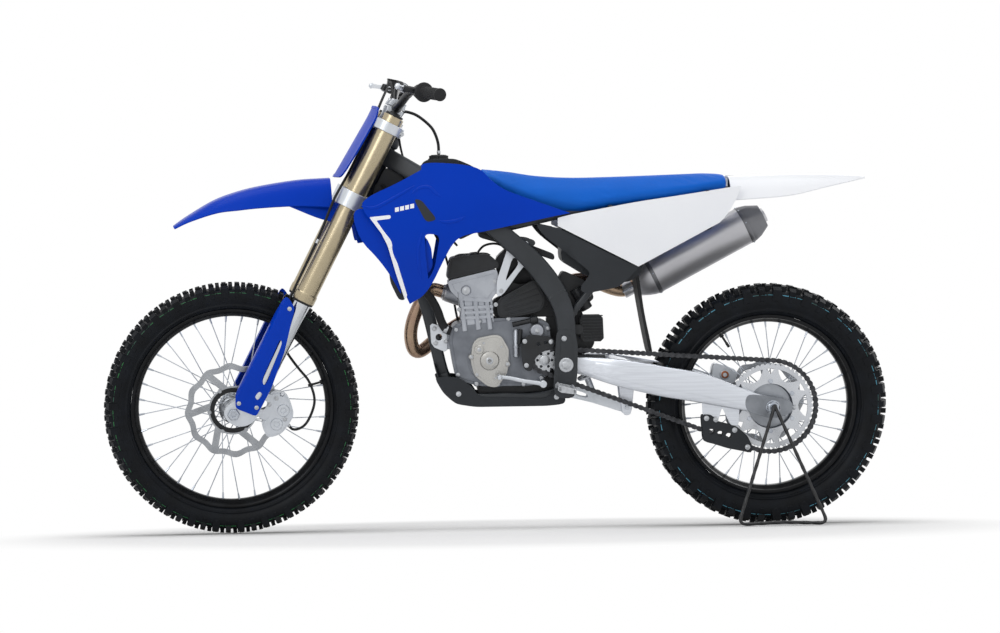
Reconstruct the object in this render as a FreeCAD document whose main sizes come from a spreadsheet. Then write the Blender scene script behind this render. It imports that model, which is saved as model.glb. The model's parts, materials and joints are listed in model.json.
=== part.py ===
import FreeCAD, Part
import math
import os
from types import SimpleNamespace
from FreeCAD import Placement, Rotation, Vector

# A motocross bike leaning on a triangle stand that hooks in the rear axle.
# The frame of the document has +X forward, +Y to the rider's left and +Z up, in millimetres.
# Pieces are drawn upright and straight ahead, then steered, leaned and set down on the floor.

os.makedirs("parts", exist_ok=True)
doc = FreeCAD.newDocument("motocross_bike")

# Driving sizes, in millimetres and degrees
SIZES = {
    # stance
    "wheelbase": 1485,
    "lean_angle": 8,
    "steer_angle": 6,
    "rake_angle": 27,
    "trail": 112,
    # wheels
    "front_tyre_radius": 350,
    "front_tyre_width": 92,
    "front_rim_radius": 276,
    "front_rim_width": 50,
    "rear_tyre_radius": 338,
    "rear_tyre_width": 118,
    "rear_rim_radius": 250,
    "rear_rim_width": 64,
    "rim_depth": 21,
    "front_hub_length": 100,
    "rear_hub_length": 116,
    "hub_radius": 22,
    "flange_radius": 36,
    "flange_offset": 29,
    "flange_thickness": 4,
    "spoke_width": 3,
    "front_disc_radius": 131,
    "rear_disc_radius": 118,
    "disc_thickness": 4,
    "disc_inset": 4,
    # axles
    "axle_radius": 11,
    "axle_bore_radius": 7,
    "axle_nut_radius": 17,
    "axle_nut_width": 9,
    "axle_clearance": 0.5,
    # front end
    "fork_length": 893,
    "fork_spacing": 196,
    "clamp_offset": 24,
    "stanchion_radius": 24,
    "fork_tube_radius": 29,
    "fork_collar_radius": 31,
    "fork_cap_radius": 24,
    "clamp_ring_wall": 10,
    "upper_clamp_thickness": 27,
    "lower_clamp_thickness": 45,
    "stem_radius": 14,
    "head_tube_radius": 27,
    "bar_radius": 11,
    "bar_centre_radius": 14,
    "bar_width": 810,
    "grip_radius": 16,
    "grip_length": 122,
    "grip_flange_radius": 26,
    "perch_length": 36,
    "lever_reach": 45,
    "lever_tip_reach": 105,
    "lever_width": 9,
    "fork_guard_wall": 3,
    "plate_wall": 3,
    "fender_wall": 3,
    # chassis
    "spar_width": 26,
    "spar_height": 50,
    "cradle_tube_width": 24,
    "down_tube_width": 34,
    "cross_tube_radius": 13,
    "rail_radius": 11,
    "swingarm_wall": 24,
    "swingarm_offset": 96,
    "panel_wall": 3,
    "axle_overhang": 20,
    "chain_offset": 72,
    "chain_width": 12,
    "chain_pitch": 15.875,
    "chain_plate_height": 15,
    "chain_waist_height": 10,
    "rear_sprocket_teeth": 50,
    "front_sprocket_teeth": 13,
    "sprocket_thickness": 6,
    "stand_rod_radius": 5,
    "stand_foot_reach": 64,
    "crankcase_width": 150,
    "cylinder_width": 120,
    "cover_depth": 24,
    "header_radius": 19,
    "outlet_radius": 20,
    "silencer_offset": 119,
    "silencer_width": 89,
    "silencer_height": 106,
    "ignition_cover_radius": 53,
    "clutch_cover_radius": 80,
    "mount_wall": 5,
    "tank_width": 64,
    "cap_height": 11,
    "mud_flap_width": 104,
    "spacer_radius": 6,
    "skid_wall": 4,
    "slider_wall": 4,
    "guide_wall": 5,
    "caliper_wall": 4,
    "pivot_radius": 18,
    "pivot_pin_radius": 9,
    "link_pin_radius": 6,
    "link_wall": 7,
    "shock_spring_radius": 27,
    "shock_rod_radius": 12,
    "shock_eye_radius": 21,
    "shock_eye_width": 28,
    "peg_length": 92,
    "pedal_radius": 6,
    "hose_radius": 4,
    "radiator_hose_radius": 12,
    "stem_hole_radius": 9,
    "stay_wall": 5,
    "rib_height": 3,
    "guard_wall": 4,
    "fitting_radius": 8,
    "round_cover_radius": 19,
    "round_cover_depth": 18,
    "reservoir_length": 45,
    "reservoir_radius": 14,
    "toe_peg_length": 28,
    # fits
    "seat_gap": 0.3,
    "running_gap": 5,
}

sheet = doc.addObject("Spreadsheet::Sheet", "sizes")
for row, (alias, value) in enumerate(SIZES.items(), start=1):
    sheet.set(f"A{row}", alias)
    sheet.set(f"B{row}", str(value))
    sheet.setAlias(f"B{row}", alias)
doc.recompute()
size = SimpleNamespace(**{alias: float(sheet.get(alias)) for alias in SIZES})

UPWARD = Vector(0, 0, 1)
LEFTWARD = Vector(0, 1, 0)
FORWARD = Vector(1, 0, 0)
FULL_TURN = 360

# Stance, worked out from the sizes
rake = math.radians(size.rake_angle)
front_hub_height = size.front_tyre_radius
rear_hub_height = size.rear_tyre_radius
axle_lead = front_hub_height * math.sin(rake) - size.trail * math.cos(rake)
front_axle_point = Vector(size.wheelbase / 2, 0, front_hub_height)
rear_axle_point = Vector(-size.wheelbase / 2, 0, rear_hub_height)
fork_ahead = Vector(math.cos(rake), 0, math.sin(rake))
fork_foot = front_axle_point - fork_ahead * axle_lead
fork_frame = Placement(fork_foot, Rotation(LEFTWARD, -size.rake_angle))
steer = Placement(Vector(), Rotation(UPWARD, size.steer_angle))
leg_side = size.fork_spacing / 2

nodes = {}


def spot(along_share, rise_share, side=0):
    """A point of the chassis, in shares of the wheelbase from its middle and the rear hub."""
    height = rear_hub_height + rise_share * size.wheelbase
    return Vector(along_share * size.wheelbase, side, height)


def fork_spot(ahead_share, rise_share, side=0):
    """A point of the front end, in shares of the fork's length, on the steering axis's frame."""
    return Vector(ahead_share * size.fork_length, side, rise_share * size.fork_length)


def spots(shares):
    """Points of a side view outline on the chassis."""
    return [spot(along, rise) for along, rise in shares]


def fork_spots(shares):
    """Points of a side view outline on the front end."""
    return [fork_spot(ahead, rise) for ahead, rise in shares]


def across(share):
    """A distance that follows the wheelbase."""
    return share * size.wheelbase


def node(label, shape_object, group):
    """Names a finished piece and notes the group that it moves with."""
    shape_object.Label = label
    nodes[label] = (shape_object, group)
    return shape_object


def feature(label, shape, group="chassis"):
    """A piece whose shape is made in code from the sheet's sizes."""
    piece = doc.addObject("Part::Feature", label)
    piece.Shape = shape
    return node(label, piece, group)


def face_of(points):
    """A flat face within straight edges."""
    return Part.Face(Part.makePolygon(points + points[:1]))


def slab(outline, side_from, side_to):
    """A side view outline, drawn out across the bike between two offsets."""
    base = [Vector(point.x, side_from, point.z) for point in outline]
    return face_of(base).extrude(LEFTWARD * (side_to - side_from))


FLAT_SHARE = 1e-7
ACROSS_SHARE = 0.9
ROUND_SIDES = 12
ROD_SIDES = 8
WIRE_SIDES = 6
SPOKE_SIDES = 3
BEND_SHARE = 0.45
BEND_STEP_ANGLE = 30


def facets_of(corners):
    """A four-cornered patch: one face where it lies flat, or else two along its shorter diagonal."""
    first, second, third, fourth = corners
    normal = (third - first).cross(fourth - second)
    reach = (third - first).Length + (fourth - second).Length
    off = abs((second - first).dot(normal)) / normal.Length
    if off < FLAT_SHARE * reach:
        return [face_of(corners)]
    if (third - first).Length < (fourth - second).Length:
        return [face_of([first, second, third]), face_of([first, third, fourth])]
    return [face_of([first, second, fourth]), face_of([second, third, fourth])]


def solid_of(faces):
    """A closed solid from faces that meet edge to edge."""
    shell = Part.makeShell(faces)
    shell.sewShape()
    solid = Part.makeSolid(shell)
    if solid.Volume < 0:
        solid.reverse()
    return solid


def skinned(sections, closed=False):
    """A solid of flat facets through outlines with equal numbers of points."""
    faces = [] if closed else [face_of(sections[0]), face_of(sections[-1])]
    followers = sections[1:] + (sections[:1] if closed else [])
    for section, follower in zip(sections, followers):
        count = len(section)
        for index in range(count):
            turn = (index + 1) % count
            faces += facets_of([section[index], section[turn], follower[turn], follower[index]])
    return solid_of(faces)


def mirrored(shape):
    """The same shape on the other side of the bike."""
    return shape.mirror(Vector(), LEFTWARD)


def both_sides(shape):
    """A shape with its mirror image."""
    return Part.makeCompound([shape, mirrored(shape)])


def ring(centre, direction, radius, sides):
    """The corners of a regular outline square to a direction."""
    helper = FORWARD if abs(direction.y) > ACROSS_SHARE * direction.Length else LEFTWARD
    first = direction.cross(helper).normalize()
    second = direction.cross(first).normalize()
    corners = []
    for index in range(sides):
        turn = 2 * math.pi * index / sides
        corners.append(centre + first * (radius * math.cos(turn)) + second * (radius * math.sin(turn)))
    return corners


def bar(start, end, radius, sides=ROD_SIDES):
    """A round bar between two points, with flats."""
    run = end - start
    return face_of(ring(start, run, radius, sides)).extrude(run)


def around_flats(radius, sides=ROD_SIDES):
    """The corner radius of a hole with flats that clears a round of this radius."""
    return radius / math.cos(math.pi / sides)


def drum(base, length, radius, sides=ROUND_SIDES):
    """An upright round with flats on the steering axis's frame."""
    return bar(base, base + UPWARD * length, radius, sides)


def strut(start, end, width):
    """A square bar between two points."""
    half = width / math.sqrt(2)
    return bar(start, end, half, 4)


def stations_of(points, bend_share):
    """Points and directions along straight runs joined by tangent arcs.

    Each arc starts at the bend's share of its shorter run.
    """
    stations = [(points[0], (points[1] - points[0]).normalize())]
    for before, corner, after in zip(points, points[1:], points[2:]):
        back = (before - corner).normalize()
        ahead = (after - corner).normalize()
        reach = bend_share * min((before - corner).Length, (after - corner).Length)
        turn = math.pi - back.getAngle(ahead)
        radius = reach / math.tan(turn / 2)
        to_centre = (back + ahead).normalize()
        centre = corner + to_centre * (radius / math.cos(turn / 2))
        axis = back.cross(ahead).normalize()
        spoke = corner + back * reach - centre
        steps = max(1, math.ceil(math.degrees(turn) / BEND_STEP_ANGLE))
        for step in range(steps + 1):
            swing = Rotation(axis, -math.degrees(turn) * step / steps)
            stations.append((centre + swing.multVec(spoke), swing.multVec(back * -1)))
    stations.append((points[-1], (points[-1] - points[-2]).normalize()))
    return stations


def tube(points, radius, sides=ROD_SIDES, bend_share=BEND_SHARE):
    """A round tube, rod or hose along a bent path, with flats that don't twist."""
    stations = stations_of(points, bend_share)
    place, direction = stations[0]
    corners = [corner - place for corner in ring(place, direction, radius, sides)]
    sections = [[place + corner for corner in corners]]
    for place, follower in stations[1:]:
        if direction.distanceToPoint(follower) > FLAT_SHARE:
            swing = Rotation(direction, follower)
            corners = [swing.multVec(corner) for corner in corners]
        direction = follower
        sections.append([place + corner for corner in corners])
    return skinned(sections)


HOSE_VOLUME_SHARE = 0.1


def hose(label, points, radius, group):
    """A hose held at both ends: its volume is set against its section times its length."""
    stations = stations_of(points, BEND_SHARE)
    length = sum((last - first).Length for (first, _), (last, _) in zip(stations, stations[1:]))
    solid = tube(points, radius, WIRE_SIDES)
    section = face_of(ring(points[0], points[1] - points[0], radius, WIRE_SIDES)).Area
    if abs(solid.Volume / (section * length) - 1) > HOSE_VOLUME_SHARE:
        raise RuntimeError(f"{label} has lost part of its run")
    bends = []
    for before, corner, after in zip(points, points[1:], points[2:]):
        turn = math.pi - (before - corner).getAngle(after - corner)
        reach = BEND_SHARE * min((before - corner).Length, (after - corner).Length)
        bends.append(round(reach / math.tan(turn / 2), 1))
    print(label, "is", round(length), "long with bends of", bends)
    return feature(label, solid, group)


def padded(label, outline, holes, far_side, thickness_alias, group="chassis"):
    """A body padded across the bike from a side view outline with holes cut in the sketch.

    The pad's length is bound to the sheet; it starts at far_side and runs to the rider's right.
    """
    body = doc.addObject("PartDesign::Body", label + "_body")
    sketch = body.newObject("Sketcher::SketchObject", label + "_sketch")
    plane = [item for item in body.Origin.OriginFeatures if item.Role == "XZ_Plane"][0]
    sketch.AttachmentSupport = [(plane, "")]
    sketch.MapMode = "FlatFace"
    sketch.AttachmentOffset = Placement(Vector(0, 0, -far_side), Rotation())
    for loop in [outline] + holes:
        if isinstance(loop, tuple):
            centre, radius = loop
            sketch.addGeometry(Part.Circle(Vector(centre.x, centre.z, 0), UPWARD, radius))
        else:
            for start, end in zip(loop, loop[1:] + loop[:1]):
                first = Vector(start.x, start.z, 0)
                last = Vector(end.x, end.z, 0)
                sketch.addGeometry(Part.LineSegment(first, last))
    pad = body.newObject("PartDesign::Pad", label + "_pad")
    pad.Profile = sketch
    pad.setExpression("Length", "sizes." + thickness_alias)
    return node(label, body, group)


def around(radius, side, angle):
    """A point on a wheel, by its radius, its side offset and its angle in degrees."""
    turn = math.radians(angle)
    return Vector(radius * math.cos(turn), side, radius * math.sin(turn))


def ring_points(radius, count, start_angle=0):
    """Evenly spaced points of a circle in the side view."""
    return [around(radius, 0, start_angle + FULL_TURN * index / count) for index in range(count)]


# Tyres
# Two kinds of cross-section take turns round the tyre: one with the centre lugs raised,
# one with the shoulder lugs raised. Each point is a share of the half width and a share
# of the height from the rim to the top of the lugs.
TREAD_PITCHES = 20
SIDEWALL_SHARES = [(0.50, 0.0), (0.90, 0.42), (0.92, 0.72)]
CENTRE_LUG_SHARES = [(0.34, 0.87), (0.33, 1.0)]
SHOULDER_LUG_SHARES = [(1.0, 0.80), (0.42, 0.985), (0.34, 0.87)]


def tyre(label, radius, width, rim_radius, group):
    """A knobbly tyre as a closed ring of flat faces, with each lug one tread pitch's half."""
    bead = rim_radius + size.seat_gap
    height = radius - bead
    half_width = width / 2
    left_centre = SIDEWALL_SHARES + CENTRE_LUG_SHARES
    left_shoulder = SIDEWALL_SHARES + SHOULDER_LUG_SHARES

    def profile(shares):
        mirror = [(-side, rise) for side, rise in reversed(shares)]
        whole = [(side, rise) for side, rise in shares]
        return [(side * half_width, bead + rise * height) for side, rise in whole + mirror]

    def faces_between(points, start_angle, end_angle):
        faces = []
        for (side, level), (next_side, next_level) in zip(points, points[1:] + points[:1]):
            faces.append(face_of([
                around(level, side, start_angle),
                around(next_level, next_side, start_angle),
                around(next_level, next_side, end_angle),
                around(level, side, end_angle),
            ]))
        return faces

    def lug_ends(angle):
        centre_points = profile(left_centre)
        shoulder_points = profile(left_shoulder)
        foot = len(SIDEWALL_SHARES)
        centre = [centre_points[index] for index in range(foot, foot + 4)]
        left = [shoulder_points[index] for index in range(foot - 1, foot + 3)]
        right = [(-side, level) for side, level in left]
        return [face_of([around(level, side, angle) for side, level in loop])
                for loop in (centre, left, right)]

    half_pitch = FULL_TURN / TREAD_PITCHES / 2
    faces = []
    for index in range(2 * TREAD_PITCHES):
        shares = left_centre if index % 2 else left_shoulder
        start_angle = index * half_pitch
        faces += faces_between(profile(shares), start_angle, start_angle + half_pitch)
        faces += lug_ends(start_angle)
    return feature(label, solid_of(faces), group)


tyre("front_tyre", size.front_tyre_radius, size.front_tyre_width, size.front_rim_radius, "front_wheel")
tyre("rear_tyre", size.rear_tyre_radius, size.rear_tyre_width, size.rear_rim_radius, "rear_wheel")


# Rims
RIM_WELL_SHARE = 0.22
RIM_SHOULDER_SHARE = 0.40


def rim(label, radius, width, group):
    """A shallow trough with a well in its middle."""
    edge = radius - RIM_SHOULDER_SHARE * size.rim_depth
    well = radius - size.rim_depth
    profile = [
        (radius, -width / 2),
        (edge, -width / 2),
        (well, -RIM_WELL_SHARE * width),
        (well, RIM_WELL_SHARE * width),
        (edge, width / 2),
        (radius, width / 2),
    ]
    flats = TREAD_PITCHES
    sections = [[around(level, side, FULL_TURN * index / flats) for level, side in profile]
                for index in range(flats)]
    return feature(label, skinned(sections, closed=True), group)


rim("front_rim", size.front_rim_radius, size.front_rim_width, "front_wheel")
rim("rear_rim", size.rear_rim_radius, size.rear_rim_width, "rear_wheel")


# Hubs with crossed spokes
SPOKES_PER_FAN = 9
HUB_SIDES = 12
SPOKE_LACE_ANGLE = 60
SPOKE_START_ANGLES = {(-1, -1): 30, (-1, 1): 10, (1, -1): 20, (1, 1): 0}
SPOKE_HOLE_SHARE = 0.86
SPOKE_RIM_SIDE_SHARES = {1: 0.12, -1: 0.04}


def hub(label, length, rim_radius, rim_width, group):
    """A hub tube with two flanges and thirty-six laced spokes."""
    inner = size.flange_offset - size.flange_thickness / 2
    outer = size.flange_offset + size.flange_thickness / 2
    bore = size.axle_radius + size.axle_clearance
    profile = [
        (around_flats(bore, HUB_SIDES), -length / 2),
        (size.hub_radius, -length / 2),
        (size.hub_radius, -outer),
        (size.flange_radius, -outer),
        (size.flange_radius, -inner),
        (size.hub_radius, -inner),
        (size.hub_radius, inner),
        (size.flange_radius, inner),
        (size.flange_radius, outer),
        (size.hub_radius, outer),
        (size.hub_radius, length / 2),
        (around_flats(bore, HUB_SIDES), length / 2),
    ]
    sections = [[around(level, side, FULL_TURN * index / HUB_SIDES) for level, side in profile]
                for index in range(HUB_SIDES)]
    solids = [skinned(sections, closed=True)]
    spoke_end = (rim_radius - size.rim_depth) * math.cos(math.pi / TREAD_PITCHES) - size.seat_gap
    hole_radius = SPOKE_HOLE_SHARE * size.flange_radius
    clearance = size.spoke_width / 2 + size.seat_gap
    for side in (-1, 1):
        for lead in (-1, 1):
            hub_side = outer + clearance if lead > 0 else inner - clearance
            rim_side = SPOKE_RIM_SIDE_SHARES[lead] * rim_width
            first = SPOKE_START_ANGLES[(side, lead)]
            for index in range(SPOKES_PER_FAN):
                rim_angle = first + FULL_TURN * index / SPOKES_PER_FAN
                hub_angle = rim_angle + lead * SPOKE_LACE_ANGLE
                root = around(hole_radius, side * hub_side, hub_angle)
                tip = around(spoke_end, side * rim_side, rim_angle)
                solids.append(bar(root, tip, size.spoke_width / 2, SPOKE_SIDES))
    return feature(label, Part.makeCompound(solids), group)


hub("front_hub", size.front_hub_length, size.front_rim_radius, size.front_rim_width, "front_wheel")
hub("rear_hub", size.rear_hub_length, size.rear_rim_radius, size.rear_rim_width, "rear_wheel")


# Brake discs
DISC_WAVES = 9
DISC_WAVE_SHARES = [1.0, 1.0, 0.962, 0.962]
DISC_BAND_SHARE = 0.77
DISC_HOOP_SHARE = 0.30
DISC_WINDOW_TRIM_SHARE = 0.30


def disc(label, radius, length, hand, group):
    """A wavy brake disc on the end of the hub, with open windows between its arms."""
    count = DISC_WAVES * len(DISC_WAVE_SHARES)
    outline = []
    for index in range(count):
        share = DISC_WAVE_SHARES[index % len(DISC_WAVE_SHARES)]
        outline.append(around(radius * share, 0, FULL_TURN * index / count))
    holes = [ring_points(size.hub_radius + size.seat_gap, HUB_SIDES)]
    window_angle = FULL_TURN / DISC_WAVES
    trim = DISC_WINDOW_TRIM_SHARE * window_angle / 2
    for index in range(DISC_WAVES):
        first = index * window_angle
        holes.append([
            around(radius * DISC_HOOP_SHARE, 0, first + trim),
            around(radius * DISC_BAND_SHARE, 0, first + trim),
            around(radius * DISC_BAND_SHARE, 0, first + window_angle / 2),
            around(radius * DISC_BAND_SHARE, 0, first + window_angle - trim),
            around(radius * DISC_HOOP_SHARE, 0, first + window_angle - trim),
        ])
    outer_side = length / 2 - size.disc_inset
    far_side = outer_side if hand > 0 else -outer_side + size.disc_thickness
    return padded(label, outline, holes, far_side, "disc_thickness", group)


disc("front_disc", size.front_disc_radius, size.front_hub_length, 1, "front_wheel")
disc("rear_disc", size.rear_disc_radius, size.rear_hub_length, -1, "rear_wheel")

# Chain drive: two pitch circles, with the chain running straight between them
DRIVE_SHARES = (-0.079, 0.092)
SPROCKET_ARMS = 6
TOOTH_ROOT_SHARE = 0.955
FRONT_TOOTH_ROOT_SHARE = 0.80
SPROCKET_BAND_SHARE = 0.84
SPROCKET_HOOP_SHARE = 0.42
ARM_TRIM_SHARE = 0.20


def pitch_radius(teeth):
    """The circle on which the chain's pins lie."""
    return size.chain_pitch / (2 * math.sin(math.pi / teeth))


rear_pitch_radius = pitch_radius(size.rear_sprocket_teeth)
front_pitch_radius = pitch_radius(size.front_sprocket_teeth)
drive_point = spot(*DRIVE_SHARES)
sprocket_tip_radius = rear_pitch_radius - size.chain_plate_height / 2 - size.axle_clearance


def sprocket():
    """The toothed wheel, its teeth just inside the chain, with windows between six arms."""
    outline = []
    teeth = int(size.rear_sprocket_teeth)
    for index in range(teeth):
        angle = FULL_TURN * index / teeth
        outline.append(around(sprocket_tip_radius, 0, angle))
        outline.append(around(sprocket_tip_radius * TOOTH_ROOT_SHARE, 0, angle + FULL_TURN / teeth / 2))
    holes = [ring_points(size.hub_radius + size.seat_gap, HUB_SIDES)]
    arm_angle = FULL_TURN / SPROCKET_ARMS
    trim = ARM_TRIM_SHARE * arm_angle
    for index in range(SPROCKET_ARMS):
        first = index * arm_angle
        holes.append([
            around(sprocket_tip_radius * SPROCKET_HOOP_SHARE, 0, first + trim),
            around(sprocket_tip_radius * SPROCKET_BAND_SHARE, 0, first + trim / 2),
            around(sprocket_tip_radius * SPROCKET_BAND_SHARE, 0, first + arm_angle / 2),
            around(sprocket_tip_radius * SPROCKET_BAND_SHARE, 0, first + arm_angle - trim / 2),
            around(sprocket_tip_radius * SPROCKET_HOOP_SHARE, 0, first + arm_angle - trim),
        ])
    far_side = size.chain_offset + size.sprocket_thickness / 2
    return padded("sprocket", outline, holes, far_side, "sprocket_thickness", "rear_wheel")


sprocket()


chain_span = drive_point - rear_axle_point
chain_slope = math.atan2(chain_span.z, chain_span.x)
chain_lap = math.asin((rear_pitch_radius - front_pitch_radius) / chain_span.Length)
run_length = chain_span.Length * math.cos(chain_lap)
upper_angle = chain_slope + math.pi / 2 - chain_lap
lower_angle = chain_slope - math.pi / 2 + chain_lap


def out_at(centre, radius, angle):
    """A point round a sprocket's centre in the side view, by its angle in radians."""
    return centre + Vector(math.cos(angle), 0, math.sin(angle)) * radius


def lower_run():
    """The rear and front ends of the chain's straight lower run."""
    return (out_at(rear_axle_point, rear_pitch_radius, lower_angle),
            out_at(drive_point, front_pitch_radius, lower_angle))


def chain_place(distance):
    """The point and outward angle at a distance from the rear sprocket's upper tangent."""
    front_arc = front_pitch_radius * (math.pi - 2 * chain_lap)
    if distance < run_length:
        start = out_at(rear_axle_point, rear_pitch_radius, upper_angle)
        end = out_at(drive_point, front_pitch_radius, upper_angle)
        return start + (end - start) * (distance / run_length), upper_angle
    distance -= run_length
    if distance < front_arc:
        angle = upper_angle - distance / front_pitch_radius
        return out_at(drive_point, front_pitch_radius, angle), angle
    distance -= front_arc
    if distance < run_length:
        end, start = lower_run()
        return start + (end - start) * (distance / run_length), lower_angle
    angle = lower_angle - (distance - run_length) / rear_pitch_radius
    return out_at(rear_axle_point, rear_pitch_radius, angle), angle


def chain():
    """One closed loop: arcs round both sprockets and straight runs, waisted at every other pin."""
    rear_arc = rear_pitch_radius * (math.pi + 2 * chain_lap)
    front_arc = front_pitch_radius * (math.pi - 2 * chain_lap)
    loop_length = 2 * run_length + rear_arc + front_arc
    links = 2 * round(loop_length / size.chain_pitch / 2)
    outer = []
    inner = []
    for index in range(links):
        point, angle = chain_place(loop_length * index / links)
        height = size.chain_plate_height if index % 2 else size.chain_waist_height
        outer.append(out_at(point, height / 2, angle))
        inner.append(out_at(point, -height / 2, angle))
    from_side = size.chain_offset - size.chain_width / 2
    to_side = size.chain_offset + size.chain_width / 2
    loop = slab(outer, from_side, to_side).cut(slab(inner, from_side, to_side))
    return feature("chain", loop)


chain()

# Steering: both clamps with the stem
LOWER_CLAMP_TOP_SHARE = 0.765
CLAMP_WAIST_SHARE = 0.42
upper_clamp_base = size.fork_length - size.upper_clamp_thickness
lower_clamp_top = LOWER_CLAMP_TOP_SHARE * size.fork_length
lower_clamp_base = lower_clamp_top - size.lower_clamp_thickness
clamp_ring_radius = size.fork_tube_radius + size.clamp_ring_wall


def clamp(base, thickness):
    """Two split rings joined by a web round the stem."""
    hole = size.fork_tube_radius + size.seat_gap
    web = 2 * clamp_ring_radius * CLAMP_WAIST_SHARE
    centre = size.clamp_offset / 2
    plate = Part.makeBox(web, size.fork_spacing, thickness, Vector(centre - web / 2, -leg_side, base))
    legs = [Vector(size.clamp_offset, side * leg_side, base) for side in (-1, 1)]
    plate = plate.fuse([drum(Vector(0, 0, base), thickness, size.head_tube_radius)]
                       + [drum(leg, thickness, clamp_ring_radius) for leg in legs])
    return plate.cut([drum(leg, thickness, hole) for leg in legs]).removeSplitter()


BAR_MOUNT_SIDE_SHARE = 0.062
BAR_MOUNT_WIDTH_SHARE = 0.030
BAR_CORNER_SHARES = [(-0.032, 1.128, 0.50), (0.027, 1.112, 0.240), (0.027, 1.050, 0.105)]
BAR_BEND_SHARE = 0.16
bar_centre = fork_spot(*BAR_CORNER_SHARES[-1][:2])


def bar_mount(hand):
    """A block that grips the handlebar's middle on the upper clamp."""
    width = BAR_MOUNT_WIDTH_SHARE * size.bar_width
    side = hand * BAR_MOUNT_SIDE_SHARE * size.bar_width - width / 2
    half = size.bar_centre_radius + size.clamp_ring_wall
    top = bar_centre.z + half
    block = Part.makeBox(2 * half, width, top - size.fork_length,
                         Vector(bar_centre.x - half, side, size.fork_length))
    middle = Vector(bar_centre.x, side, bar_centre.z)
    bore = bar(middle, middle + LEFTWARD * width, size.bar_centre_radius + size.seat_gap)
    return block.cut(bore)


def clamps():
    """The two clamps, the stem between them and the handlebar's mounts."""
    upper = clamp(upper_clamp_base, size.upper_clamp_thickness)
    lower = clamp(lower_clamp_base, size.lower_clamp_thickness)
    stem = drum(Vector(0, 0, lower_clamp_top), upper_clamp_base - lower_clamp_top, size.stem_radius)
    whole = upper.fuse([lower, stem, bar_mount(1), bar_mount(-1)])
    hole = drum(Vector(0, 0, upper_clamp_base), 2 * size.upper_clamp_thickness,
                size.stem_hole_radius, ROD_SIDES)
    return feature("fork_clamps", whole.cut(hole).removeSplitter(), "steering")


clamps()

# Fork legs
FORK_TUBE_BASE_SHARE = 0.400
FORK_TUBE_TOP_SHARE = 1.022
FORK_CAP_TOP_SHARE = 1.030
LUG_TOP_SHARE = 0.085
LUG_HALF_WIDTH_SHARE = 0.90
LUG_SHARES = [
    (0.000, 0.085),
    (-0.002, 0.010),
    (0.020, -0.022),
    (0.062, -0.032),
    (0.094, -0.014),
    (0.096, 0.014),
    (0.058, 0.060),
    (0.054, 0.085),
]
fork_tube_base = FORK_TUBE_BASE_SHARE * size.fork_length
fork_tube_top = FORK_TUBE_TOP_SHARE * size.fork_length
leg_depth = size.stanchion_radius * LUG_HALF_WIDTH_SHARE
leg_inner_side = leg_side - leg_depth
leg_outer_side = leg_side + leg_depth


def fork_tubes():
    """Outer tubes with a collar at the foot and a cap at the top."""
    cap_height = FORK_CAP_TOP_SHARE * size.fork_length - fork_tube_top
    solids = []
    for side in (-1, 1):
        axis = Vector(size.clamp_offset, side * leg_side, 0)
        whole = drum(axis + UPWARD * fork_tube_base, fork_tube_top - fork_tube_base, size.fork_tube_radius)
        cap = drum(axis + UPWARD * fork_tube_top, cap_height, size.fork_cap_radius)
        collar = drum(axis + UPWARD * fork_tube_base, size.upper_clamp_thickness, size.fork_collar_radius)
        solids.append(whole.fuse([cap, collar]).removeSplitter())
    return feature("fork_tubes", Part.makeCompound(solids), "steering")


fork_tubes()


def fork_legs():
    """Bright inner tubes with a cast lug round the axle at each foot."""
    lug_top = LUG_TOP_SHARE * size.fork_length
    solids = []
    for side in (-1, 1):
        axis = Vector(size.clamp_offset, side * leg_side, 0)
        stanchion = drum(axis + UPWARD * lug_top, fork_tube_base - lug_top - size.seat_gap,
                         size.stanchion_radius)
        middle = side * leg_side
        lug = slab(fork_spots(LUG_SHARES), middle - leg_depth, middle + leg_depth)
        hole = bar(Vector(axle_lead, middle - leg_side, 0), Vector(axle_lead, middle + leg_side, 0),
                   size.axle_radius + size.seat_gap)
        solids.append(stanchion.fuse(lug.cut(hole)).removeSplitter())
    return feature("fork_legs", Part.makeCompound(solids), "steering")


fork_legs()


def front_axle():
    """A hollow axle with spacers beside the hub and a nut at the left."""
    end = leg_outer_side + size.axle_nut_width
    hub_end = size.front_hub_length / 2 + size.seat_gap
    along = Vector(axle_lead, 0, 0)
    whole = bar(along - LEFTWARD * end, along + LEFTWARD * end, size.axle_radius)
    nut_side = leg_outer_side + size.seat_gap
    parts = [bar(along + LEFTWARD * nut_side, along + LEFTWARD * end, size.axle_nut_radius)]
    for side in (-1, 1):
        parts.append(bar(along + LEFTWARD * (side * hub_end),
                         along + LEFTWARD * (side * (leg_inner_side - size.seat_gap)), size.axle_nut_radius))
    bore = Part.makeCylinder(size.axle_bore_radius, 2 * end, along - LEFTWARD * end, LEFTWARD)
    whole = whole.fuse(parts).removeSplitter().cut(bore)
    return feature("front_axle", whole, "steering")


front_axle()

FORK_GUARD_SHARES = [
    (0.078, 0.392),
    (0.086, 0.350),
    (0.086, 0.060),
    (0.070, 0.024),
    (0.000, 0.028),
    (-0.002, 0.120),
    (0.012, 0.240),
    (0.042, 0.372),
]
GUARD_FRONT_SHARES = [(0.083, 0.060), (0.083, 0.350)]


def fork_guards():
    """A shield on each leg: a side wall outside the leg and a front wall that wraps round it."""
    wall = size.fork_guard_wall
    inner = leg_side + size.stanchion_radius + 2 * size.seat_gap
    side_wall = slab(fork_spots(FORK_GUARD_SHARES), inner, inner + wall)
    foot, head = fork_spots(GUARD_FRONT_SHARES)
    front_wall = Part.makeBox(wall, 2 * size.stanchion_radius, head.z - foot.z,
                              Vector(foot.x, inner + wall - 2 * size.stanchion_radius, foot.z))
    return feature("fork_guards", both_sides(side_wall.fuse(front_wall).removeSplitter()), "steering")


fork_guards()


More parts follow.
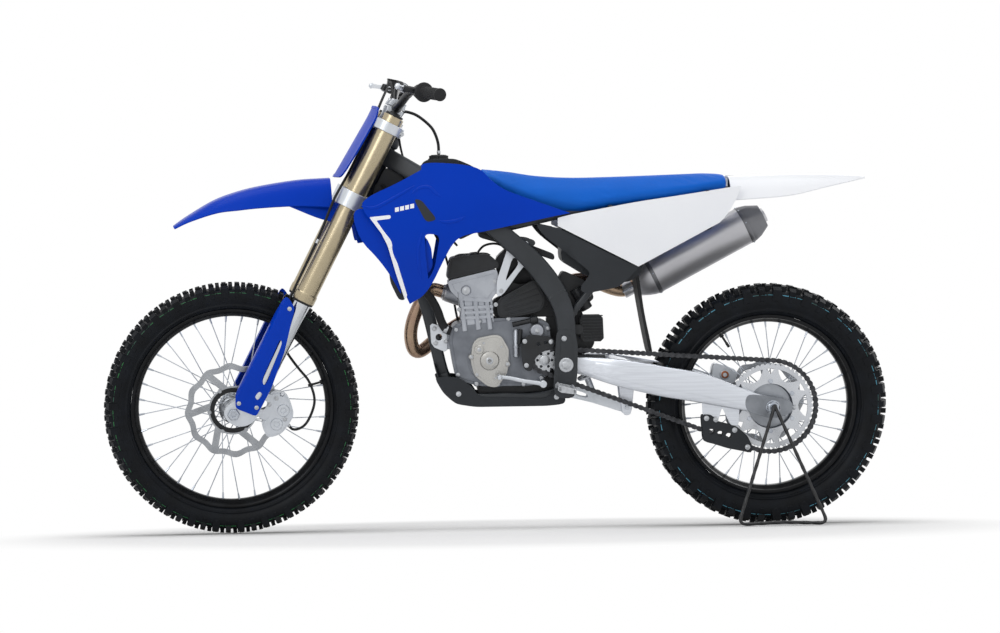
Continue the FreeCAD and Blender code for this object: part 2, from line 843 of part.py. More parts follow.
# Handlebar and what it carries
bar_corners = [fork_spot(ahead, rise, side * size.bar_width) for ahead, rise, side in BAR_CORNER_SHARES]
bar_end = bar_corners[0]
bar_inward = (bar_corners[1] - bar_end).normalize()


def handlebar():
    """A bent tube, thicker where the mounts grip it, with open ends."""
    half = tube(bar_corners + [bar_centre], size.bar_radius, ROD_SIDES, BAR_BEND_SHARE)
    half = half.cut(Part.makeCylinder(size.axle_bore_radius, size.grip_length / 2, bar_end, bar_inward))
    reach = LEFTWARD * ((BAR_MOUNT_SIDE_SHARE + BAR_MOUNT_WIDTH_SHARE / 2) * size.bar_width)
    thick = bar(bar_centre - reach, bar_centre + reach, size.bar_centre_radius)
    return feature("handlebar", half.fuse([mirrored(half), thick]).removeSplitter(), "steering")


handlebar()


def grips():
    """A sleeve with a flange on each end of the handlebar."""
    root = bar_end + bar_inward * size.grip_length
    flange = root - bar_inward * size.flange_thickness
    sleeve = bar(bar_end, root, size.grip_radius).fuse(bar(flange, root, size.grip_flange_radius))
    overrun = bar_inward * size.grip_length
    bore = bar(bar_end - overrun, root + overrun, size.bar_radius + size.seat_gap)
    return feature("grips", both_sides(sleeve.cut(bore).removeSplitter()), "steering")


grips()

LEVER_DROP_SHARE = 0.27
LEVER_END_SHARE = 0.16


def brake_cylinder_ends():
    """The brake cylinder's outer and inner ends beside the bar, on the left before mirroring."""
    ahead = (FORWARD - UPWARD * LEVER_DROP_SHARE).normalize()
    middle = bar_end + bar_inward * (size.grip_length + size.running_gap + size.perch_length / 2)
    centre = middle + ahead * (size.bar_radius + 2 * size.seat_gap + size.reservoir_radius)
    half = bar_inward * (size.reservoir_length / 2)
    return centre - half, centre + half


def hand_controls():
    """The clutch perch and lever on the left, the brake cylinder and lever on the right."""
    ahead = (FORWARD - UPWARD * LEVER_DROP_SHARE).normalize()
    start = bar_end + bar_inward * (size.grip_length + size.running_gap)
    stop = start + bar_inward * size.perch_length
    middle = (start + stop) / 2
    root = middle + ahead * size.lever_reach
    perch = bar(start, stop, size.grip_radius).fuse(strut(middle, root, size.grip_radius))
    overrun = bar_inward * size.grip_length
    perch = perch.cut(bar(start - overrun, stop + overrun, size.bar_radius + size.seat_gap))
    tip = bar_end + bar_inward * (LEVER_END_SHARE * size.grip_length) + ahead * size.lever_tip_reach
    lever = strut(root - ahead * (size.lever_width / 2), tip, size.lever_width)
    left = perch.fuse(lever)
    right = mirrored(left.fuse(bar(*brake_cylinder_ends(), size.reservoir_radius)))
    pair = Part.makeCompound([left.removeSplitter(), right.removeSplitter()])
    return feature("hand_controls", pair, "steering")


hand_controls()

# Number plate: a shield in front of the clamps, bent back at its sides
PLATE_SHARES = [(0.0, 1.026), (0.080, 1.030), (0.112, 0.990), (0.122, 0.880), (0.092, 0.786), (0.0, 0.776)]
PLATE_BEND_SHARES = [(1.05, 1.0), (0.84, 1.0), (0.0, 0.0)]
PLATE_DEPTH_SHARE = 0.015
PLATE_LEVEL_SHARES = [(0.760, 0.0146), (0.985, 0.0), (1.040, 0.0)]


def number_plate():
    """A bent sheet cut to the shield's outline."""
    half = max(side for side, rise in PLATE_SHARES) * size.fork_length
    depth = PLATE_DEPTH_SHARE * size.fork_length
    back = size.clamp_offset + clamp_ring_radius + size.seat_gap
    thick = FORWARD * size.plate_wall

    def section(level, inner):
        left = [Vector(inner + depth * (1 - bend), side * half, level) for side, bend in PLATE_BEND_SHARES]
        inside = left + [Vector(point.x, -point.y, point.z) for point in reversed(left[:-1])]
        return inside + [point + thick for point in reversed(inside)]

    bent = skinned([section(rise * size.fork_length, back + tilt * size.fork_length)
                    for rise, tilt in PLATE_LEVEL_SHARES])
    left = [fork_spot(0, rise, side * size.fork_length) for side, rise in PLATE_SHARES]
    right = [Vector(0, -point.y, point.z) for point in reversed(left[1:-1])]
    shield = face_of(left + right).extrude(FORWARD * (2 * back))
    return feature("number_plate", bent.common(shield), "steering")


number_plate()

# Front fender: sections across it, from its tip to the blade behind the lower clamp
FRONT_FENDER_SHARES = [
    # ahead, crest rise, half width, skirt drop, all in shares of the fork's length
    (0.474, 0.425, 0.040, 0.010),
    (0.447, 0.473, 0.066, 0.016),
    (0.399, 0.546, 0.080, 0.024),
    (0.353, 0.597, 0.084, 0.032),
    (0.293, 0.649, 0.082, 0.046),
    (0.200, 0.696, 0.076, 0.066),
    (0.090, 0.720, 0.070, 0.070),
    (-0.020, 0.720, 0.066, 0.040),
    (-0.070, 0.640, 0.060, 0.020),
]
ARCH_EDGE_SHARE = 0.70
ARCH_SLOPE_SHARE = 0.20


def arches(stations, wall):
    """A thin arch along a bent crest line, each section square to the line.

    A station is a point of the crest, the half width there and how far the skirts drop.
    """
    sections = []
    for index, (crest, half_width, drop) in enumerate(stations):
        before = stations[max(index - 1, 0)][0]
        after = stations[min(index + 1, len(stations) - 1)][0]
        down = LEFTWARD.cross(after - before).normalize()
        if down.z > 0:
            down = down * -1
        edge = half_width * ARCH_EDGE_SHARE
        slope = down * (drop * ARCH_SLOPE_SHARE)
        skirt = down * drop
        sections.append([
            crest - LEFTWARD * half_width + skirt,
            crest - LEFTWARD * edge + slope,
            crest,
            crest + LEFTWARD * edge + slope,
            crest + LEFTWARD * half_width + skirt,
            crest + LEFTWARD * (half_width - wall) + skirt + down * wall,
            crest + LEFTWARD * (edge - wall / 2) + slope + down * wall,
            crest + down * wall,
            crest - LEFTWARD * (edge - wall / 2) + slope + down * wall,
            crest - LEFTWARD * (half_width - wall) + skirt + down * wall,
        ])
    return skinned(sections)


def front_fender():
    """A long arch whose crest lies against the foot of the lower clamp."""
    stations = []
    for ahead, crest, half, drop in FRONT_FENDER_SHARES:
        point = fork_spot(ahead, crest)
        point.z = min(point.z, lower_clamp_base - size.seat_gap)
        stations.append((point, half * size.fork_length, drop * size.fork_length))
    return feature("front_fender", arches(stations, size.fender_wall), "steering")


front_fender()

FRONT_CALIPER_SHARES = [
    (-0.002, 0.105),
    (-0.055, 0.120),
    (-0.105, 0.070),
    (-0.095, 0.000),
    (-0.060, -0.030),
    (-0.020, 0.010),
]
CALIPER_BRACKET_SHARES = [(0.030, 0.080), (-0.030, 0.100), (-0.030, 0.015), (0.020, 0.030)]


def front_caliper():
    """A block behind the left leg that straddles the disc, with a bracket against the leg's foot."""
    disc_side = size.front_hub_length / 2 - size.disc_inset - size.disc_thickness / 2
    slot_half = size.disc_thickness / 2 + size.running_gap
    inboard = disc_side - slot_half - size.caliper_wall
    outboard = leg_inner_side - size.seat_gap
    bracket = slab(fork_spots(CALIPER_BRACKET_SHARES), disc_side + slot_half, outboard)
    block = slab(fork_spots(FRONT_CALIPER_SHARES), inboard, outboard).fuse(bracket)
    slot = bar(Vector(axle_lead, disc_side - slot_half, 0), Vector(axle_lead, disc_side + slot_half, 0),
               around_flats(size.front_disc_radius + size.running_gap, ROUND_SIDES), ROUND_SIDES)
    return feature("front_caliper", block.cut(slot).removeSplitter(), "steering")


front_caliper()

BRAKE_HOSE_SHARES = [
    # ahead, side and rise in shares of the fork's length, from the brake cylinder to the caliper
    (0.065, -0.101, 1.077),
    (0.065, -0.028, 0.985),
    (0.065, 0.034, 0.834),
    (0.078, 0.103, 0.756),
    (0.0795, 0.111, 0.697),
    (0.068, 0.110, 0.610),
    (0.068, 0.110, 0.336),
    (0.047, 0.068, 0.266),
    (-0.045, 0.074, 0.205),
    (-0.125, 0.074, 0.180),
    (-0.165, 0.070, 0.090),
]
HOSE_PORT_SHARE = 0.8


def brake_hose():
    """From the brake cylinder down behind the number plate, along the left leg, to the caliper."""
    inner_end = brake_cylinder_ends()[1] + bar_inward * size.seat_gap
    next_point = inner_end + bar_inward * size.lever_reach
    start = [Vector(point.x, -point.y, point.z) for point in (inner_end, next_point)]
    upper, lower = fork_spots(FRONT_CALIPER_SHARES[2:4])
    normal = LEFTWARD.cross(lower - upper).normalize()
    side = LEFTWARD * (BRAKE_HOSE_SHARES[-1][1] * size.fork_length)
    end = (upper + lower) / 2 + side + normal * size.seat_gap
    points = start + [fork_spot(ahead, rise, side_share * size.fork_length)
                      for ahead, side_share, rise in BRAKE_HOSE_SHARES]
    points += [end + normal * (HOSE_PORT_SHARE * size.lever_reach), end]
    return hose("brake_hose", points, size.hose_radius, "steering")


brake_hose()

# Frame
SPAR_SHARES = [
    # along, rise and side in shares of the wheelbase, at the spar's middle
    (0.214, 0.474, 0.013),
    (0.135, 0.426, 0.036),
    (0.061, 0.378, 0.058),
    (0.000, 0.328, 0.064),
    (-0.064, 0.268, 0.064),
    (-0.110, 0.196, 0.064),
    (-0.120, 0.116, 0.064),
    (-0.114, 0.030, 0.064),
]
DOWN_TUBE_SHARES = [(0.228, 0.420), (0.190, 0.330), (0.141, 0.201), (0.1135, 0.087), (0.104, 0.053)]
CRADLE_SHARES = [(0.104, 0.053), (0.092, 0.038), (0.060, 0.0225), (-0.060, 0.021), (-0.112, 0.032)]
CRADLE_SIDE_SHARES = [0.010, 0.033, 0.033, 0.033, 0.033]
LOW_CROSS_SHARES = (-0.114, 0.036)
SHOCK_CROSS_SHARES = (-0.088, 0.250)
TANK_CROSS_SHARES = (0.060, 0.363)
PIVOT_SHARES = (-0.1165, 0.0845)
pivot_point = spot(*PIVOT_SHARES)
spar_side = across(SPAR_SHARES[3][2])
spar_inner_side = spar_side - size.spar_width / 2
spar_foot_side = across(SPAR_SHARES[-1][2]) + size.spar_width / 2


def beam(points, height, width):
    """A box section through points, each face square to the run."""
    sections = []
    for index, point in enumerate(points):
        before = points[max(index - 1, 0)]
        after = points[min(index + 1, len(points) - 1)]
        run = after - before
        flat = Vector(run.x, 0, run.z).normalize()
        up = Vector(-flat.z, 0, flat.x) * (height / 2)
        out = LEFTWARD * (width / 2)
        sections.append([point - up - out, point + up - out, point + up + out, point - up + out])
    return skinned(sections)


def cross_tube(shares, side, radius):
    """A round tube straight across the bike."""
    along, rise = shares
    return bar(spot(along, rise, -side), spot(along, rise, side), radius)


def frame():
    """Head tube, two perimeter spars, a down tube, two cradle rails and three cross tubes."""
    head_base = lower_clamp_top + 2 * size.seat_gap
    head_top = upper_clamp_base - 2 * size.seat_gap
    head_foot = fork_frame.multVec(UPWARD * head_base)
    head_peak = fork_frame.multVec(UPWARD * head_top)
    head = bar(head_foot, head_peak, size.head_tube_radius, ROUND_SIDES)
    spar = beam([spot(along, rise, across(side)) for along, rise, side in SPAR_SHARES],
                size.spar_height, size.spar_width)
    down = beam(spots(DOWN_TUBE_SHARES), size.down_tube_width, size.down_tube_width)
    rail_points = [spot(along, rise, across(side))
                   for (along, rise), side in zip(CRADLE_SHARES, CRADLE_SIDE_SHARES)]
    rail = beam(rail_points, size.down_tube_width, size.cradle_tube_width)
    pieces = [spar, mirrored(spar), down, rail, mirrored(rail)]
    for shares in (LOW_CROSS_SHARES, SHOCK_CROSS_SHARES, TANK_CROSS_SHARES):
        pieces.append(cross_tube(shares, spar_inner_side, size.cross_tube_radius))
    bore = bar(fork_foot, head_peak, around_flats(size.stem_radius + size.axle_clearance))
    pin_hole = bar(pivot_point - LEFTWARD * spar_side * 2, pivot_point + LEFTWARD * spar_side * 2,
                   around_flats(size.pivot_pin_radius + size.seat_gap))
    whole = head.fuse(pieces).cut([bore, pin_hole])
    return feature("frame", whole.removeSplitter())


frame()

SUBFRAME_RAIL_SHARES = [
    (-0.012, 0.338),
    (-0.130, 0.3642),
    (-0.210, 0.3742),
    (-0.351, 0.3942),
    (-0.418, 0.4030),
]
SUBFRAME_STRUT_SHARES = [(-0.126, 0.172), (-0.300, 0.3865)]
FENDER_POST_SHARES = (-0.434, 0.4030)
SIDE_SPACER_SHARES = [(-0.200, 0.373), (-0.380, 0.398)]
COVER_SPACER_SHARES = [(-0.200, 0.2632)]
HANGER_SHARES = [(-0.386, 0.399), (-0.406, 0.402)]
RAIL_BEND_SHARE = 0.10
subframe_side = spar_inner_side - size.seat_gap - size.rail_radius

# Plastics: each panel is a bent sheet cut to its outline in the side view
SHROUD_OUTLINE_SHARES = [
    (0.258, 0.380),
    (0.244, 0.397),
    (0.190, 0.421),
    (0.145, 0.446),
    (0.144, 0.459),
    (0.072, 0.455),
    (0.036, 0.446),
    (0.020, 0.427),
    (-0.004, 0.408),
    (-0.038, 0.396),
    (-0.126, 0.363),
    (-0.100, 0.359),
    (0.038, 0.331),
    (0.068, 0.327),
    (0.086, 0.317),
    (0.102, 0.292),
    (0.137, 0.222),
    (0.170, 0.203),
    (0.180, 0.226),
    (0.200, 0.305),
    (0.218, 0.331),
]
SHROUD_SHEET_SHARES = [
    # along, then pairs of side and rise, all in shares of the wheelbase
    (-0.14, [(0.084, 0.20), (0.084, 0.36), (0.080, 0.40), (0.060, 0.47)]),
    (0.02, [(0.088, 0.20), (0.086, 0.34), (0.080, 0.40), (0.060, 0.47)]),
    (0.10, [(0.110, 0.20), (0.116, 0.31), (0.094, 0.40), (0.064, 0.47)]),
    (0.18, [(0.124, 0.20), (0.132, 0.32), (0.112, 0.40), (0.074, 0.47)]),
    (0.28, [(0.130, 0.20), (0.140, 0.34), (0.132, 0.40), (0.110, 0.47)]),
]
SIDE_PANEL_SHARES = [
    (-0.103, 0.355),
    (-0.127, 0.361),
    (-0.251, 0.383),
    (-0.326, 0.393),
    (-0.442, 0.411),
    (-0.436, 0.392),
    (-0.424, 0.372),
    (-0.413, 0.354),
    (-0.401, 0.343),
    (-0.251, 0.264),
    (-0.103, 0.340),
]
SIDE_SHEET_SHARES = [
    (-0.04, [(0.080, 0.20), (0.080, 0.25), (0.080, 0.34), (0.078, 0.42)]),
    (-0.14, [(0.092, 0.20), (0.093, 0.25), (0.086, 0.34), (0.080, 0.42)]),
    (-0.25, [(0.096, 0.20), (0.097, 0.25), (0.095, 0.34), (0.084, 0.42)]),
    (-0.45, [(0.076, 0.20), (0.076, 0.25), (0.080, 0.34), (0.074, 0.42)]),
]
LOWER_COVER_SHARES = [
    (-0.060, 0.346),
    (-0.103, 0.337),
    (-0.251, 0.261),
    (-0.217, 0.227),
    (-0.150, 0.215),
    (-0.142, 0.227),
    (-0.161, 0.248),
    (-0.160, 0.257),
    (-0.078, 0.322),
]


def sheet_along(sheet_shares, wall):
    """A bent sheet whose cross-sections are open lines of points, each with the wall's thickness."""
    sections = []
    for along, points in sheet_shares:
        outer = [spot(along, rise, across(side)) for side, rise in points]
        inner = [point - LEFTWARD * wall for point in reversed(outer)]
        sections.append(outer + inner)
    return skinned(sections)


def panel(outline_shares, sheet_shares):
    """A bent sheet cut to an outline."""
    cutter = slab(spots(outline_shares), 0, size.wheelbase)
    return sheet_along(sheet_shares, size.panel_wall).common(cutter)


def spacer(sheet_shares, shares, from_side, radius):
    """A short bar from a side offset out to just inside a bent sheet."""
    sections = []
    for along, points in sheet_shares:
        outer = [spot(along, rise, across(side) - size.panel_wall - size.seat_gap) for side, rise in points]
        inner = [Vector(point.x, 0, point.z) for point in reversed(outer)]
        sections.append(outer + inner)
    along, rise = shares
    long_bar = bar(spot(along, rise, from_side), spot(along, rise, size.wheelbase), radius)
    return long_bar.common(skinned(sections))


shroud = panel(SHROUD_OUTLINE_SHARES, SHROUD_SHEET_SHARES)
feature("shroud_left", shroud)
feature("shroud_right", mirrored(shroud))
side_panel = panel(SIDE_PANEL_SHARES, SIDE_SHEET_SHARES)
feature("side_panel_left", side_panel)
feature("side_panel_right", mirrored(side_panel))
feature("lower_covers", both_sides(panel(LOWER_COVER_SHARES, SIDE_SHEET_SHARES)))

REAR_FENDER_SHARES = [
    # along, crest rise, half width, skirt drop, all in shares of the wheelbase
    (-0.424, 0.4285, 0.066, 0.044),
    (-0.530, 0.432, 0.066, 0.040),
    (-0.603, 0.431, 0.058, 0.024),
    (-0.660, 0.429, 0.046, 0.010),
    (-0.682, 0.427, 0.034, 0.004),
]
rear_fender_stations = [(spot(along, crest), across(half), across(drop))
                        for along, crest, half, drop in REAR_FENDER_SHARES]
feature("rear_fender", arches(rear_fender_stations, size.fender_wall))

# Silencer, set out first because the subframe carries it
SILENCER_SHARES = [(-0.262, 0.222), (-0.508, 0.352)]
CAN_SHARES = [(0.0, 0.62), (0.12, 1.0), (0.88, 1.0), (1.0, 0.60)]
CAN_CORNER_SHARE = 0.5
CAN_SHOULDER_SHARE = 0.3
OUTLET_DEPTH_SHARE = 0.2
silencer_side = LEFTWARD * -size.silencer_offset
silencer_start, silencer_end = [point + silencer_side for point in spots(SILENCER_SHARES)]
silencer_run = (silencer_end - silencer_start).normalize()
silencer_up = Vector(silencer_run.z, 0, -silencer_run.x)


def can(spread):
    """A six-sided can with tapered ends, grown on all sides by the spread."""
    length = (silencer_end - silencer_start).Length
    sections = []
    for along_share, scale in CAN_SHARES:
        centre = silencer_start + silencer_run * (length * along_share)
        tall = silencer_up * (size.silencer_height / 2 * scale + spread)
        wide = LEFTWARD * (size.silencer_width / 2 * scale + spread)
        sections.append([
            centre + tall - wide * CAN_CORNER_SHARE,
            centre + tall + wide * CAN_CORNER_SHARE,
            centre + wide + tall * CAN_SHOULDER_SHARE,
            centre - tall + wide * CAN_CORNER_SHARE,
            centre - tall - wide * CAN_CORNER_SHARE,
            centre - wide + tall * CAN_SHOULDER_SHARE,
        ])
    return skinned(sections)


def silencer():
    """The can with its open outlet."""
    length = (silencer_end - silencer_start).Length
    start = silencer_end - silencer_run * (length * OUTLET_DEPTH_SHARE)
    outlet = Part.makeCylinder(size.outlet_radius, length, start, silencer_run)
    return feature("silencer", can(0).cut(outlet))


silencer()


def subframe():
    """Two upper rails, two struts, and the spacers and hangers that carry the plastics."""
    rail = tube([spot(along, rise, subframe_side) for along, rise in SUBFRAME_RAIL_SHARES],
                size.rail_radius, ROD_SIDES, RAIL_BEND_SHARE)
    low, high = [point + LEFTWARD * subframe_side for point in spots(SUBFRAME_STRUT_SHARES)]
    rails = [rail, bar(low, high, size.rail_radius)]
    for shares in SIDE_SPACER_SHARES:
        rails.append(spacer(SIDE_SHEET_SHARES, shares, subframe_side, size.spacer_radius))
    for shares in COVER_SPACER_SHARES:
        rails.append(spacer(SIDE_SHEET_SHARES, shares, subframe_side, size.spacer_radius))
    half = rails[0].fuse(rails[1:]).removeSplitter()
    rear_cross = cross_tube(SUBFRAME_RAIL_SHARES[-1], subframe_side, size.rail_radius)
    foot = spot(*FENDER_POST_SHARES)
    crest = rear_fender_stations[0][0]
    post = bar(foot, Vector(foot.x, 0, crest.z), size.spacer_radius)
    post = post.cut(arches(rear_fender_stations, size.fender_wall + size.seat_gap))
    hanger_top = spots(HANGER_SHARES)
    hanger_foot = [Vector(point.x, 0, silencer_start.z) for point in reversed(hanger_top)]
    hanger_side = -size.silencer_offset + size.silencer_width / 2 * CAN_CORNER_SHARE
    hanger = slab(hanger_top + hanger_foot, hanger_side, -subframe_side)
    hanger = hanger.cut(can(size.seat_gap))
    upper = max(hanger.Solids, key=lambda solid: solid.CenterOfMass.z)
    tongue = bar(spot(*SUBFRAME_RAIL_SHARES[-1]), foot - FORWARD * size.spacer_radius, size.spacer_radius)
    whole = half.fuse([mirrored(half), rear_cross, tongue, post, upper])
    return feature("subframe", whole.removeSplitter())


subframe()

# Engine
CASE_SHARES = [
    (0.098, 0.132),
    (0.088, 0.160),
    (0.010, 0.170),
    (-0.050, 0.172),
    (-0.090, 0.160),
    (-0.094, 0.070),
    (-0.060, 0.043),
    (0.040, 0.043),
    (0.084, 0.056),
    (0.090, 0.085),
]
CASE_LUG_SHARES = [(0.094, 0.142), (0.1075, 0.142), (0.1050, 0.112), (0.094, 0.112)]
CYLINDER_SHARES = [(0.070, 0.145), (0.005, 0.150), (0.000, 0.263), (0.098, 0.240)]
PORT_SHARES = (0.090, 0.213)
PORT_SIDE_SHARE = -0.026
PORT_LENGTH_SHARE = 0.010
VALVE_COVER_SHARES = [(0.098, 0.240), (0.000, 0.263), (0.016, 0.288), (0.090, 0.281)]
MOUNT_PLATE_SHARES = [(0.0995, 0.150), (0.132, 0.163), (0.129, 0.118), (0.0995, 0.105)]
IGNITION_SHARES = (0.023, 0.092)
CLUTCH_SHARES = (-0.030, 0.095)
COVER_SIDES = 8
case_side = size.crankcase_width / 2
case_left_side = case_side - size.cover_depth
lug_half = size.down_tube_width / 2
face_foot, face_head = spot(*CYLINDER_SHARES[0]), spot(*CYLINDER_SHARES[-1])
port_run = LEFTWARD.cross(face_head - face_foot).normalize()
port_end = spot(*PORT_SHARES, across(PORT_SIDE_SHARE)) + port_run * across(PORT_LENGTH_SHARE)


def engine():
    """Crankcase, cylinder and head, with the front lug and the exhaust port."""
    case = slab(spots(CASE_SHARES), -case_side, case_left_side)
    lug = slab(spots(CASE_LUG_SHARES), -lug_half, lug_half)
    half = size.cylinder_width / 2
    cylinder = slab(spots(CYLINDER_SHARES), -half, half)
    port = bar(port_end - port_run * across(2 * PORT_LENGTH_SHARE), port_end, size.header_radius)
    whole = case.fuse([lug, cylinder, port])
    return feature("engine", whole.removeSplitter())


engine()
raised = UPWARD * size.seat_gap
padded("valve_cover", [point + raised for point in spots(VALVE_COVER_SHARES)], [],
       size.cylinder_width / 2, "cylinder_width")


def covers():
    """The ignition cover on the left and the clutch cover on the right."""
    turn = FULL_TURN / COVER_SIDES / 2
    left = [spot(*IGNITION_SHARES) + point
            for point in ring_points(size.ignition_cover_radius, COVER_SIDES, turn)]
    right = [spot(*CLUTCH_SHARES) + point
             for point in ring_points(size.clutch_cover_radius, COVER_SIDES, turn)]
    padded("ignition_cover", left, [], case_left_side + size.seat_gap + size.cover_depth, "cover_depth")
    padded("clutch_cover", right, [], -case_side - size.seat_gap, "cover_depth")


covers()


def engine_mounts():
    """A plate on each side of the down tube and the case's front lug."""
    inner = lug_half + size.seat_gap
    plate = slab(spots(MOUNT_PLATE_SHARES), inner, inner + size.mount_wall)
    return feature("engine_mounts", both_sides(plate))


engine_mounts()

RIBBED_COVER_SHARES = [
    (0.008, 0.190),
    (0.004, 0.205),
    (-0.064, 0.2418),
    (-0.083, 0.203),
    (-0.074, 0.182),
    (-0.034, 0.172),
    (-0.012, 0.166),
    (0.008, 0.168),
]
RIBBED_COVER_SIDE_SHARES = [0.022, 0.039]
RIB_SHARES = [
    [(-0.012, 0.176), (-0.068, 0.190)],
    [(-0.008, 0.187), (-0.072, 0.205)],
    [(-0.006, 0.198), (-0.066, 0.219)],
]
RIB_WIDTH_SHARE = 0.004
GUARD_PLATE_SHARES = [
    (-0.0345, 0.112),
    (-0.0420, 0.136),
    (-0.0550, 0.141),
    (-0.0960, 0.134),
    (-0.0980, 0.116),
    (-0.0720, 0.108),
    (-0.0580, 0.092),
    (-0.0560, 0.072),
    (-0.0400, 0.074),
]
GUARD_FOOT_SHARES = [(-0.0350, 0.112), (-0.0420, 0.136), (-0.0470, 0.138), (-0.0470, 0.075), (-0.0400, 0.075)]


def side_covers():
    """A ribbed cover behind the cylinder, and a guard over the small sprocket."""
    inner, outer = [across(share) for share in RIBBED_COVER_SIDE_SHARES]
    cylinder = slab(spots(CYLINDER_SHARES), 0, size.cylinder_width)
    cylinder.translate(FORWARD * -size.seat_gap)
    case = slab(spots(CASE_SHARES), 0, case_left_side)
    case.translate(UPWARD * size.seat_gap)
    ribs = []
    for foot, head in RIB_SHARES:
        low, high = spot(*foot), spot(*head)
        step = UPWARD * across(RIB_WIDTH_SHARE)
        ribs.append(slab([low, high, high + step, low + step], outer, outer + size.rib_height))
    cover = slab(spots(RIBBED_COVER_SHARES), inner, outer).cut([cylinder, case]).fuse(ribs).removeSplitter()
    guard_side = size.chain_offset + size.chain_width / 2 + size.running_gap
    foot = slab(spots(GUARD_FOOT_SHARES), case_left_side + size.seat_gap, guard_side)
    plate = slab(spots(GUARD_PLATE_SHARES), guard_side, guard_side + size.guard_wall)
    return feature("side_covers", Part.makeCompound([cover, plate.fuse(foot).removeSplitter()]))


side_covers()

STAY_SHARES = [
    (0.009, 0.210),
    (-0.003, 0.213),
    (-0.036, 0.258),
    (-0.055, 0.278),
    (-0.054, 0.286),
    (-0.027, 0.306),
    (-0.016, 0.306),
    (0.008, 0.240),
]
STAY_HOLE_SHARES = [(-0.008, 0.235), (-0.036, 0.272), (-0.022, 0.284)]
STAY_BOLT_SHARES = [(-0.046, 0.2805), (-0.0215, 0.3000)]
ROUND_COVER_SHARES = (-0.066, 0.146)
STARTER_SHARES = [(-0.027, 0.098), (-0.027, 0.148)]


def engine_fittings():
    """Two stays from the head to the spars, a round cover and a small upright cylinder on the case."""
    side = size.cylinder_width / 2 + size.seat_gap
    stay = slab(spots(STAY_SHARES), side, side + size.stay_wall)
    stay = stay.cut(slab(spots(STAY_HOLE_SHARES), side, side + size.stay_wall))
    spar_sections = beam([spot(along, rise, across(share)) for along, rise, share in SPAR_SHARES],
                         size.spar_height + 2 * size.seat_gap, size.spar_width + 2 * size.seat_gap)
    bolts = []
    for shares in STAY_BOLT_SHARES:
        bolt = bar(spot(*shares, side), spot(*shares, spar_side), size.fitting_radius)
        bolts.append(bolt.cut(spar_sections))
    stay = stay.fuse([max(bolt.Solids, key=lambda solid: -solid.CenterOfMass.y) for bolt in bolts])
    case_face = case_left_side + size.seat_gap
    round_cover = bar(spot(*ROUND_COVER_SHARES, case_face),
                      spot(*ROUND_COVER_SHARES, case_face + size.round_cover_depth),
                      size.round_cover_radius, ROUND_SIDES)
    low, high = [point + LEFTWARD * (case_face + size.fitting_radius) for point in spots(STARTER_SHARES)]
    starter = bar(low, high, size.fitting_radius)
    pieces = both_sides(stay.removeSplitter()).Solids + [round_cover, starter]
    return feature("engine_fittings", Part.makeCompound(pieces))


engine_fittings()

REGULATOR_SHARES = [(-0.145, 0.124), (-0.145, 0.176), (-0.188, 0.176), (-0.190, 0.124)]
REGULATOR_EAR_SHARES = [(-0.118, 0.140), (-0.118, 0.156), (-0.150, 0.156), (-0.150, 0.140)]
REGULATOR_SIDE_SHARE = 0.036


def regulator():
    """A finned box behind the left spar, with an ear against the spar's inner face."""
    side = across(REGULATOR_SIDE_SHARE)
    box = slab(spots(REGULATOR_SHARES), side, spar_inner_side - size.seat_gap)
    ear_inner = spar_inner_side - size.seat_gap - size.stay_wall
    ear = slab(spots(REGULATOR_EAR_SHARES), ear_inner, spar_inner_side - size.seat_gap)
    return feature("regulator", box.fuse(ear).removeSplitter())


regulator()


def drive_sprocket():
    """The small toothed wheel on the output shaft, inside the chain."""
    tip = front_pitch_radius - size.chain_plate_height / 2 - size.axle_clearance
    teeth = int(size.front_sprocket_teeth)
    half = size.sprocket_thickness / 2
    outline = []
    for index in range(2 * teeth):
        radius = tip if index % 2 else tip * FRONT_TOOTH_ROOT_SHARE
        outline.append(drive_point + around(radius, 0, FULL_TURN * index / teeth / 2))
    wheel = slab(outline, size.chain_offset - half, size.chain_offset + half)
    shaft = bar(drive_point + LEFTWARD * (case_left_side + size.seat_gap),
                drive_point + LEFTWARD * (size.chain_offset + size.chain_width), size.axle_radius)
    return feature("drive_sprocket", wheel.fuse(shaft).removeSplitter())


drive_sprocket()

RADIATOR_SHARES = [(0.160, 0.225), (0.184, 0.225), (0.164, 0.388), (0.140, 0.388)]
RADIATOR_SIDE_SHARES = [0.030, 0.100]
RADIATOR_LUG_SHARES = [(0.171, 0.290), (0.178, 0.250)]
SHROUD_LUG_SHARES = [(0.156, 0.350), (0.168, 0.250)]


def radiators():
    """A core on each side of the down tube, with lugs to the tube and to the shroud."""
    inner, outer = [across(share) for share in RADIATOR_SIDE_SHARES]
    core = slab(spots(RADIATOR_SHARES), inner, outer)
    lugs = []
    for shares in RADIATOR_LUG_SHARES:
        along, rise = shares
        lugs.append(bar(spot(along, rise, size.down_tube_width / 2 + size.seat_gap), spot(along, rise, outer),
                        size.spacer_radius))
    for shares in SHROUD_LUG_SHARES:
        lugs.append(spacer(SHROUD_SHEET_SHARES, shares, inner, size.spacer_radius))
    return feature("radiators", both_sides(core.fuse(lugs).removeSplitter()))


radiators()

TANK_SHARES = [
    (0.148, 0.446),
    (0.138, 0.464),
    (0.082, 0.466),
    (0.045, 0.450),
    (0.020, 0.418),
    (0.010, 0.385),
    (0.034, 0.3722),
    (0.086, 0.3722),
    (0.120, 0.400),
]
TANK_CAP_SHARES = (0.111, 0.4655)
padded("fuel_tank", spots(TANK_SHARES), [], size.tank_width / 2, "tank_width")


def tank_cap():
    """A round cap on the filler neck."""
    base = spot(*TANK_CAP_SHARES) + UPWARD * size.seat_gap
    return feature("tank_cap", bar(base, base + UPWARD * size.cap_height, size.head_tube_radius))


tank_cap()

VENT_HOSE_SHARES = [(0.111, 0.506), (0.134, 0.538), (0.170, 0.556)]
VENT_HOSE_RISE_SHARES = [1.045, 0.985]


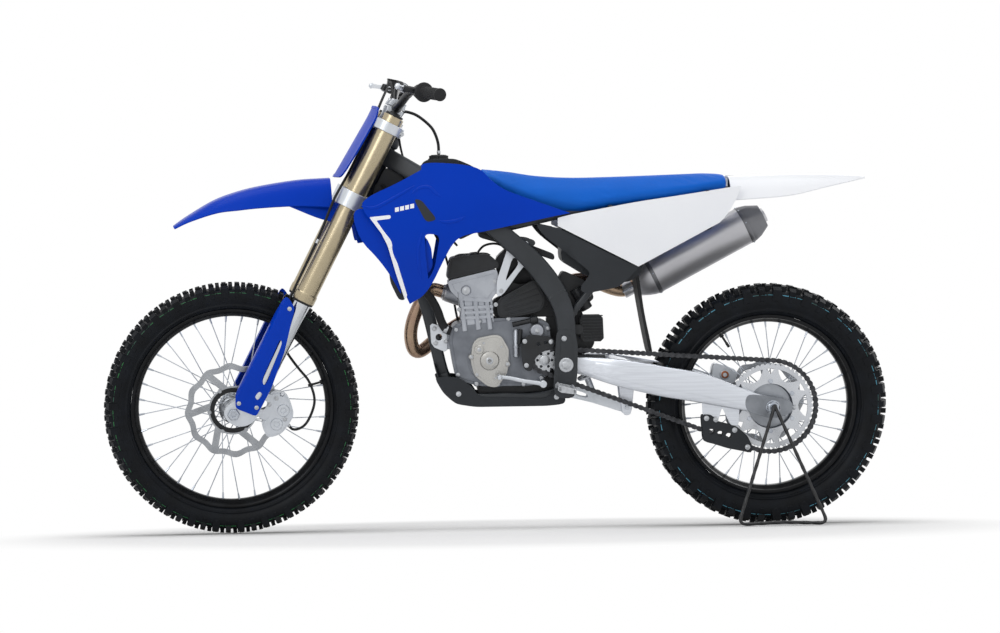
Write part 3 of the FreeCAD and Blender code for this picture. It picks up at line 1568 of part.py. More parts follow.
def vent_hose():
    """From the cap's top in an arc into the hole on the steering axis."""
    start = spot(*TANK_CAP_SHARES) + UPWARD * (size.cap_height + 2 * size.seat_gap)
    points = [start] + spots(VENT_HOSE_SHARES)
    points += [fork_frame.multVec(fork_spot(0, rise)) for rise in VENT_HOSE_RISE_SHARES]
    return hose("vent_hose", points, size.hose_radius, "chassis")


vent_hose()

RADIATOR_HOSE_SHARES = [(0.133, 0.236, 0.050), (0.118, 0.196, 0.046), (0.102, 0.168, 0.030)]
RADIATOR_PORT_SHARE = 0.10


def radiator_hoses():
    """The left hose from the radiator's foot to the case's front."""
    foot, head = spot(*RADIATOR_SHARES[0]), spot(*RADIATOR_SHARES[3])
    radiator_back = LEFTWARD.cross(head - foot).normalize() * -1
    start = foot + (head - foot) * RADIATOR_PORT_SHARE + radiator_back * size.seat_gap
    start = start + LEFTWARD * across(RADIATOR_HOSE_SHARES[0][2])
    low, high = spot(*CASE_SHARES[0]), spot(*CASE_SHARES[1])
    case_out = LEFTWARD.cross(high - low).normalize()
    end = (low + high) / 2 + case_out * size.seat_gap + LEFTWARD * across(RADIATOR_HOSE_SHARES[-1][2])
    points = [start, start + radiator_back * size.radiator_hose_radius]
    points += [spot(along, rise, across(side)) for along, rise, side in RADIATOR_HOSE_SHARES[1:-1]]
    points += [end + case_out * (2 * size.radiator_hose_radius), end]
    return hose("radiator_hoses", points, size.radiator_hose_radius, "chassis")


radiator_hoses()

SEAT_SHARES = [
    # along, top rise, foot rise, half width at the top and at the foot
    (0.034, 0.447, 0.436, 0.026, 0.036),
    (-0.017, 0.439, 0.405, 0.036, 0.052),
    (-0.067, 0.431, 0.385, 0.044, 0.060),
    (-0.130, 0.427, 0.372, 0.050, 0.066),
    (-0.210, 0.428, 0.382, 0.056, 0.072),
    (-0.351, 0.432, 0.402, 0.056, 0.070),
    (-0.410, 0.434, 0.411, 0.048, 0.060),
    (-0.419, 0.430, 0.414, 0.044, 0.056),
]
SEAT_BULGE_SHARE = 0.25


def rail_level(along):
    """The height of the subframe rail's middle at a place along the bike."""
    for (first, first_rise), (last, last_rise) in zip(SUBFRAME_RAIL_SHARES, SUBFRAME_RAIL_SHARES[1:]):
        if last <= along <= first:
            share = (along - first) / (last - first)
            return spot(0, first_rise + share * (last_rise - first_rise)).z
    return 0


def seat():
    """A long cushion that lies on the rails, narrow at its nose and broad behind."""
    sections = []
    for along, top, foot, top_half, foot_half in SEAT_SHARES:
        top_side = across(top_half)
        foot_side = across(foot_half)
        foot_level = max(spot(along, foot).z, rail_level(along) + size.rail_radius + 2 * size.seat_gap)
        crest = spot(along, top).z
        shoulder = crest - (crest - foot_level) * SEAT_BULGE_SHARE
        x = spot(along, top).x
        sections.append([
            Vector(x, -foot_side, foot_level),
            Vector(x, -foot_side, shoulder),
            Vector(x, -top_side, crest),
            Vector(x, top_side, crest),
            Vector(x, foot_side, shoulder),
            Vector(x, foot_side, foot_level),
        ])
    return feature("seat", skinned(sections))


seat()

AIRBOX_SHARES = [
    (-0.114, 0.3560),
    (-0.112, 0.275),
    (-0.160, 0.245),
    (-0.235, 0.232),
    (-0.262, 0.250),
    (-0.276, 0.382),
    (-0.210, 0.372),
    (-0.130, 0.362),
]
MUD_FLAP_SHARES = [(-0.2510, 0.2424), (-0.2570, 0.2464), (-0.2810, 0.105), (-0.2750, 0.104)]


def airbox():
    """The dark box between the subframe's rails."""
    half = subframe_side - size.rail_radius - size.seat_gap
    return feature("airbox", slab(spots(AIRBOX_SHARES), -half, half))


airbox()
padded("mud_flap", spots(MUD_FLAP_SHARES), [], size.mud_flap_width / 2, "mud_flap_width")

HEADER_SHARES = [
    # along, rise and side in shares of the wheelbase
    (0.171, 0.150, -0.030),
    (0.160, 0.092, -0.042),
    (0.112, 0.132, -0.066),
    (0.030, 0.180, -0.066),
    (-0.070, 0.205, -0.0385),
    (-0.112, 0.226, -0.0385),
    (-0.165, 0.240, -0.0735),
]
PORT_RUN_SHARE = 0.036
INLET_RUN_SHARE = 0.030


def header_pipe():
    """The exhaust pipe from the head's front, looped down and back along the right side."""
    start = port_end + port_run * size.seat_gap
    inlet = silencer_start - silencer_run * size.seat_gap
    points = [start, start + port_run * across(PORT_RUN_SHARE)]
    points += [spot(along, rise, across(side)) for along, rise, side in HEADER_SHARES]
    points += [inlet - silencer_run * across(INLET_RUN_SHARE), inlet]
    return feature("header_pipe", tube(points, size.header_radius))


header_pipe()

# Swingarm
SWINGARM_SHARES = [
    # along, middle rise and height in shares of the wheelbase, side as a share of the arm's offset
    (-0.097, 0.0865, 0.028, 0.67),
    (-0.150, 0.0800, 0.034, 0.70),
    (-0.215, 0.0680, 0.050, 0.96),
    (-0.300, 0.0500, 0.056, 1.00),
    (-0.367, 0.0370, 0.054, 1.00),
    (-0.466, 0.0090, 0.036, 1.00),
    (-0.530, -0.0030, 0.030, 1.00),
]
ARM_BOX_SHARES = [(-0.205, 0.094), (-0.250, 0.082), (-0.250, 0.046), (-0.205, 0.054)]
ARM_LUG_SHARES = [(-0.218, 0.056), (-0.250, 0.050), (-0.243, -0.014), (-0.226, -0.014)]
LINK_PIN_SHARES = (-0.2345, -0.002)
arm_inner_side = size.swingarm_offset - size.swingarm_wall / 2
arm_outer_side = size.swingarm_offset + size.swingarm_wall / 2
rear_axle_half = arm_outer_side + size.axle_overhang
link_plate_side = size.shock_eye_width / 2 + size.seat_gap
link_outer_side = link_plate_side + size.link_wall


def swingarm():
    """Two tapering arms with a barrel and pin at the pivot, a cross box and two link lugs."""
    wall = size.swingarm_wall
    sections = []
    for along, middle, height, side in SWINGARM_SHARES:
        low = spot(along, middle - height / 2, 0)
        high = spot(along, middle + height / 2, 0)
        inner = LEFTWARD * (side * size.swingarm_offset - wall / 2)
        outer = LEFTWARD * (side * size.swingarm_offset + wall / 2)
        sections.append([low + inner, high + inner, high + outer, low + outer])
    arm = skinned(sections)
    box = slab(spots(ARM_BOX_SHARES), -arm_inner_side, arm_inner_side)
    barrel_side = SWINGARM_SHARES[0][3] * size.swingarm_offset
    barrel = bar(pivot_point - LEFTWARD * barrel_side, pivot_point + LEFTWARD * barrel_side,
                 size.pivot_radius)
    pin_side = LEFTWARD * (spar_foot_side + size.axle_nut_width)
    pin = bar(pivot_point - pin_side, pivot_point + pin_side, size.pivot_pin_radius)
    heads = []
    for side in (-1, 1):
        heads.append(bar(pivot_point + LEFTWARD * (side * (spar_foot_side + size.seat_gap)),
                         pivot_point + pin_side * side, size.axle_nut_radius, WIRE_SIDES))
    lug_inner = link_outer_side + size.seat_gap
    lug = slab(spots(ARM_LUG_SHARES), lug_inner, lug_inner + size.link_wall)
    whole = arm.fuse([mirrored(arm), box, barrel, pin, lug, mirrored(lug)] + heads)
    reach = LEFTWARD * (2 * rear_axle_half)
    hole = bar(rear_axle_point - reach, rear_axle_point + reach, size.axle_radius + size.seat_gap)
    link_pin = spot(*LINK_PIN_SHARES)
    link_hole = bar(link_pin - reach, link_pin + reach, around_flats(size.link_pin_radius + size.seat_gap))
    return feature("swingarm", whole.cut([hole, link_hole]).removeSplitter())


swingarm()


def rear_axle():
    """An axle bored from both ends, whose left end takes the stand, with spacers and nuts."""
    half = rear_axle_half
    hub_end = size.rear_hub_length / 2 + size.seat_gap
    arm_inner = arm_inner_side - size.seat_gap
    arm_outer = arm_outer_side + size.seat_gap

    def at(side):
        return rear_axle_point + LEFTWARD * side

    whole = bar(at(-half), at(half), size.axle_radius)
    parts = []
    for side in (-1, 1):
        parts.append(bar(at(side * hub_end), at(side * arm_inner), size.axle_nut_radius))
        parts.append(bar(at(side * arm_outer), at(side * (half - size.axle_nut_width)),
                         size.axle_nut_radius, WIRE_SIDES))
    whole = whole.fuse(parts).removeSplitter()
    bores = [Part.makeCylinder(size.axle_bore_radius, half, at(-half), LEFTWARD),
             Part.makeCylinder(size.axle_bore_radius, 4 * size.axle_nut_width, at(half), LEFTWARD * -1)]
    return feature("rear_axle", whole.cut(bores))


rear_axle()

REAR_CALIPER_SHARES = [(-0.405, 0.076), (-0.452, 0.060), (-0.446, 0.034), (-0.400, 0.036)]


def rear_caliper():
    """A block on the right arm that straddles the rear disc."""
    disc_side = -(size.rear_hub_length / 2 - size.disc_inset - size.disc_thickness / 2)
    slot_half = size.disc_thickness / 2 + size.running_gap
    inboard = disc_side + slot_half + size.caliper_wall
    outboard = -(arm_inner_side - size.seat_gap)
    block = slab(spots(REAR_CALIPER_SHARES), outboard, inboard)
    slot = bar(rear_axle_point + LEFTWARD * (disc_side - slot_half),
               rear_axle_point + LEFTWARD * (disc_side + slot_half),
               around_flats(size.rear_disc_radius + size.running_gap, ROUND_SIDES), ROUND_SIDES)
    return feature("rear_caliper", block.cut(slot))


rear_caliper()

SLIDER_ALONG_SHARES = [-0.105, -0.150, -0.192]
GUIDE_SHARES = [(-0.372, -0.0620), (-0.462, -0.0860), (-0.464, -0.0200), (-0.428, -0.0090)]
GUIDE_TOP_SHARES = [-0.424, -0.372]


def arm_edge(along, upward):
    """The height of the arm's upper or lower edge at a place along the bike."""
    for first, last in zip(SWINGARM_SHARES, SWINGARM_SHARES[1:]):
        if last[0] <= along <= first[0]:
            share = (along - first[0]) / (last[0] - first[0])
            edges = [row[1] + upward * row[2] / 2 for row in (first, last)]
            return spot(0, edges[0] + share * (edges[1] - edges[0])).z
    return 0


def chain_slider():
    """A strip on the left arm under the chain's upper run, and the guide round its lower run."""
    foot = [Vector(across(along), 0, arm_edge(along, 1) + size.seat_gap) for along in SLIDER_ALONG_SHARES]
    top = [point + UPWARD * size.slider_wall for point in reversed(foot)]
    from_side = size.chain_offset - size.chain_width
    strip = slab(foot + top, from_side, size.chain_offset + size.chain_width / 2)
    guide_half = size.chain_width / 2 + size.running_gap / 2
    seats = [Vector(across(along), 0, arm_edge(along, -1) - size.seat_gap) for along in GUIDE_TOP_SHARES]
    block = slab(spots(GUIDE_SHARES) + seats, size.chain_offset - guide_half - size.guide_wall,
                 size.chain_offset + guide_half + size.guide_wall)
    slot = bar(rear_axle_point + LEFTWARD * (size.chain_offset - guide_half),
               rear_axle_point + LEFTWARD * (size.chain_offset + guide_half),
               around_flats(rear_pitch_radius + size.chain_plate_height, TREAD_PITCHES), TREAD_PITCHES)
    tunnel = chain_tunnel(guide_half)
    return feature("chain_slider", Part.makeCompound([strip, block.cut([slot, tunnel])]))


def chain_tunnel(half_width):
    """The room that the chain's lower run takes, with a gap above and below it."""
    rear, front = lower_run()
    reach = size.chain_plate_height / 2 + size.running_gap / 2
    down = LEFTWARD.cross(front - rear).normalize() * reach
    outline = [rear + down, front + down, front - down, rear - down]
    return slab(outline, size.chain_offset - half_width, size.chain_offset + half_width)


chain_slider()

SHOCK_FOOT_SHARES = (-0.176, 0.017)
SPRING_SHARES = [0.16, 0.80]
LINK_SHARES = [
    (-0.100, 0.040),
    (-0.112, 0.050),
    (-0.128, 0.044),
    (-0.176, 0.026),
    (-0.236, 0.008),
    (-0.242, -0.008),
    (-0.230, -0.012),
    (-0.170, 0.008),
    (-0.112, 0.022),
    (-0.100, 0.030),
]


def shock():
    """The damper with its spring, hung on the cross tube behind the cylinder."""
    top = spot(*SHOCK_CROSS_SHARES)
    foot = spot(*SHOCK_FOOT_SHARES)
    run = top - foot
    half = LEFTWARD * (size.shock_eye_width / 2)
    low, high = [foot + run * share for share in SPRING_SHARES]
    pieces = [bar(low, high, size.shock_spring_radius, ROUND_SIDES)]
    pieces.append(bar(top - half, top + half, size.shock_eye_radius))
    pieces.append(bar(foot - half, foot + half, size.shock_rod_radius))
    whole = bar(foot, top, size.shock_rod_radius).fuse(pieces)
    hole = bar(top - half * 2, top + half * 2, around_flats(size.cross_tube_radius + size.seat_gap))
    pin_hole = bar(foot - half * 2, foot + half * 2, around_flats(size.link_pin_radius + size.seat_gap))
    return feature("shock", whole.cut([hole, pin_hole]).removeSplitter())


shock()


def linkage():
    """Two plates from the frame's foot to the arm's lugs, with the pins for shock and lugs."""
    plate = slab(spots(LINK_SHARES), link_plate_side, link_outer_side)
    low_cross = spot(*LOW_CROSS_SHARES)
    reach = LEFTWARD * (2 * rear_axle_half)
    hole = bar(low_cross - reach, low_cross + reach, around_flats(size.cross_tube_radius + size.seat_gap))
    plates = plate.fuse(mirrored(plate)).cut(hole)
    pins = []
    for shares, side in ((SHOCK_FOOT_SHARES, link_outer_side),
                         (LINK_PIN_SHARES, link_outer_side + 2 * size.link_wall)):
        pins.append(cross_tube(shares, side, size.link_pin_radius))
    return feature("linkage", plates.fuse(pins).removeSplitter())


linkage()

PEG_SHARES = [(-0.096, 0.053), (-0.130, 0.047), (-0.130, 0.037), (-0.096, 0.041)]


def footpegs():
    """A flat peg on each side at the spar's foot."""
    inner = spar_foot_side + size.seat_gap
    return feature("footpegs", both_sides(slab(spots(PEG_SHARES), inner, inner + size.peg_length)))


footpegs()

SHIFT_SHARES = [(-0.074, 0.0500), (-0.040, 0.0560), (0.007, 0.0646)]
PEDAL_SHARES = [(-0.085, 0.0230), (-0.030, 0.0330), (0.024, 0.0560)]


def foot_controls():
    """The shift lever on the left and the brake pedal on the right, each on its shaft."""
    radius = size.pedal_radius
    side = case_side + size.cover_depth + size.running_gap + radius
    lever = tube([spot(along, rise, side) for along, rise in SHIFT_SHARES], radius)
    shaft = bar(spot(*SHIFT_SHARES[0], case_left_side + size.seat_gap),
                spot(*SHIFT_SHARES[0], side + radius), radius)
    toe = bar(spot(*SHIFT_SHARES[-1], side), spot(*SHIFT_SHARES[-1], side + size.toe_peg_length), radius)
    left = lever.fuse([shaft, toe]).removeSplitter()
    pedal = tube([spot(along, rise, -side) for along, rise in PEDAL_SHARES], radius)
    rail_outer = across(CRADLE_SIDE_SHARES[-1]) + size.cradle_tube_width / 2 + size.seat_gap
    shaft = bar(spot(*PEDAL_SHARES[0], -side - radius), spot(*PEDAL_SHARES[0], -rail_outer), radius)
    pad = bar(spot(*PEDAL_SHARES[-1], -side - size.toe_peg_length), spot(*PEDAL_SHARES[-1], -side), radius)
    right = pedal.fuse([shaft, pad]).removeSplitter()
    return feature("foot_controls", Part.makeCompound([left, right]))


foot_controls()


def beside(points, distance):
    """A side view line moved out square to itself, on the left hand of its run seen from the left."""
    normals = []
    for start, end in zip(points, points[1:]):
        run = (end - start).normalize()
        normals.append(Vector(-run.z, 0, run.x))
    moved = []
    for index, point in enumerate(points):
        before = normals[max(index - 1, 0)]
        after = normals[min(index, len(normals) - 1)]
        moved.append(point + (before + after) * (distance / (1 + before.dot(after))))
    return moved


def skid_plate():
    """A guard that wraps the cradle from the down tube to the rails' rear ends."""
    path = spots([DOWN_TUBE_SHARES[-2]] + CRADLE_SHARES)
    inside = beside(path, size.down_tube_width / 2 + size.seat_gap)
    outside = beside(path, size.down_tube_width / 2 + size.seat_gap + size.skid_wall)
    half = across(CRADLE_SIDE_SHARES[-1]) + size.cradle_tube_width / 2
    return feature("skid_plate", slab(inside + list(reversed(outside)), -half, half))


skid_plate()

# Stance: the whole bike leans to the left about the ground line and settles on its tyres
lean = Placement(Vector(), Rotation(FORWARD, -size.lean_angle))
front_wheel_frame = fork_frame.multiply(steer).multiply(Placement(Vector(axle_lead, 0, 0), Rotation()))
group_frames = {
    "chassis": Placement(),
    "steering": fork_frame.multiply(steer),
    "front_wheel": front_wheel_frame,
    "rear_wheel": Placement(rear_axle_point, Rotation()),
}


def lowest(label, placement):
    """The height of a piece's lowest point under a placement."""
    shape = nodes[label][0].Shape.copy()
    shape.Placement = placement
    return min(vertex.Z for vertex in shape.Vertexes)


doc.recompute()
front_low = lowest("front_tyre", lean.multiply(group_frames["front_wheel"]))
rear_low = lowest("rear_tyre", lean.multiply(group_frames["rear_wheel"]))
nose_drop = math.degrees(math.atan2(front_low - rear_low, size.wheelbase))
settle = Placement(Vector(), Rotation(LEFTWARD, nose_drop))
front_low = lowest("front_tyre", settle.multiply(lean).multiply(group_frames["front_wheel"]))
rear_low = lowest("rear_tyre", settle.multiply(lean).multiply(group_frames["rear_wheel"]))
bar_height = front_hub_height + bar_centre.z * math.cos(rake)
side_shift = bar_height * math.sin(math.radians(size.lean_angle))
rise = -(front_low + rear_low) / 2
stance = Placement(Vector(0, -side_shift, rise), Rotation()).multiply(settle).multiply(lean)
for piece, group in nodes.values():
    piece.Placement = stance.multiply(group_frames[group])

# Stand: a bent rod whose peg sits in the rear axle's left end, on the floor at both feet
STAND_FOOT_SHARES = [0.080, -0.084]


def stand():
    """A triangle of rod, with its base raised in the middle and a peg at its peak."""
    radius = size.stand_rod_radius
    axle_end = rear_axle_point + LEFTWARD * rear_axle_half
    outward = LEFTWARD * size.axle_nut_width
    hook = stance.multVec(axle_end + outward)
    inside = stance.multVec(axle_end - outward * 2)
    foot_side = hook.y + size.stand_foot_reach
    front_foot, rear_foot = [Vector(hook.x + share * size.wheelbase, foot_side, radius)
                             for share in STAND_FOOT_SHARES]
    middle = (front_foot + rear_foot) / 2 + UPWARD * radius
    peak = hook + UPWARD * radius
    pieces = [bar(front_foot, peak, radius), bar(rear_foot, peak, radius)]
    pieces += [bar(front_foot, middle, radius), bar(rear_foot, middle, radius)]
    for point in (front_foot, rear_foot, peak):
        pieces.append(bar(point - UPWARD * radius, point + UPWARD * radius, radius))
    peg = bar(inside, hook, size.axle_bore_radius - size.seat_gap)
    return feature("stand", peg.fuse(pieces).removeSplitter(), "floor")


stand()

# Checks before anything is written
doc.recompute()
for item in doc.Objects:
    for state in ("Invalid", "Error"):
        if state in item.State:
            raise RuntimeError(f"{item.Label} is {state}")
faulty = [label for label, (piece, group) in nodes.items()
          if piece.Shape.isNull() or not piece.Shape.isValid() or not piece.Shape.Solids]
if faulty:
    raise RuntimeError(f"no valid solid: {faulty}")
for label, (piece, group) in nodes.items():
    piece.Shape.exportStep(f"parts/{label}.step")
print(len(nodes), "pieces, lowest tyre points", round(front_low + rise, 3), round(rear_low + rise, 3))
print("side shift", round(side_shift, 2), "nose drop", round(nose_drop, 4), "rise", round(rise, 3))
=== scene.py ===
import json
import math
import bmesh
import bpy
import numpy as np
from mathutils import Matrix, Vector
from mathutils.geometry import delaunay_2d_cdt


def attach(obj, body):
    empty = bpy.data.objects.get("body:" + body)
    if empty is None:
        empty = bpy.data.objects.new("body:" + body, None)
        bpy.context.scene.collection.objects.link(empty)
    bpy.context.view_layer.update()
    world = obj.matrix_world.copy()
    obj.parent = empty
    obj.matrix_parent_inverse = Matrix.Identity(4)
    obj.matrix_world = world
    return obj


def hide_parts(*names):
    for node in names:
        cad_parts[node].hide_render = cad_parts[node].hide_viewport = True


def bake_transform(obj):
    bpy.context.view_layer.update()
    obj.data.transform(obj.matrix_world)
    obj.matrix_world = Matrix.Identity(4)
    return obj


# A motocross bike on a triangle stand, leaning to its left with its handlebar turned a little. The
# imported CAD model's frame gives every joint.
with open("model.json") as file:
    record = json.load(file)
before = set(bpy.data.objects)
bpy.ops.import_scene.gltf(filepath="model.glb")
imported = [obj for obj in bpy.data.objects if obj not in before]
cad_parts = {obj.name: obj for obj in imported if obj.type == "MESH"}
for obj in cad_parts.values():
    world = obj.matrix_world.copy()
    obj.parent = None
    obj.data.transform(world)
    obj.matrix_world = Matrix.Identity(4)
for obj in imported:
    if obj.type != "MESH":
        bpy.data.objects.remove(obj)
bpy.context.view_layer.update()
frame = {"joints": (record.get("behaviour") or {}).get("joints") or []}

# Where the pieces go. Each piece is worked out in millimetres on an upright bike with its wheel
# straight: x forward, y to the rider's left, z up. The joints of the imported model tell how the
# real bike leans and steers, and carry each piece to its place. Only the stand is level.
joints = {joint["name"]: joint for joint in frame["joints"]}
RAKE = math.radians(27)


def axes_of(wheel, turn):
    """Forward, left and up: left is the wheel's axis, ahead is left x the steering axis, and both
    that and the steering axis are turned about left by the turn."""
    rising = np.array(joints["steering"]["axis"])
    left = np.array(joints[wheel]["axis"])
    ahead = np.cross(left, rising)
    return np.array([
        ahead * math.cos(turn) - rising * math.sin(turn),
        left,
        ahead * math.sin(turn) + rising * math.cos(turn),
    ])


REAR_AXLE = np.array([-742.5, 0, 338])
GROUPS = {
    "chassis": ("rear_wheel_spin", axes_of("rear_wheel_spin", RAKE), REAR_AXLE),
    "rear_wheel": ("rear_wheel_spin", axes_of("rear_wheel_spin", RAKE), np.zeros(3)),
    "steering": ("steering", axes_of("front_wheel_spin", 0), np.zeros(3)),
    "front_wheel": ("front_wheel_spin", axes_of("front_wheel_spin", 0), np.zeros(3)),
    "stand": ("rear_wheel_spin", np.eye(3), np.array(joints["rear_wheel_spin"]["pos_m"]) * 1000),
}


def placed(points, group):
    """Upright millimetres to the leaning bike's metres: pivot + axes x (point - the pivot's place)."""
    joint, axes, home = GROUPS[group]
    return np.array(joints[joint]["pos_m"]) + (np.asarray(points, float) - home) / 1000 @ axes


# Camera and light: a long lens low down at the bike's left, soft boxes over a white floor. The
# photograph was taken from about wheel height and 5.9 m away.
def put(name, data):
    """A new object with this data, linked into the scene."""
    made = bpy.data.objects.new(name, data)
    bpy.context.collection.objects.link(made)
    return made


YAW, PITCH, ROLL = (math.radians(angle) for angle in (-3.09, 4.29, 0.97))
CAMERA_PLACE = (0.3135, 5.706, 0.1528)
toward, across, top = Vector((0, -1, 0)), Vector((-1, 0, 0)), Vector((0, 0, 1))
turn = Matrix.Rotation(YAW, 3, "Z")
toward, across = turn @ toward, turn @ across
turn = Matrix.Rotation(PITCH, 3, across)
toward, top = turn @ toward, turn @ top
turn = Matrix.Rotation(ROLL, 3, toward)
across, top = turn @ across, turn @ top
lens = bpy.data.cameras.new("camera")
lens.sensor_width, lens.lens = 36, 75.45
camera = put("camera", lens)
facing = Matrix((across, top, -toward)).transposed().to_4x4()
camera.matrix_world = Matrix.Translation(CAMERA_PLACE) @ facing
bpy.context.scene.camera = camera
bpy.context.scene.view_settings.view_transform = "Standard"


def to_linear(code):
    """sRGB hex to linear: c / 12.92 below 0.04045, else ((c + 0.055) / 1.055) to the power 2.4."""
    srgb = np.array([int(code[start:start + 2], 16) for start in (1, 3, 5)]) / 255
    linear = np.where(srgb <= 0.04045, srgb / 12.92, ((srgb + 0.055) / 1.055) ** 2.4)
    return (*(float(value) for value in linear), 1.0)


def add(tree, kind, inputs=None, **settings):
    """Adds one node, sets its properties, and sets or links each of its inputs."""
    made = tree.nodes.new("ShaderNode" + kind)
    for key, value in settings.items():
        setattr(made, key, value)
    for key, value in (inputs or {}).items():
        if isinstance(value, bpy.types.NodeSocket):
            tree.links.new(value, made.inputs[key])
        else:
            made.inputs[key].default_value = value
    return made


def soft_box(name, place, aim, wide, tall, watts):
    """A square lamp at a place, turned to face its aim."""
    lamp = bpy.data.lights.new(name, "AREA")
    lamp.shape = "RECTANGLE"
    lamp.size, lamp.size_y, lamp.energy = wide, tall, watts
    facing = (Vector(aim) - Vector(place)).to_track_quat("-Z", "Y")
    put(name, lamp).matrix_world = Matrix.Translation(place) @ facing.to_matrix().to_4x4()


soft_box("box_over", (0.2, 0.9, 4.2), (0, 0, 0.5), 4.5, 2.4, 70)
soft_box("box_front", (2.6, 4.2, 2.6), (0, 0, 0.6), 2.6, 2.0, 62)
soft_box("box_behind", (-2.6, -3.6, 2.8), (0, 0, 0.6), 3.0, 2.0, 40)


def seen_rays(tree, *others):
    """One for rays of the camera and of gloss, and of the other kinds named, and else nought."""
    rays = add(tree, "LightPath").outputs
    seen = rays["Is Camera Ray"]
    for kind in ("Is Glossy Ray", *others):
        seen = add(tree, "Math", {0: seen, 1: rays[kind]}, operation="MAXIMUM").outputs[0]
    return seen


WHITE = (1, 1, 1, 1)
SKY_FILL = 0.42
world = bpy.data.worlds.new("studio")
world.use_nodes = True
bpy.context.scene.world = world
sky = world.node_tree
seen = seen_rays(sky, "Is Transmission Ray")
level = add(sky, "MapRange", {"Value": seen, "To Min": SKY_FILL, "To Max": 1.0})
sky.links.new(level.outputs["Result"], sky.nodes["Background"].inputs["Strength"])
sky.nodes["Background"].inputs["Color"].default_value = WHITE
FLOOR_REACH, PAPER_FROM, PAPER_TO = 6.0, 1.0, 1.5
PAPER_LIFT, SHADE_REACH, SHADE_POWER = 0.1, 0.32, 1.6
PAPER_GREY, SHADED_GREY = (0.86, 0.86, 0.86, 1), (0.12, 0.12, 0.12, 1)
floor_mesh = bpy.data.meshes.new("floor")
corners = [(x * FLOOR_REACH, y * FLOOR_REACH, 0) for x, y in ((-1, -1), (1, -1), (1, 1), (-1, 1))]
floor_mesh.from_pydata(corners, [], [(0, 1, 2, 3)])
floor = put("floor", floor_mesh)
# Matt paper: a painted shadow darkens it under the bike, and it fades to pure white around it.
paper = bpy.data.materials.new("white_studio_paper")
paper.use_nodes = True
sheet = paper.node_tree
sheet.nodes.clear()
place = add(sheet, "TexCoord").outputs["Object"]
distance = add(sheet, "VectorMath", {0: place}, operation="LENGTH").outputs["Value"]
span = {"Value": distance, "From Min": PAPER_FROM, "From Max": PAPER_TO}
fade = add(sheet, "MapRange", span, interpolation_type="SMOOTHSTEP").outputs["Result"]
lift = add(sheet, "Math", {0: seen_rays(sheet), 1: PAPER_LIFT}, operation="MULTIPLY").outputs[0]
glow = add(sheet, "Emission", {"Color": WHITE, "Strength": lift}).outputs[0]
# Ambient occlusion mixes the paper's colour down to a dark grey near the bike: painted contact shadow on top of the
# lamps' real shadow.
near = add(sheet, "AmbientOcclusion", {"Distance": SHADE_REACH}, samples=8).outputs["AO"]
near = add(sheet, "Math", {0: near, 1: SHADE_POWER}, operation="POWER").outputs[0]
matt = add(sheet, "MixRGB", {"Fac": near, "Color1": SHADED_GREY, "Color2": PAPER_GREY}).outputs[0]
matt = add(sheet, "BsdfDiffuse", {"Color": matt}).outputs[0]
lit = add(sheet, "AddShader", {0: matt, 1: glow}).outputs[0]
white = add(sheet, "Emission", {"Color": WHITE, "Strength": 1.0}).outputs[0]
blend = add(sheet, "MixShader", {0: fade, 1: lit, 2: white}).outputs[0]
add(sheet, "OutputMaterial", {"Surface": blend})
floor.data.materials.append(paper)

# Tyres: knobbly off-road tyres, 80/100-21 in front and 110/90-19 behind. A rounded carcass of
# moulded black rubber carries rows of square lugs, and a thin coloured line marks the tread's edge.
def surface(name, slot, colour, worn, rough, metal=0.0, grain=1.0, depth=0.05, patch=60.0,
            stretch=(1, 1, 1), **constants):
    """One finish and its record slot. The colour drifts to the worn colour in soft patches of this
    many millimetres; fine grain, in millimetres, moves the roughness and lifts the surface by its
    depth. Real grain is finer than a pixel, so it is drawn about a millimetre wide to show."""
    made = bpy.data.materials.new(name)
    made.use_nodes = True
    tree = made.node_tree
    shader = tree.nodes["Principled BSDF"]
    coordinates = add(tree, "TexCoord").outputs["Object"]
    drawn = add(tree, "Mapping", {"Vector": coordinates, "Scale": stretch}).outputs[0]
    patches = add(tree, "TexNoise", {"Vector": drawn, "Scale": 1000 / patch, "Detail": 3.0})
    drift = add(tree, "MapRange", {"Value": patches.outputs["Fac"], "From Min": 0.38, "From Max": 0.68})
    tint = add(tree, "MixRGB", {"Fac": drift.outputs["Result"], "Color1": to_linear(colour),
                                "Color2": to_linear(worn)})
    fine = add(tree, "TexNoise", {"Vector": drawn, "Scale": 1000 / grain, "Detail": 2.0}).outputs["Fac"]
    gloss = add(tree, "MapRange", {"Value": fine, "From Min": 0.3, "From Max": 0.7,
                                   "To Min": rough * 0.85, "To Max": min(1, rough * 1.15)})
    relief = add(tree, "Bump", {"Height": fine, "Distance": depth / 1000, "Strength": 0.6})
    tree.links.new(tint.outputs[0], shader.inputs["Base Color"])
    tree.links.new(gloss.outputs["Result"], shader.inputs["Roughness"])
    tree.links.new(relief.outputs[0], shader.inputs["Normal"])
    shader.inputs["Metallic"].default_value = metal
    for key, value in constants.items():
        shader.inputs[key.replace("_", " ")].default_value = value
    return made, slot


def grid(rows, columns, wrap_rows=False, wrap_columns=False):
    """Quads between neighbours on a grid of points; a wrapped direction joins its last to its first."""
    row = np.arange(rows if wrap_rows else rows - 1)[:, None]
    column = np.arange(columns if wrap_columns else columns - 1)[None, :]
    after, beside = (row + 1) % rows, (column + 1) % columns
    return np.stack([row * columns + column, row * columns + beside,
                     after * columns + beside, after * columns + column], -1).reshape(-1, 4).tolist()


def tube_faces(rows, columns):
    """The faces of rings of points joined to a closed tube: its wall and its two ends."""
    ends = [list(range(columns)), [(rows - 1) * columns + index for index in range(columns)]]
    return grid(rows, columns, False, True) + ends


def shifted(faces, step):
    """Faces whose corners are numbered on by a step."""
    return [[corner + step for corner in face] for face in faces]


def dressed(made, finish, hides):
    """Gives a piece its material and hides the CAD node it stands for; the finish's record slot is not used."""
    material, slot = finish
    made.data.materials.clear()
    made.data.materials.append(material)
    if hides:
        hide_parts(hides)
    return made


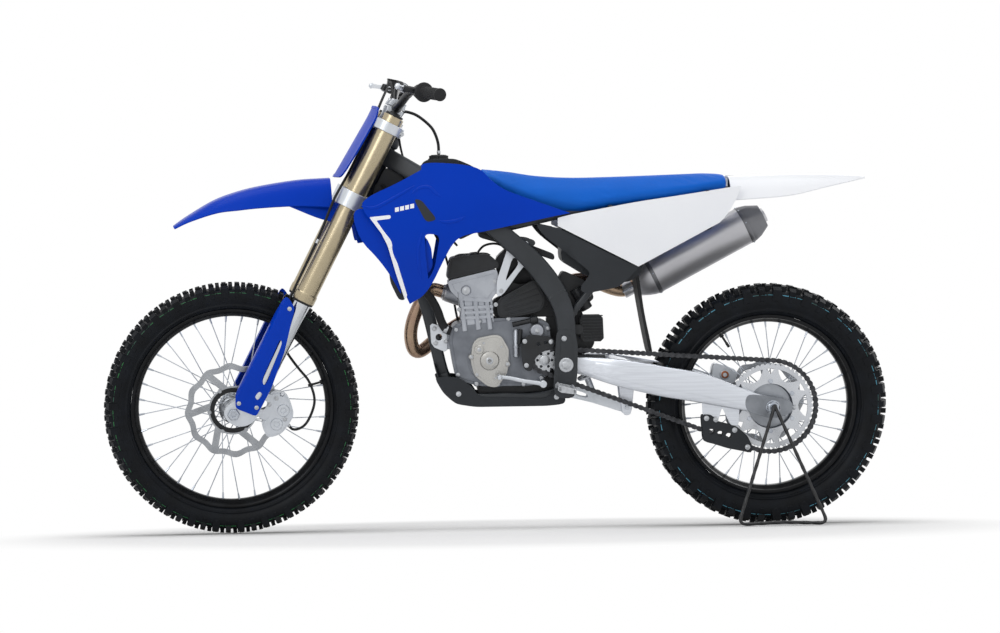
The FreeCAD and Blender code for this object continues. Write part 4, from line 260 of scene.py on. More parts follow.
def piece(name, parts, finish, group="chassis", hides=None, bevel=0.0, crease=38):
    """A mesh of one or more parts, each points and faces, carried to its group's place. Doubled
    points are merged, faces point outwards, and edges sharper than the crease stay sharp."""
    points, faces, count = [], [], 0
    for part_points, part_faces in parts:
        points.append(np.asarray(part_points, float).reshape(-1, 3))
        faces += shifted(part_faces, count)
        count += len(points[-1])
    mesh = bpy.data.meshes.new(name)
    mesh.from_pydata(placed(np.vstack(points), group).tolist(), [], faces)
    work = bmesh.new()
    work.from_mesh(mesh)
    bmesh.ops.remove_doubles(work, verts=work.verts, dist=1e-5)
    bmesh.ops.recalc_face_normals(work, faces=work.faces)
    work.to_mesh(mesh)
    work.free()
    mesh.shade_smooth()
    mesh.set_sharp_from_angle(angle=math.radians(crease))
    made = put(name, mesh)
    if bevel:
        edge = made.modifiers.new("edge", "BEVEL")
        edge.width, edge.segments, edge.limit_method = bevel / 1000, 2, "ANGLE"
        edge.angle_limit, edge.harden_normals = math.radians(crease), True
    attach(made, "chassis" if group == "stand" else group)
    return dressed(made, finish, hides)


def turned(profile, count=96):
    """A ring about the y axis: each profile point (side, radius) goes round at (r cos t, side, r sin t).
    The profile is a closed loop."""
    profile = np.asarray(profile, float)
    angle = np.linspace(0, 2 * np.pi, count, endpoint=False)[:, None]
    side, radius = profile[:, 0][None, :], profile[:, 1][None, :]
    points = np.stack([radius * np.cos(angle), side + 0 * angle, radius * np.sin(angle)], -1)
    return points.reshape(-1, 3), grid(count, len(profile), True, True)


def flowing(points, per_run=8, closed=False):
    """Catmull-Rom curve through points: on each run from b to c with neighbours a and d it is
    (2b + (c - a) t + (2a - 5b + 4c - d) t^2 + (3b - a - 3c + d) t^3) / 2."""
    corners = np.asarray(points, float)
    if closed:
        corners = np.vstack([corners[-1], corners, corners[:2]])
    else:
        corners = np.vstack([2 * corners[0] - corners[1], corners, 2 * corners[-1] - corners[-2]])
    t = np.linspace(0, 1, per_run, endpoint=False)[None, :, None]
    a, b, c, d = (corners[first:len(corners) - 3 + first, None] for first in range(4))
    runs = (2 * b + (c - a) * t + (2 * a - 5 * b + 4 * c - d) * t ** 2 + (3 * b - a - 3 * c + d) * t ** 3) / 2
    runs = runs.reshape(-1, corners.shape[1])
    return runs if closed else np.vstack([runs, corners[-2:-1]])


def lugs(outline, count, span, phase, taper=0.12):
    """Blocks round a tyre: a four-cornered outline of (side, radius), its last two corners at the
    top, goes from angle a to a + span; the top is shorter by the taper. Angles are in pitches."""
    outline = np.asarray(outline, float)
    first = np.arange(count)[:, None, None] + phase
    ends = np.array([-0.5, 0.5])[None, :, None] * span * np.array([1, 1, 1 - taper, 1 - taper])[None, None, :]
    angle = 2 * np.pi * (first + ends) / count
    side, radius = outline[:, 0] + 0 * angle, outline[:, 1] + 0 * angle
    points = np.stack([radius * np.cos(angle), side, radius * np.sin(angle)], -1).reshape(-1, 3)
    block = np.array([(0, 1, 2, 3), (4, 5, 6, 7), (0, 1, 5, 4), (1, 2, 6, 5), (2, 3, 7, 6), (3, 0, 4, 7)])
    faces = (np.arange(count)[:, None, None] * 8 + block[None]).reshape(-1, 4)
    return points, faces.tolist()


def on(part, hand):
    """A part as it is for hand 1, and its mirror image across the bike's middle for hand -1."""
    points, faces = part
    return np.asarray(points, float).reshape(-1, 3) * (1, hand, 1), faces


def both(part):
    """A part with its mirror image."""
    return [on(part, 1), on(part, -1)]


# Rubber pressed in a mould: blue-black and dull, with a broad soft sheen on the lugs.
tyre_rubber = surface("moulded_tyre_rubber", "tyre_rubber", "#090C10", "#10141A", 0.46, grain=1.6, depth=0.15,
                      patch=45, Specular_IOR_Level=0.15)
CARCASS = [(0.50, 0.0), (0.60, 0.04), (0.70, 0.12), (0.76, 0.125), (0.775, 0.17), (0.76, 0.21), (0.86, 0.36),
           (0.905, 0.55), (0.87, 0.69), (0.72, 0.76), (0.5, 0.795), (0.25, 0.812), (0.0, 0.818)]


def tyre(name, radius, width, rim_radius, pitches, line_name, line_colour, group):
    """Carcass and lugs, from (side, height) shares of the half width and the tyre's height. The
    crown's height share at a side share s is 1 - 0.19 s^2.2."""
    height, half = radius - rim_radius, width / 2

    def sized(shares):
        return [(side * half, rim_radius + rise * height) for side, rise in shares]

    def crown(side, below=0.0):
        return rim_radius + height * (1 - 0.19 * side ** 2.2) - below

    rows = flowing(CARCASS, 4)
    parts = [turned(sized(np.vstack([rows, rows[-2:0:-1] * (-1, 1)])), 180)]
    for near, far, low, length, phase in ((0.05, 0.34, 0.77, 0.38, 0.0), (0.40, 0.64, 0.73, 0.32, 0.5)):
        top = [(far * half - 1, crown(far)), (near * half + 1, crown(near))]
        parts += both(lugs(sized([(near, low), (far, low)]) + top, pitches, length, phase))
    top = [(0.995 * half, crown(0.985, 1)), (0.72 * half, crown(0.72))]
    for edge, length, phase in (((0.93, 0.46), 0.30, 0.02), ((0.90, 0.64), 0.22, 0.52)):
        parts += both(lugs(sized([(0.66, 0.66), edge]) + top, pitches // 2, length, phase))
    rib = sized([(0.86, 0.52), (0.90, 0.44), (0.925, 0.46), (0.93, 0.60)])
    parts += both(lugs(rib, pitches, 0.30, 0.04))
    piece(name, parts, tyre_rubber, group, hides=name, crease=30)
    dash = sized([(0.884, 0.655), (0.893, 0.635), (0.903, 0.637), (0.894, 0.657)])
    # A dashed line of matt paint that the rubber dulls.
    paint = surface(line_name, "tyre_rubber", line_colour, "#2A4A44", 0.6, grain=0.8, depth=0.05)
    piece(name + "_line", both(lugs(dash, pitches * 2, 0.8, 0.25, taper=0)), paint, group)


tyre("front_tyre", 349.3, 91.6, 276.2, 60, "green_tyre_paint", "#1F7A3A", "front_wheel")
tyre("rear_tyre", 337.3, 117.6, 250.2, 46, "pale_blue_tyre_paint", "#5FA9C4", "rear_wheel")

# Rims: rolled and welded aluminium, anodised black, with thirty-six stainless spokes laced to
# the hubs and tightened by plated nipples at the rim.
# Anodised after rolling: an even, deep satin black with a tight highlight.
black_anodised = surface("black_anodised_aluminium", "dark_metal", "#0B0C0E", "#15171A", 0.32, 0.7, grain=0.8,
                         depth=0.03, patch=30)
# Drawn and polished wire: thin bright glints.
spoke_steel = surface("polished_stainless_spoke_wire", "bright_steel", "#B9BEC6", "#9BA1AA", 0.25, 1.0,
                      grain=2, depth=0.02)
# Moulded rubber: soft, dull and without highlights.
valve_rubber = surface("black_valve_rubber", "tyre_rubber", "#0D0E10", "#141518", 0.6, grain=0.8, depth=0.05,
                       patch=20)
# Cast, then turned: grey metal with a soft and slightly blotched shine.
cast_hub = surface("turned_and_cast_hub_aluminium", "cast_alloy", "#A2A6AC", "#8F9399", 0.34, 0.9, grain=1.2,
                   depth=0.05, patch=50)


def rods(starts, ends, radius, sides=6):
    """Straight round rods between arrays of points: centre + radius (u cos t + v sin t)."""
    starts, ends = np.asarray(starts, float).reshape(-1, 3), np.asarray(ends, float).reshape(-1, 3)
    run = ends - starts
    helper = np.where(np.abs(run[:, 1:2]) > 0.9 * np.linalg.norm(run, axis=1)[:, None], (1.0, 0, 0), (0, 1.0, 0))
    u = np.cross(run, helper)
    u /= np.linalg.norm(u, axis=1)[:, None]
    v = np.cross(run, u)
    v /= np.linalg.norm(v, axis=1)[:, None]
    angle = np.linspace(0, 2 * np.pi, sides, endpoint=False)
    radius = np.broadcast_to(np.asarray(radius, float), (2,))
    spread = u[:, None] * np.cos(angle)[None, :, None] + v[:, None] * np.sin(angle)[None, :, None]
    points = np.stack([starts[:, None] + radius[0] * spread, ends[:, None] + radius[1] * spread], 1).reshape(-1, 3)
    rod = tube_faces(2, sides)
    return points, [face for index in range(len(starts)) for face in shifted(rod, index * 2 * sides)]


def polar(radius, angle):
    """Side view points at radii and angles in degrees: (r cos t, r sin t)."""
    turn = np.radians(angle)
    return np.stack([radius * np.cos(turn), radius * np.sin(turn)], -1)


def at_side(flat, side):
    """Side view points moved out to a side offset, or to one offset each."""
    return np.insert(np.asarray(flat, float), 1, side, axis=1)


def wheel(prefix, rim_radius, rim_width, hub_length, group, valve_angle):
    """Rim ring, hub, spokes, nipples and the tyre's valve about the y axis."""
    out = np.array([math.cos(math.radians(valve_angle)), 0, math.sin(math.radians(valve_angle))])
    stem = [rods(out * (rim_radius - low), out * (rim_radius - high), thick, 12)
            for low, high, thick in ((20, 26, 6), (24, 56, 3.2), (46, 60, 4))]
    piece(prefix + "_valve", stem, valve_rubber, group)
    half = rim_width / 2
    outline = [(half, 0), (half + 1, 3), (half - 1, 9), (half * 0.62, 13), (half * 0.42, 19), (half * 0.2, 21),
               (0, 21.4)]
    outline += [(-side, drop) for side, drop in outline[-2::-1]]
    outline += [(-half * 0.8, 5), (0, 14), (half * 0.8, 5)]
    loop = [(side, rim_radius - drop) for side, drop in outline]
    piece(prefix + "_rim_ring", [turned(loop, 144)], black_anodised, group, hides=prefix + "_rim", crease=50)
    fan, tips, roots = np.arange(9) * 40, [], []
    for side, lead, start in ((-1, -1, 30), (-1, 1, 10), (1, -1, 20), (1, 1, 0)):
        hub_side, rim_share = (32.8, 0.12) if lead > 0 else (25.2, 0.04)
        roots.append(at_side(polar(31, start + fan + lead * 60), side * hub_side))
        tips.append(at_side(polar(rim_radius - 21, start + fan), side * rim_share * rim_width))
    roots, tips = np.vstack(roots), np.vstack(tips)
    inward = (roots - tips) / np.linalg.norm(roots - tips, axis=1)[:, None]
    nipples = rods(tips + inward * 16, tips - inward * 0.5, (2.2, 3.2), 8)
    piece(prefix + "_spokes", [rods(roots, tips, 1.35), nipples], spoke_steel, group)
    end = hub_length / 2
    hub = [(end, 13), (end, 24), (end - 6, 26), (36, 30), (31.5, 38), (26.5, 38), (24, 31), (14, 22), (0, 20.5)]
    hub += [(-side, radius) for side, radius in hub[-2::-1]]
    piece(prefix + "_hub_shell", [turned(hub, 64)], cast_hub, group, hides=prefix + "_hub", bevel=0.8, crease=28)


wheel("front", 276, 50, 100, "front_wheel", 138)
wheel("rear", 250, 64, 116, "rear_wheel", 57)

# Brake discs and sprocket: laser-cut stainless steel rings with a wavy edge, held by rivets on a
# carrier, and a milled aluminium sprocket with windows.
def inside(points, loop):
    """Which points lie in a loop: a ray to +x crosses its edges an odd number of times."""
    start, end = loop, np.roll(loop, -1, axis=0)
    x, z = points[:, None, 0], points[:, None, 1]
    rise = np.where(end[:, 1] == start[:, 1], 1e-9, end[:, 1] - start[:, 1])
    hit = (start[:, 1] > z) != (end[:, 1] > z)
    hit &= x < start[:, 0] + (end[:, 0] - start[:, 0]) * (z - start[:, 1]) / rise
    return hit.sum(axis=1) % 2 == 1


def between_loops(points, loops):
    """Which points lie in the first loop and in none of the others."""
    kept = inside(points, np.asarray(loops[0], float))
    for loop in loops[1:]:
        kept &= ~inside(points, np.asarray(loop, float))
    return kept


def filled(loops, inner=()):
    """Triangles over the area within the first loop and outside the others, in the side view."""
    points = [Vector(point[:2]) for loop in (*loops, inner) for point in loop]
    edges, first = [], 0
    for loop in loops:
        count = len(loop)
        edges += [(first + index, first + (index + 1) % count) for index in range(count)]
        first += count
    result = delaunay_2d_cdt(points, edges, [], 1, 1e-5)
    flat = np.array([tuple(point) for point in result[0]])
    faces = np.array([list(face) for face in result[2]])
    return flat, faces[between_loops(flat[faces].mean(axis=1), loops)].tolist(), edges


def two_skins(points, faces, edges):
    """Closes two equal layers of points: the faces of both, and a wall along every edge."""
    count = len(points) // 2
    walls = [[start, end, end + count, start + count] for start, end in edges]
    return points, faces + shifted(faces, count) + walls


def cut_plate(loops, low, high):
    """A flat plate between two side offsets, within the first loop and outside the others."""
    flat, faces, edges = filled([np.asarray(loop, float) for loop in loops])
    return two_skins(np.vstack([at_side(flat, low), at_side(flat, high)]), faces, edges)


def ring(radius, count, centre=(0, 0), start=0):
    """Side view points spaced evenly round a centre, from a start angle in degrees."""
    return polar(radius, start + np.arange(count) * 360 / count) + centre


# Ground flat: an even silver sheen that the cut edge breaks.
disc_steel = surface("ground_stainless_disc", "bright_steel", "#A5A8AC", "#94979B", 0.26, 0.95, grain=0.9,
                     depth=0.02, patch=40)
# Sprayed paint: near black with a soft highlight.
satin_black = surface("satin_black_paint", "dark_metal", "#0E1013", "#15181B", 0.4, grain=0.8, depth=0.04,
                      patch=40, Specular_IOR_Level=0.35)


def disc(prefix, radius, side, thick, group, carrier):
    """A wavy ring of outer radius R - 3.5 (1 - cos 12t), with six windows and a carrier ring inside."""
    angle = np.linspace(0, 360, 216, endpoint=False)
    loops = [polar(radius - 0.3 - 3.5 * (1 - np.cos(np.radians(12 * angle))), angle), ring(carrier + 4, 48)]
    spread = np.linspace(-25, 25, 12)
    far = radius - 17 - 3.0 * (1 - np.cos(np.radians(12 * spread)))
    for middle in range(0, 360, 60):
        near = polar(carrier + 9, middle + 12 + np.linspace(21, -21, 6))
        loops.append(np.vstack([polar(far, middle + spread), near]))
    plate = cut_plate(loops, side - thick / 2, side + thick / 2)
    piece(prefix + "_disc_ring", [plate], disc_steel, group, hides=prefix + "_disc", bevel=0.5)
    band = [(side - 5, carrier - 8), (side + 5, carrier - 8), (side + 5, carrier + 4), (side - 5, carrier + 4)]
    studs = ring(carrier + 6, 6, start=30)
    studs = rods(at_side(studs, side - 6.5), at_side(studs, side + 6.5), 5.5, 16)
    piece(prefix + "_disc_carrier", [turned(band, 72)], satin_black, group, bevel=0.8)
    piece(prefix + "_disc_rivets", [studs], disc_steel, group, bevel=0.5)


disc("front", 131, 44, 4, "front_wheel", 58)
disc("rear", 118, -52, 4, "rear_wheel", 46)
# Milled from plate: pale, bright metal.
milled = surface("milled_sprocket_aluminium", "bright_steel", "#C6C9CE", "#BCBFC4", 0.3, 0.9, grain=0.9,
                 depth=0.03, patch=60)
TEETH, TIP, FACE = 50, 118.4, 74.8
teeth = polar(np.tile([TIP, TIP - 1.2, TIP - 5.4, TIP - 1.2], TEETH), np.arange(TEETH * 4) * 360 / (TEETH * 4))
windows = [ring(62, 48)]
for middle in range(0, 360, 60):
    windows.append(np.vstack([polar(103, middle + np.linspace(-18, 18, 9)),
                              polar(np.array([92, 80, 77, 80, 92]), middle + np.array([15, 8, 0, -8, -15]))]))
    windows.append(np.vstack([polar(104, middle + 30 + np.linspace(-7, 7, 5)), polar(88, np.array([middle + 30]))]))
wheel_plate = cut_plate([teeth] + windows, FACE - 5.6, FACE)
piece("sprocket_wheel", [wheel_plate], milled, "rear_wheel", hides="sprocket", bevel=0.5)
cup = [(56, 22), (56, 60), (69, 66), (69, 74), (66, 74), (58, 66), (50, 60), (50, 22)]
piece("sprocket_carrier", [turned(cup, 72)], cast_hub, "rear_wheel", bevel=1)
bolts = ring(69, 6, start=30)
bolts = rods(at_side(bolts, FACE), at_side(bolts, FACE + 4.7), 6.0, 16)
piece("sprocket_bolts", [bolts], spoke_steel, "rear_wheel", bevel=0.8)

# Plastics: injection-moulded fenders, shrouds and panels in glossy blue and white. They are bent
# sheets about 3 mm thick, bolted to the tank, the radiators and the subframe.
# Polypropylene from a polished mould: one clean glossy blue.
blue_plastic = surface("moulded_blue_polypropylene", "blue_plastic", "#0039B6", "#0037B0", 0.34, grain=1.2,
                       depth=0.008, patch=220, Specular_IOR_Level=0.1)
# The same moulding in white: clean and glossy.
white_plastic = surface("moulded_white_polypropylene", "white_plastic", "#F6F8FC", "#F3F5FA", 0.3, grain=1.2,
                        depth=0.008, patch=220, Specular_IOR_Level=0.3)
# Nylon from a grained mould: charcoal with a fine, dry grain.
dark_plastic = surface("grained_dark_nylon", "black_plastic", "#1D2126", "#22262B", 0.5, grain=0.8, depth=0.08,
                       patch=90, Specular_IOR_Level=0.35)


def rounded(points, times=2, reach=9.0):
    """Cuts every corner of a closed outline at a quarter of its sides, or at the reach where that is
    nearer, so it rounds; a point given twice stays sharp."""
    points = np.asarray(points, float)
    for _ in range(times):
        run = np.roll(points, -1, axis=0) - points
        cut = np.minimum(0.25, reach / (np.linalg.norm(run, axis=1)[:, None] + 1e-9))
        points = np.stack([points + run * cut, points + run * (1 - cut)], 1).reshape(-1, points.shape[1])
    gap = np.linalg.norm(points - np.roll(points, 1, axis=0), axis=1)
    return points[gap > 0.004 * reach]


def draped(stations, soften=5):
    """The side offset of a bent sheet over the side view. Offsets are interpolated between the
    stations' lines on a 10 mm grid, then averaged over the neighbours so that the sheet flows."""
    along = np.array([station for station, line in stations], float)
    xs, zs = np.arange(along.min() - 60, along.max() + 70, 10.0), np.arange(560, 1110, 10.0)
    lines = [np.interp(zs, [rise for side, rise in line], [side for side, rise in line]) for _, line in stations]
    table = np.array([np.interp(xs, along, column) for column in np.array(lines).T]).T
    for axis in (0, 1, 0, 1):
        padded = np.pad(table, [(soften, soften) if axis == each else (0, 0) for each in (0, 1)], mode="edge")
        steps = np.arange(table.shape[axis])
        table = np.mean([np.take(padded, steps + step, axis=axis) for step in range(2 * soften + 1)], axis=0)

    def offset(x, z):
        column = np.clip((x - xs[0]) / 10, 0, len(xs) - 1.001)
        row = np.clip((z - zs[0]) / 10, 0, len(zs) - 1.001)
        i, j = column.astype(int), row.astype(int)
        s, t = column - i, row - j
        return (table[i, j] * (1 - s) * (1 - t) + table[i + 1, j] * s * (1 - t)
                + table[i, j + 1] * (1 - s) * t + table[i + 1, j + 1] * s * t)

    return offset


def panel(loops, carry, wall, spacing=22.0):
    """A bent sheet: the side view is triangulated with inner points, then carry takes it to the
    outer skin, and again, a wall's thickness deeper, to the inner one."""
    loops = [np.asarray(loop, float) for loop in loops]
    xs, zs = (np.arange(loops[0][:, axis].min(), loops[0][:, axis].max(), spacing) for axis in (0, 1))
    inner = np.stack(np.meshgrid(xs, zs), -1).reshape(-1, 2)
    gap = np.min(np.linalg.norm(inner[:, None] - np.vstack(loops)[None], axis=2), axis=1)
    flat, faces, edges = filled(loops, inner[between_loops(inner, loops) & (gap > spacing * 0.35)])
    return two_skins(np.vstack([carry(flat, 0), carry(flat, wall)]), faces, edges)


def sheet_at(offset, proud=0.0):
    """Carries side view points out to a sheet's offset, raised by proud and lowered by the depth."""
    return lambda flat, depth: at_side(flat, offset(flat[:, 0], flat[:, 1]) + proud - depth)


def slab(outline, low, high, times=2, reach=9.0):
    """A flat plate between two side offsets, with rounded corners."""
    return cut_plate([rounded(outline, times, reach)], low, high)


SHROUD = rounded([(383, 902), (362, 928), (282, 963), (216, 999), (216, 999), (214, 1020), (107, 1014),
                  (54, 1001), (28, 970), (-8, 943), (-56, 925), (-187, 878), (-187, 878), (-148, 871),
                  (56, 829), (101, 823), (128, 808), (152, 771), (203, 668), (252, 640), (252, 640),
                  (267, 674), (297, 791), (324, 830)], 3, 60)
SHROUD_WINDOW = rounded([(210, 828), (168, 824), (184, 735), (201, 706), (201, 706), (208, 776)], 2, 8)
shroud_offset = draped([
    (-208, [(125, 635), (125, 873), (119, 932), (89, 1036)]),
    (30, [(131, 635), (128, 843), (119, 932), (89, 1036)]),
    (148, [(163, 635), (172, 798), (140, 932), (95, 1036)]),
    (267, [(184, 635), (196, 813), (166, 932), (110, 1036)]),
    (416, [(193, 635), (208, 843), (196, 932), (163, 1036)]),
])
for hand, node in ((1, "shroud_left"), (-1, "shroud_right")):
    shroud = on(panel([SHROUD, SHROUD_WINDOW], sheet_at(shroud_offset), 3), hand)
    piece(node + "_sheet", [shroud], blue_plastic, hides=node, bevel=0.8)
SIDE_PANEL = rounded([(-153, 865), (-153, 865), (-189, 874), (-373, 907), (-484, 922), (-656, 948),
                      (-656, 948), (-647, 920), (-630, 890), (-613, 864), (-595, 847), (-595, 847),
                      (-373, 730), (-373, 730), (-153, 843), (-153, 843)], 2, 20)
LOWER_COVER = rounded([(-89, 852), (-153, 838), (-153, 838), (-373, 726), (-373, 726), (-322, 675),
                       (-223, 657), (-211, 675), (-239, 706), (-238, 720), (-116, 816)], 2, 12)
side_offset = draped([
    (-60, [(119, 635), (119, 709), (119, 843), (116, 962)]),
    (-208, [(137, 635), (138, 709), (128, 843), (119, 962)]),
    (-371, [(143, 635), (144, 709), (141, 843), (125, 962)]),
    (-668, [(113, 635), (113, 709), (119, 843), (110, 962)]),
])
for hand, node in ((1, "side_panel_left"), (-1, "side_panel_right")):
    side_panel = on(panel([SIDE_PANEL], sheet_at(side_offset), 3), hand)
    piece(node + "_sheet", [side_panel], white_plastic, hides=node, bevel=0.8)
covers = both(panel([LOWER_COVER], sheet_at(side_offset, -1), 3))
piece("lower_cover_sheets", covers, dark_plastic, hides="lower_covers", bevel=0.8)


def arch(stations, wall=3, power=4.5, columns=33):
    """A fender over stations of (ahead, rise, half width, drop): at v from -1 to 1 across it, the
    sheet lies at half v to the side and drop |v|^power below the crest line, square to it. A second
    skin lies a wall's thickness below."""
    line = flowing(stations, 8)
    ahead = np.gradient(line[:, :2], axis=0)
    ahead /= np.linalg.norm(ahead, axis=1)[:, None]
    down = np.stack([ahead[:, 1], -ahead[:, 0]], -1)
    down *= np.where(down[:, 1:] > 0, -1, 1)
    v = np.linspace(-1, 1, columns)
    fall = line[:, 3:4] * np.abs(v)[None] ** power
    side = line[:, 2:3] * v[None]
    upper = line[:, None, :2] + down[:, None] * fall[..., None]
    lower = upper + down[:, None] * wall
    inner_side = side - np.sign(v)[None] * wall * 0.8 * np.abs(v)[None] ** (power - 1)
    skin = np.concatenate([np.stack([upper[..., 0], side, upper[..., 1]], -1),
                           np.stack([lower[..., 0], inner_side, lower[..., 1]], -1)[:, ::-1]], axis=1)
    return skin.reshape(-1, 3), tube_faces(*skin.shape[:2])


FRONT_FENDER = [(423, 381, 36, 6), (399, 424, 59, 13), (357, 489, 71, 30), (315, 535, 75, 44),
                (263, 580, 73, 54), (178, 641, 68, 66), (99, 687, 62, 76)]
FENDER_TAIL = [(179, 621, 60, 50), (80, 634, 58, 55), (-18, 636, 57, 36), (-62, 572, 54, 18)]
fender = [arch(FRONT_FENDER), arch(FENDER_TAIL)]
piece("front_fender_arch", fender, blue_plastic, "steering", hides="front_fender", bevel=0.8, crease=45)
REAR_FENDER = [(-630, 974, 98, 65), (-787, 979, 98, 59), (-895, 978, 86, 36), (-980, 975, 68, 15),
               (-1012, 972, 50, 6)]
piece("rear_fender_arch", [arch(REAR_FENDER)], white_plastic, hides="rear_fender", bevel=0.8, crease=45)

# Shroud details: a scoop and a louvre set into each shroud, raised folds round them, a white stripe
# along the front edge with four white squares, and a darker wing that turns in to the radiator.
SCOOP = rounded([(238, 921), (217, 918), (206, 904), (177, 868), (186, 861), (206, 859)], 2, 7)
STRIPE = rounded([(357, 874), (300, 879), (300, 869), (338, 865), (317, 834), (300, 812), (280, 738),
                  (258, 662), (265, 652), (287, 719), (309, 797), (325, 830)], 1, 3)
FIRST_SQUARE = np.array([(288, 898), (277.5, 900), (277.5, 888.5), (288, 886.5)])
WING = rounded([(404, 884), (377, 902), (351, 876), (317, 817), (288, 725), (268, 652), (299, 712), (336, 764),
                (383, 813)], 2, 30)
FIN = rounded([(309, 752), (290, 725), (262, 650), (281, 650), (303, 697)], 2, 6)
LOUVRE = rounded([(206, 820), (192, 790), (188, 740), (202, 718), (210, 780)], 2, 6)
for hand, side in ((1, "left"), (-1, "right")):
    for name, outline, proud, wall, finish in (
            ("scoop_", SCOOP, 0.5, 1.2, dark_plastic), ("shroud_stripe_", STRIPE, 0.35, 0.5, white_plastic),
            ("shroud_wing_", WING, -16, 2.5, blue_plastic), ("shroud_fin_", FIN, -20, 2.5, dark_plastic),
            ("shroud_louvre_", LOUVRE, -9, 2, blue_plastic)):
        piece(name + side, [on(panel([outline], sheet_at(shroud_offset, proud), wall, 14), hand)], finish, bevel=0.3)
    squares = [on(panel([FIRST_SQUARE + (-13.6 * index, 2.9 * index)], sheet_at(shroud_offset, 0.35), 0.5, 14), hand)
               for index in range(4)]
    piece("shroud_squares_" + side, squares, white_plastic)


def fold(points, offset, proud, reach, hand):
    """A raised fold on a sheet: along each run a half-round of this reach, flattened to its pride."""
    line = flowing(points, 6)
    run = np.gradient(line, axis=0)
    square = np.stack([run[:, 1], -run[:, 0]], -1) / np.linalg.norm(run, axis=1)[:, None]
    t = np.linspace(0, np.pi, 9)
    fade = np.sin(np.linspace(0, np.pi, len(line)))[:, None] ** 0.5
    across, raised = reach * np.cos(t)[None] * fade, proud * np.sin(t)[None] * fade - 0.4
    flat = line[:, None] + square[:, None] * across[..., None]
    side = offset(flat[..., 0].ravel(), flat[..., 1].ravel()).reshape(flat.shape[:2]) + raised
    points = np.stack([flat[..., 0], side * hand, flat[..., 1]], -1)
    return points.reshape(-1, 3), grid(len(line), len(t), False, True)


FOLDS = ([(248, 930), (222, 950), (196, 952), (178, 936), (160, 924)],
         [(172, 862), (150, 858), (120, 862), (96, 872)],
         [(380, 903), (340, 900), (280, 930), (228, 960)],
         [(214, 700), (226, 740), (226, 790), (214, 836)])
for hand, side in ((1, "left"), (-1, "right")):
    folds = [fold(line, shroud_offset, 2.2, 5, hand) for line in FOLDS]
    piece("shroud_folds_" + side, folds, blue_plastic, crease=80)

# Fork: gold-coated outer tubes held in the clamps, chrome inner tubes and cast feet. The feet carry
# the axle and the guards, and rubber wipers close the outer tubes at the bottom.
def lathe(profile, foot, toward, count=32):
    """A solid turned about the line from its foot: foot + height w + radius (u cos t + v sin t) for
    each profile point (height, radius), closed at both ends."""
    profile, w = np.asarray(profile, float), np.asarray(toward, float)
    w = w / np.linalg.norm(w)
    u = np.cross((1.0, 0, 0) if abs(w[1]) > 0.9 else (0, 1.0, 0), w)
    u /= np.linalg.norm(u)
    t = np.linspace(0, 2 * np.pi, count, endpoint=False)[:, None]
    spread = np.cos(t) * u + np.sin(t) * np.cross(w, u)
    points = np.asarray(foot, float) + profile[:, :1, None] * w + profile[:, 1:, None] * spread[None]
    return points.reshape(-1, 3), tube_faces(len(profile), count)


def screws(places, toward, radius, proud, hands=(1,)):
    """Flanged hexagon heads, also mirrored for hand -1: a washer 1.45 times as wide under a head."""
    wide, narrow = radius * 1.45, radius * 1.15
    parts = []
    for hand in hands:
        way = np.asarray(toward, float) * (1, hand, 1)
        for place in np.asarray(places, float) * (1, hand, 1):
            parts.append(lathe([(-0.5, wide), (proud * 0.3, wide), (proud * 0.38, narrow)], place, way, 20))
            parts.append(lathe([(0, radius), (proud * 0.88, radius), (proud, radius * 0.82)], place, way, 6))
    return parts


def grown(loop, distance):
    """A closed side view line moved out square to itself; its points run anticlockwise."""
    loop = np.asarray(loop, float)
    run = np.roll(loop, -1, axis=0) - np.roll(loop, 1, axis=0)
    run /= np.linalg.norm(run, axis=1)[:, None] + 1e-9
    area = np.sum(loop[:, 0] * np.roll(loop[:, 1], -1) - np.roll(loop[:, 0], -1) * loop[:, 1])
    return loop + np.stack([run[:, 1], -run[:, 0]], -1) * distance * np.sign(area)


# Forged and shot-peened: pale grey with a frosted shine.
forged = surface("shot_peened_forged_alloy", "cast_alloy", "#CDD1D7", "#C5CAD0", 0.38, 0.8, grain=1.0,
                 depth=0.05, patch=60)
# A hard coat on ground tube: pale gold, smooth and almost a mirror.
fork_coat = surface("titanium_nitride_fork_coating", "fork_coating", "#B0A48A", "#A99D83", 0.28, 0.9,
                    grain=1.2, depth=0.02, patch=60)
# Plated and polished: a mirror that shows the studio.
chrome = surface("hard_chrome_fork_tube", "bright_steel", "#C9CCD0", "#BFC3C8", 0.14, 1.0, grain=1.2,
                 depth=0.01, patch=60)
# Plated in a bath: light grey and a little cloudy.
zinc = surface("zinc_plated_steel_bolts", "bright_steel", "#BBBEC2", "#ABAEB2", 0.34, 0.9, grain=0.8,
               depth=0.04, patch=8)
# Moulded rubber: matt black that hardly shines.
black_rubber = surface("moulded_black_rubber", "grip_rubber", "#141517", "#1B1C1F", 0.7, grain=1.2, depth=0.15,
                       patch=20, Specular_IOR_Level=0.35)
UP, LEFT = np.array([0, 0, 1.0]), np.array([0, 1.0, 0])
LEG, AXLE = np.array([24.0, 98.0, 0]), np.array([59.1, 0, 0])
tubes = lathe([(357, 27), (357, 30), (359, 31), (379, 31), (382, 29.2), (600, 29), (912, 29), (913, 28)], LEG, UP, 64)
piece("fork_outer_tubes", both(tubes), fork_coat, "steering", hides="fork_tubes", crease=30)
caps = both(lathe([(913, 25), (919, 25), (920, 24)], LEG, UP, 48))
caps += both(lathe([(920, 15), (924, 15), (925, 14)], LEG, UP, 6))
piece("fork_caps", caps, satin_black, "steering", bevel=0.6)
wipers = both(lathe([(351, 25), (351, 28), (354, 29.5), (357, 29.5)], LEG, UP, 48))
piece("fork_wipers", wipers, black_rubber, "steering")
piece("fork_inner_tubes", both(lathe([(70, 24), (357, 24)], LEG, UP, 64)), chrome, "steering", hides="fork_legs")
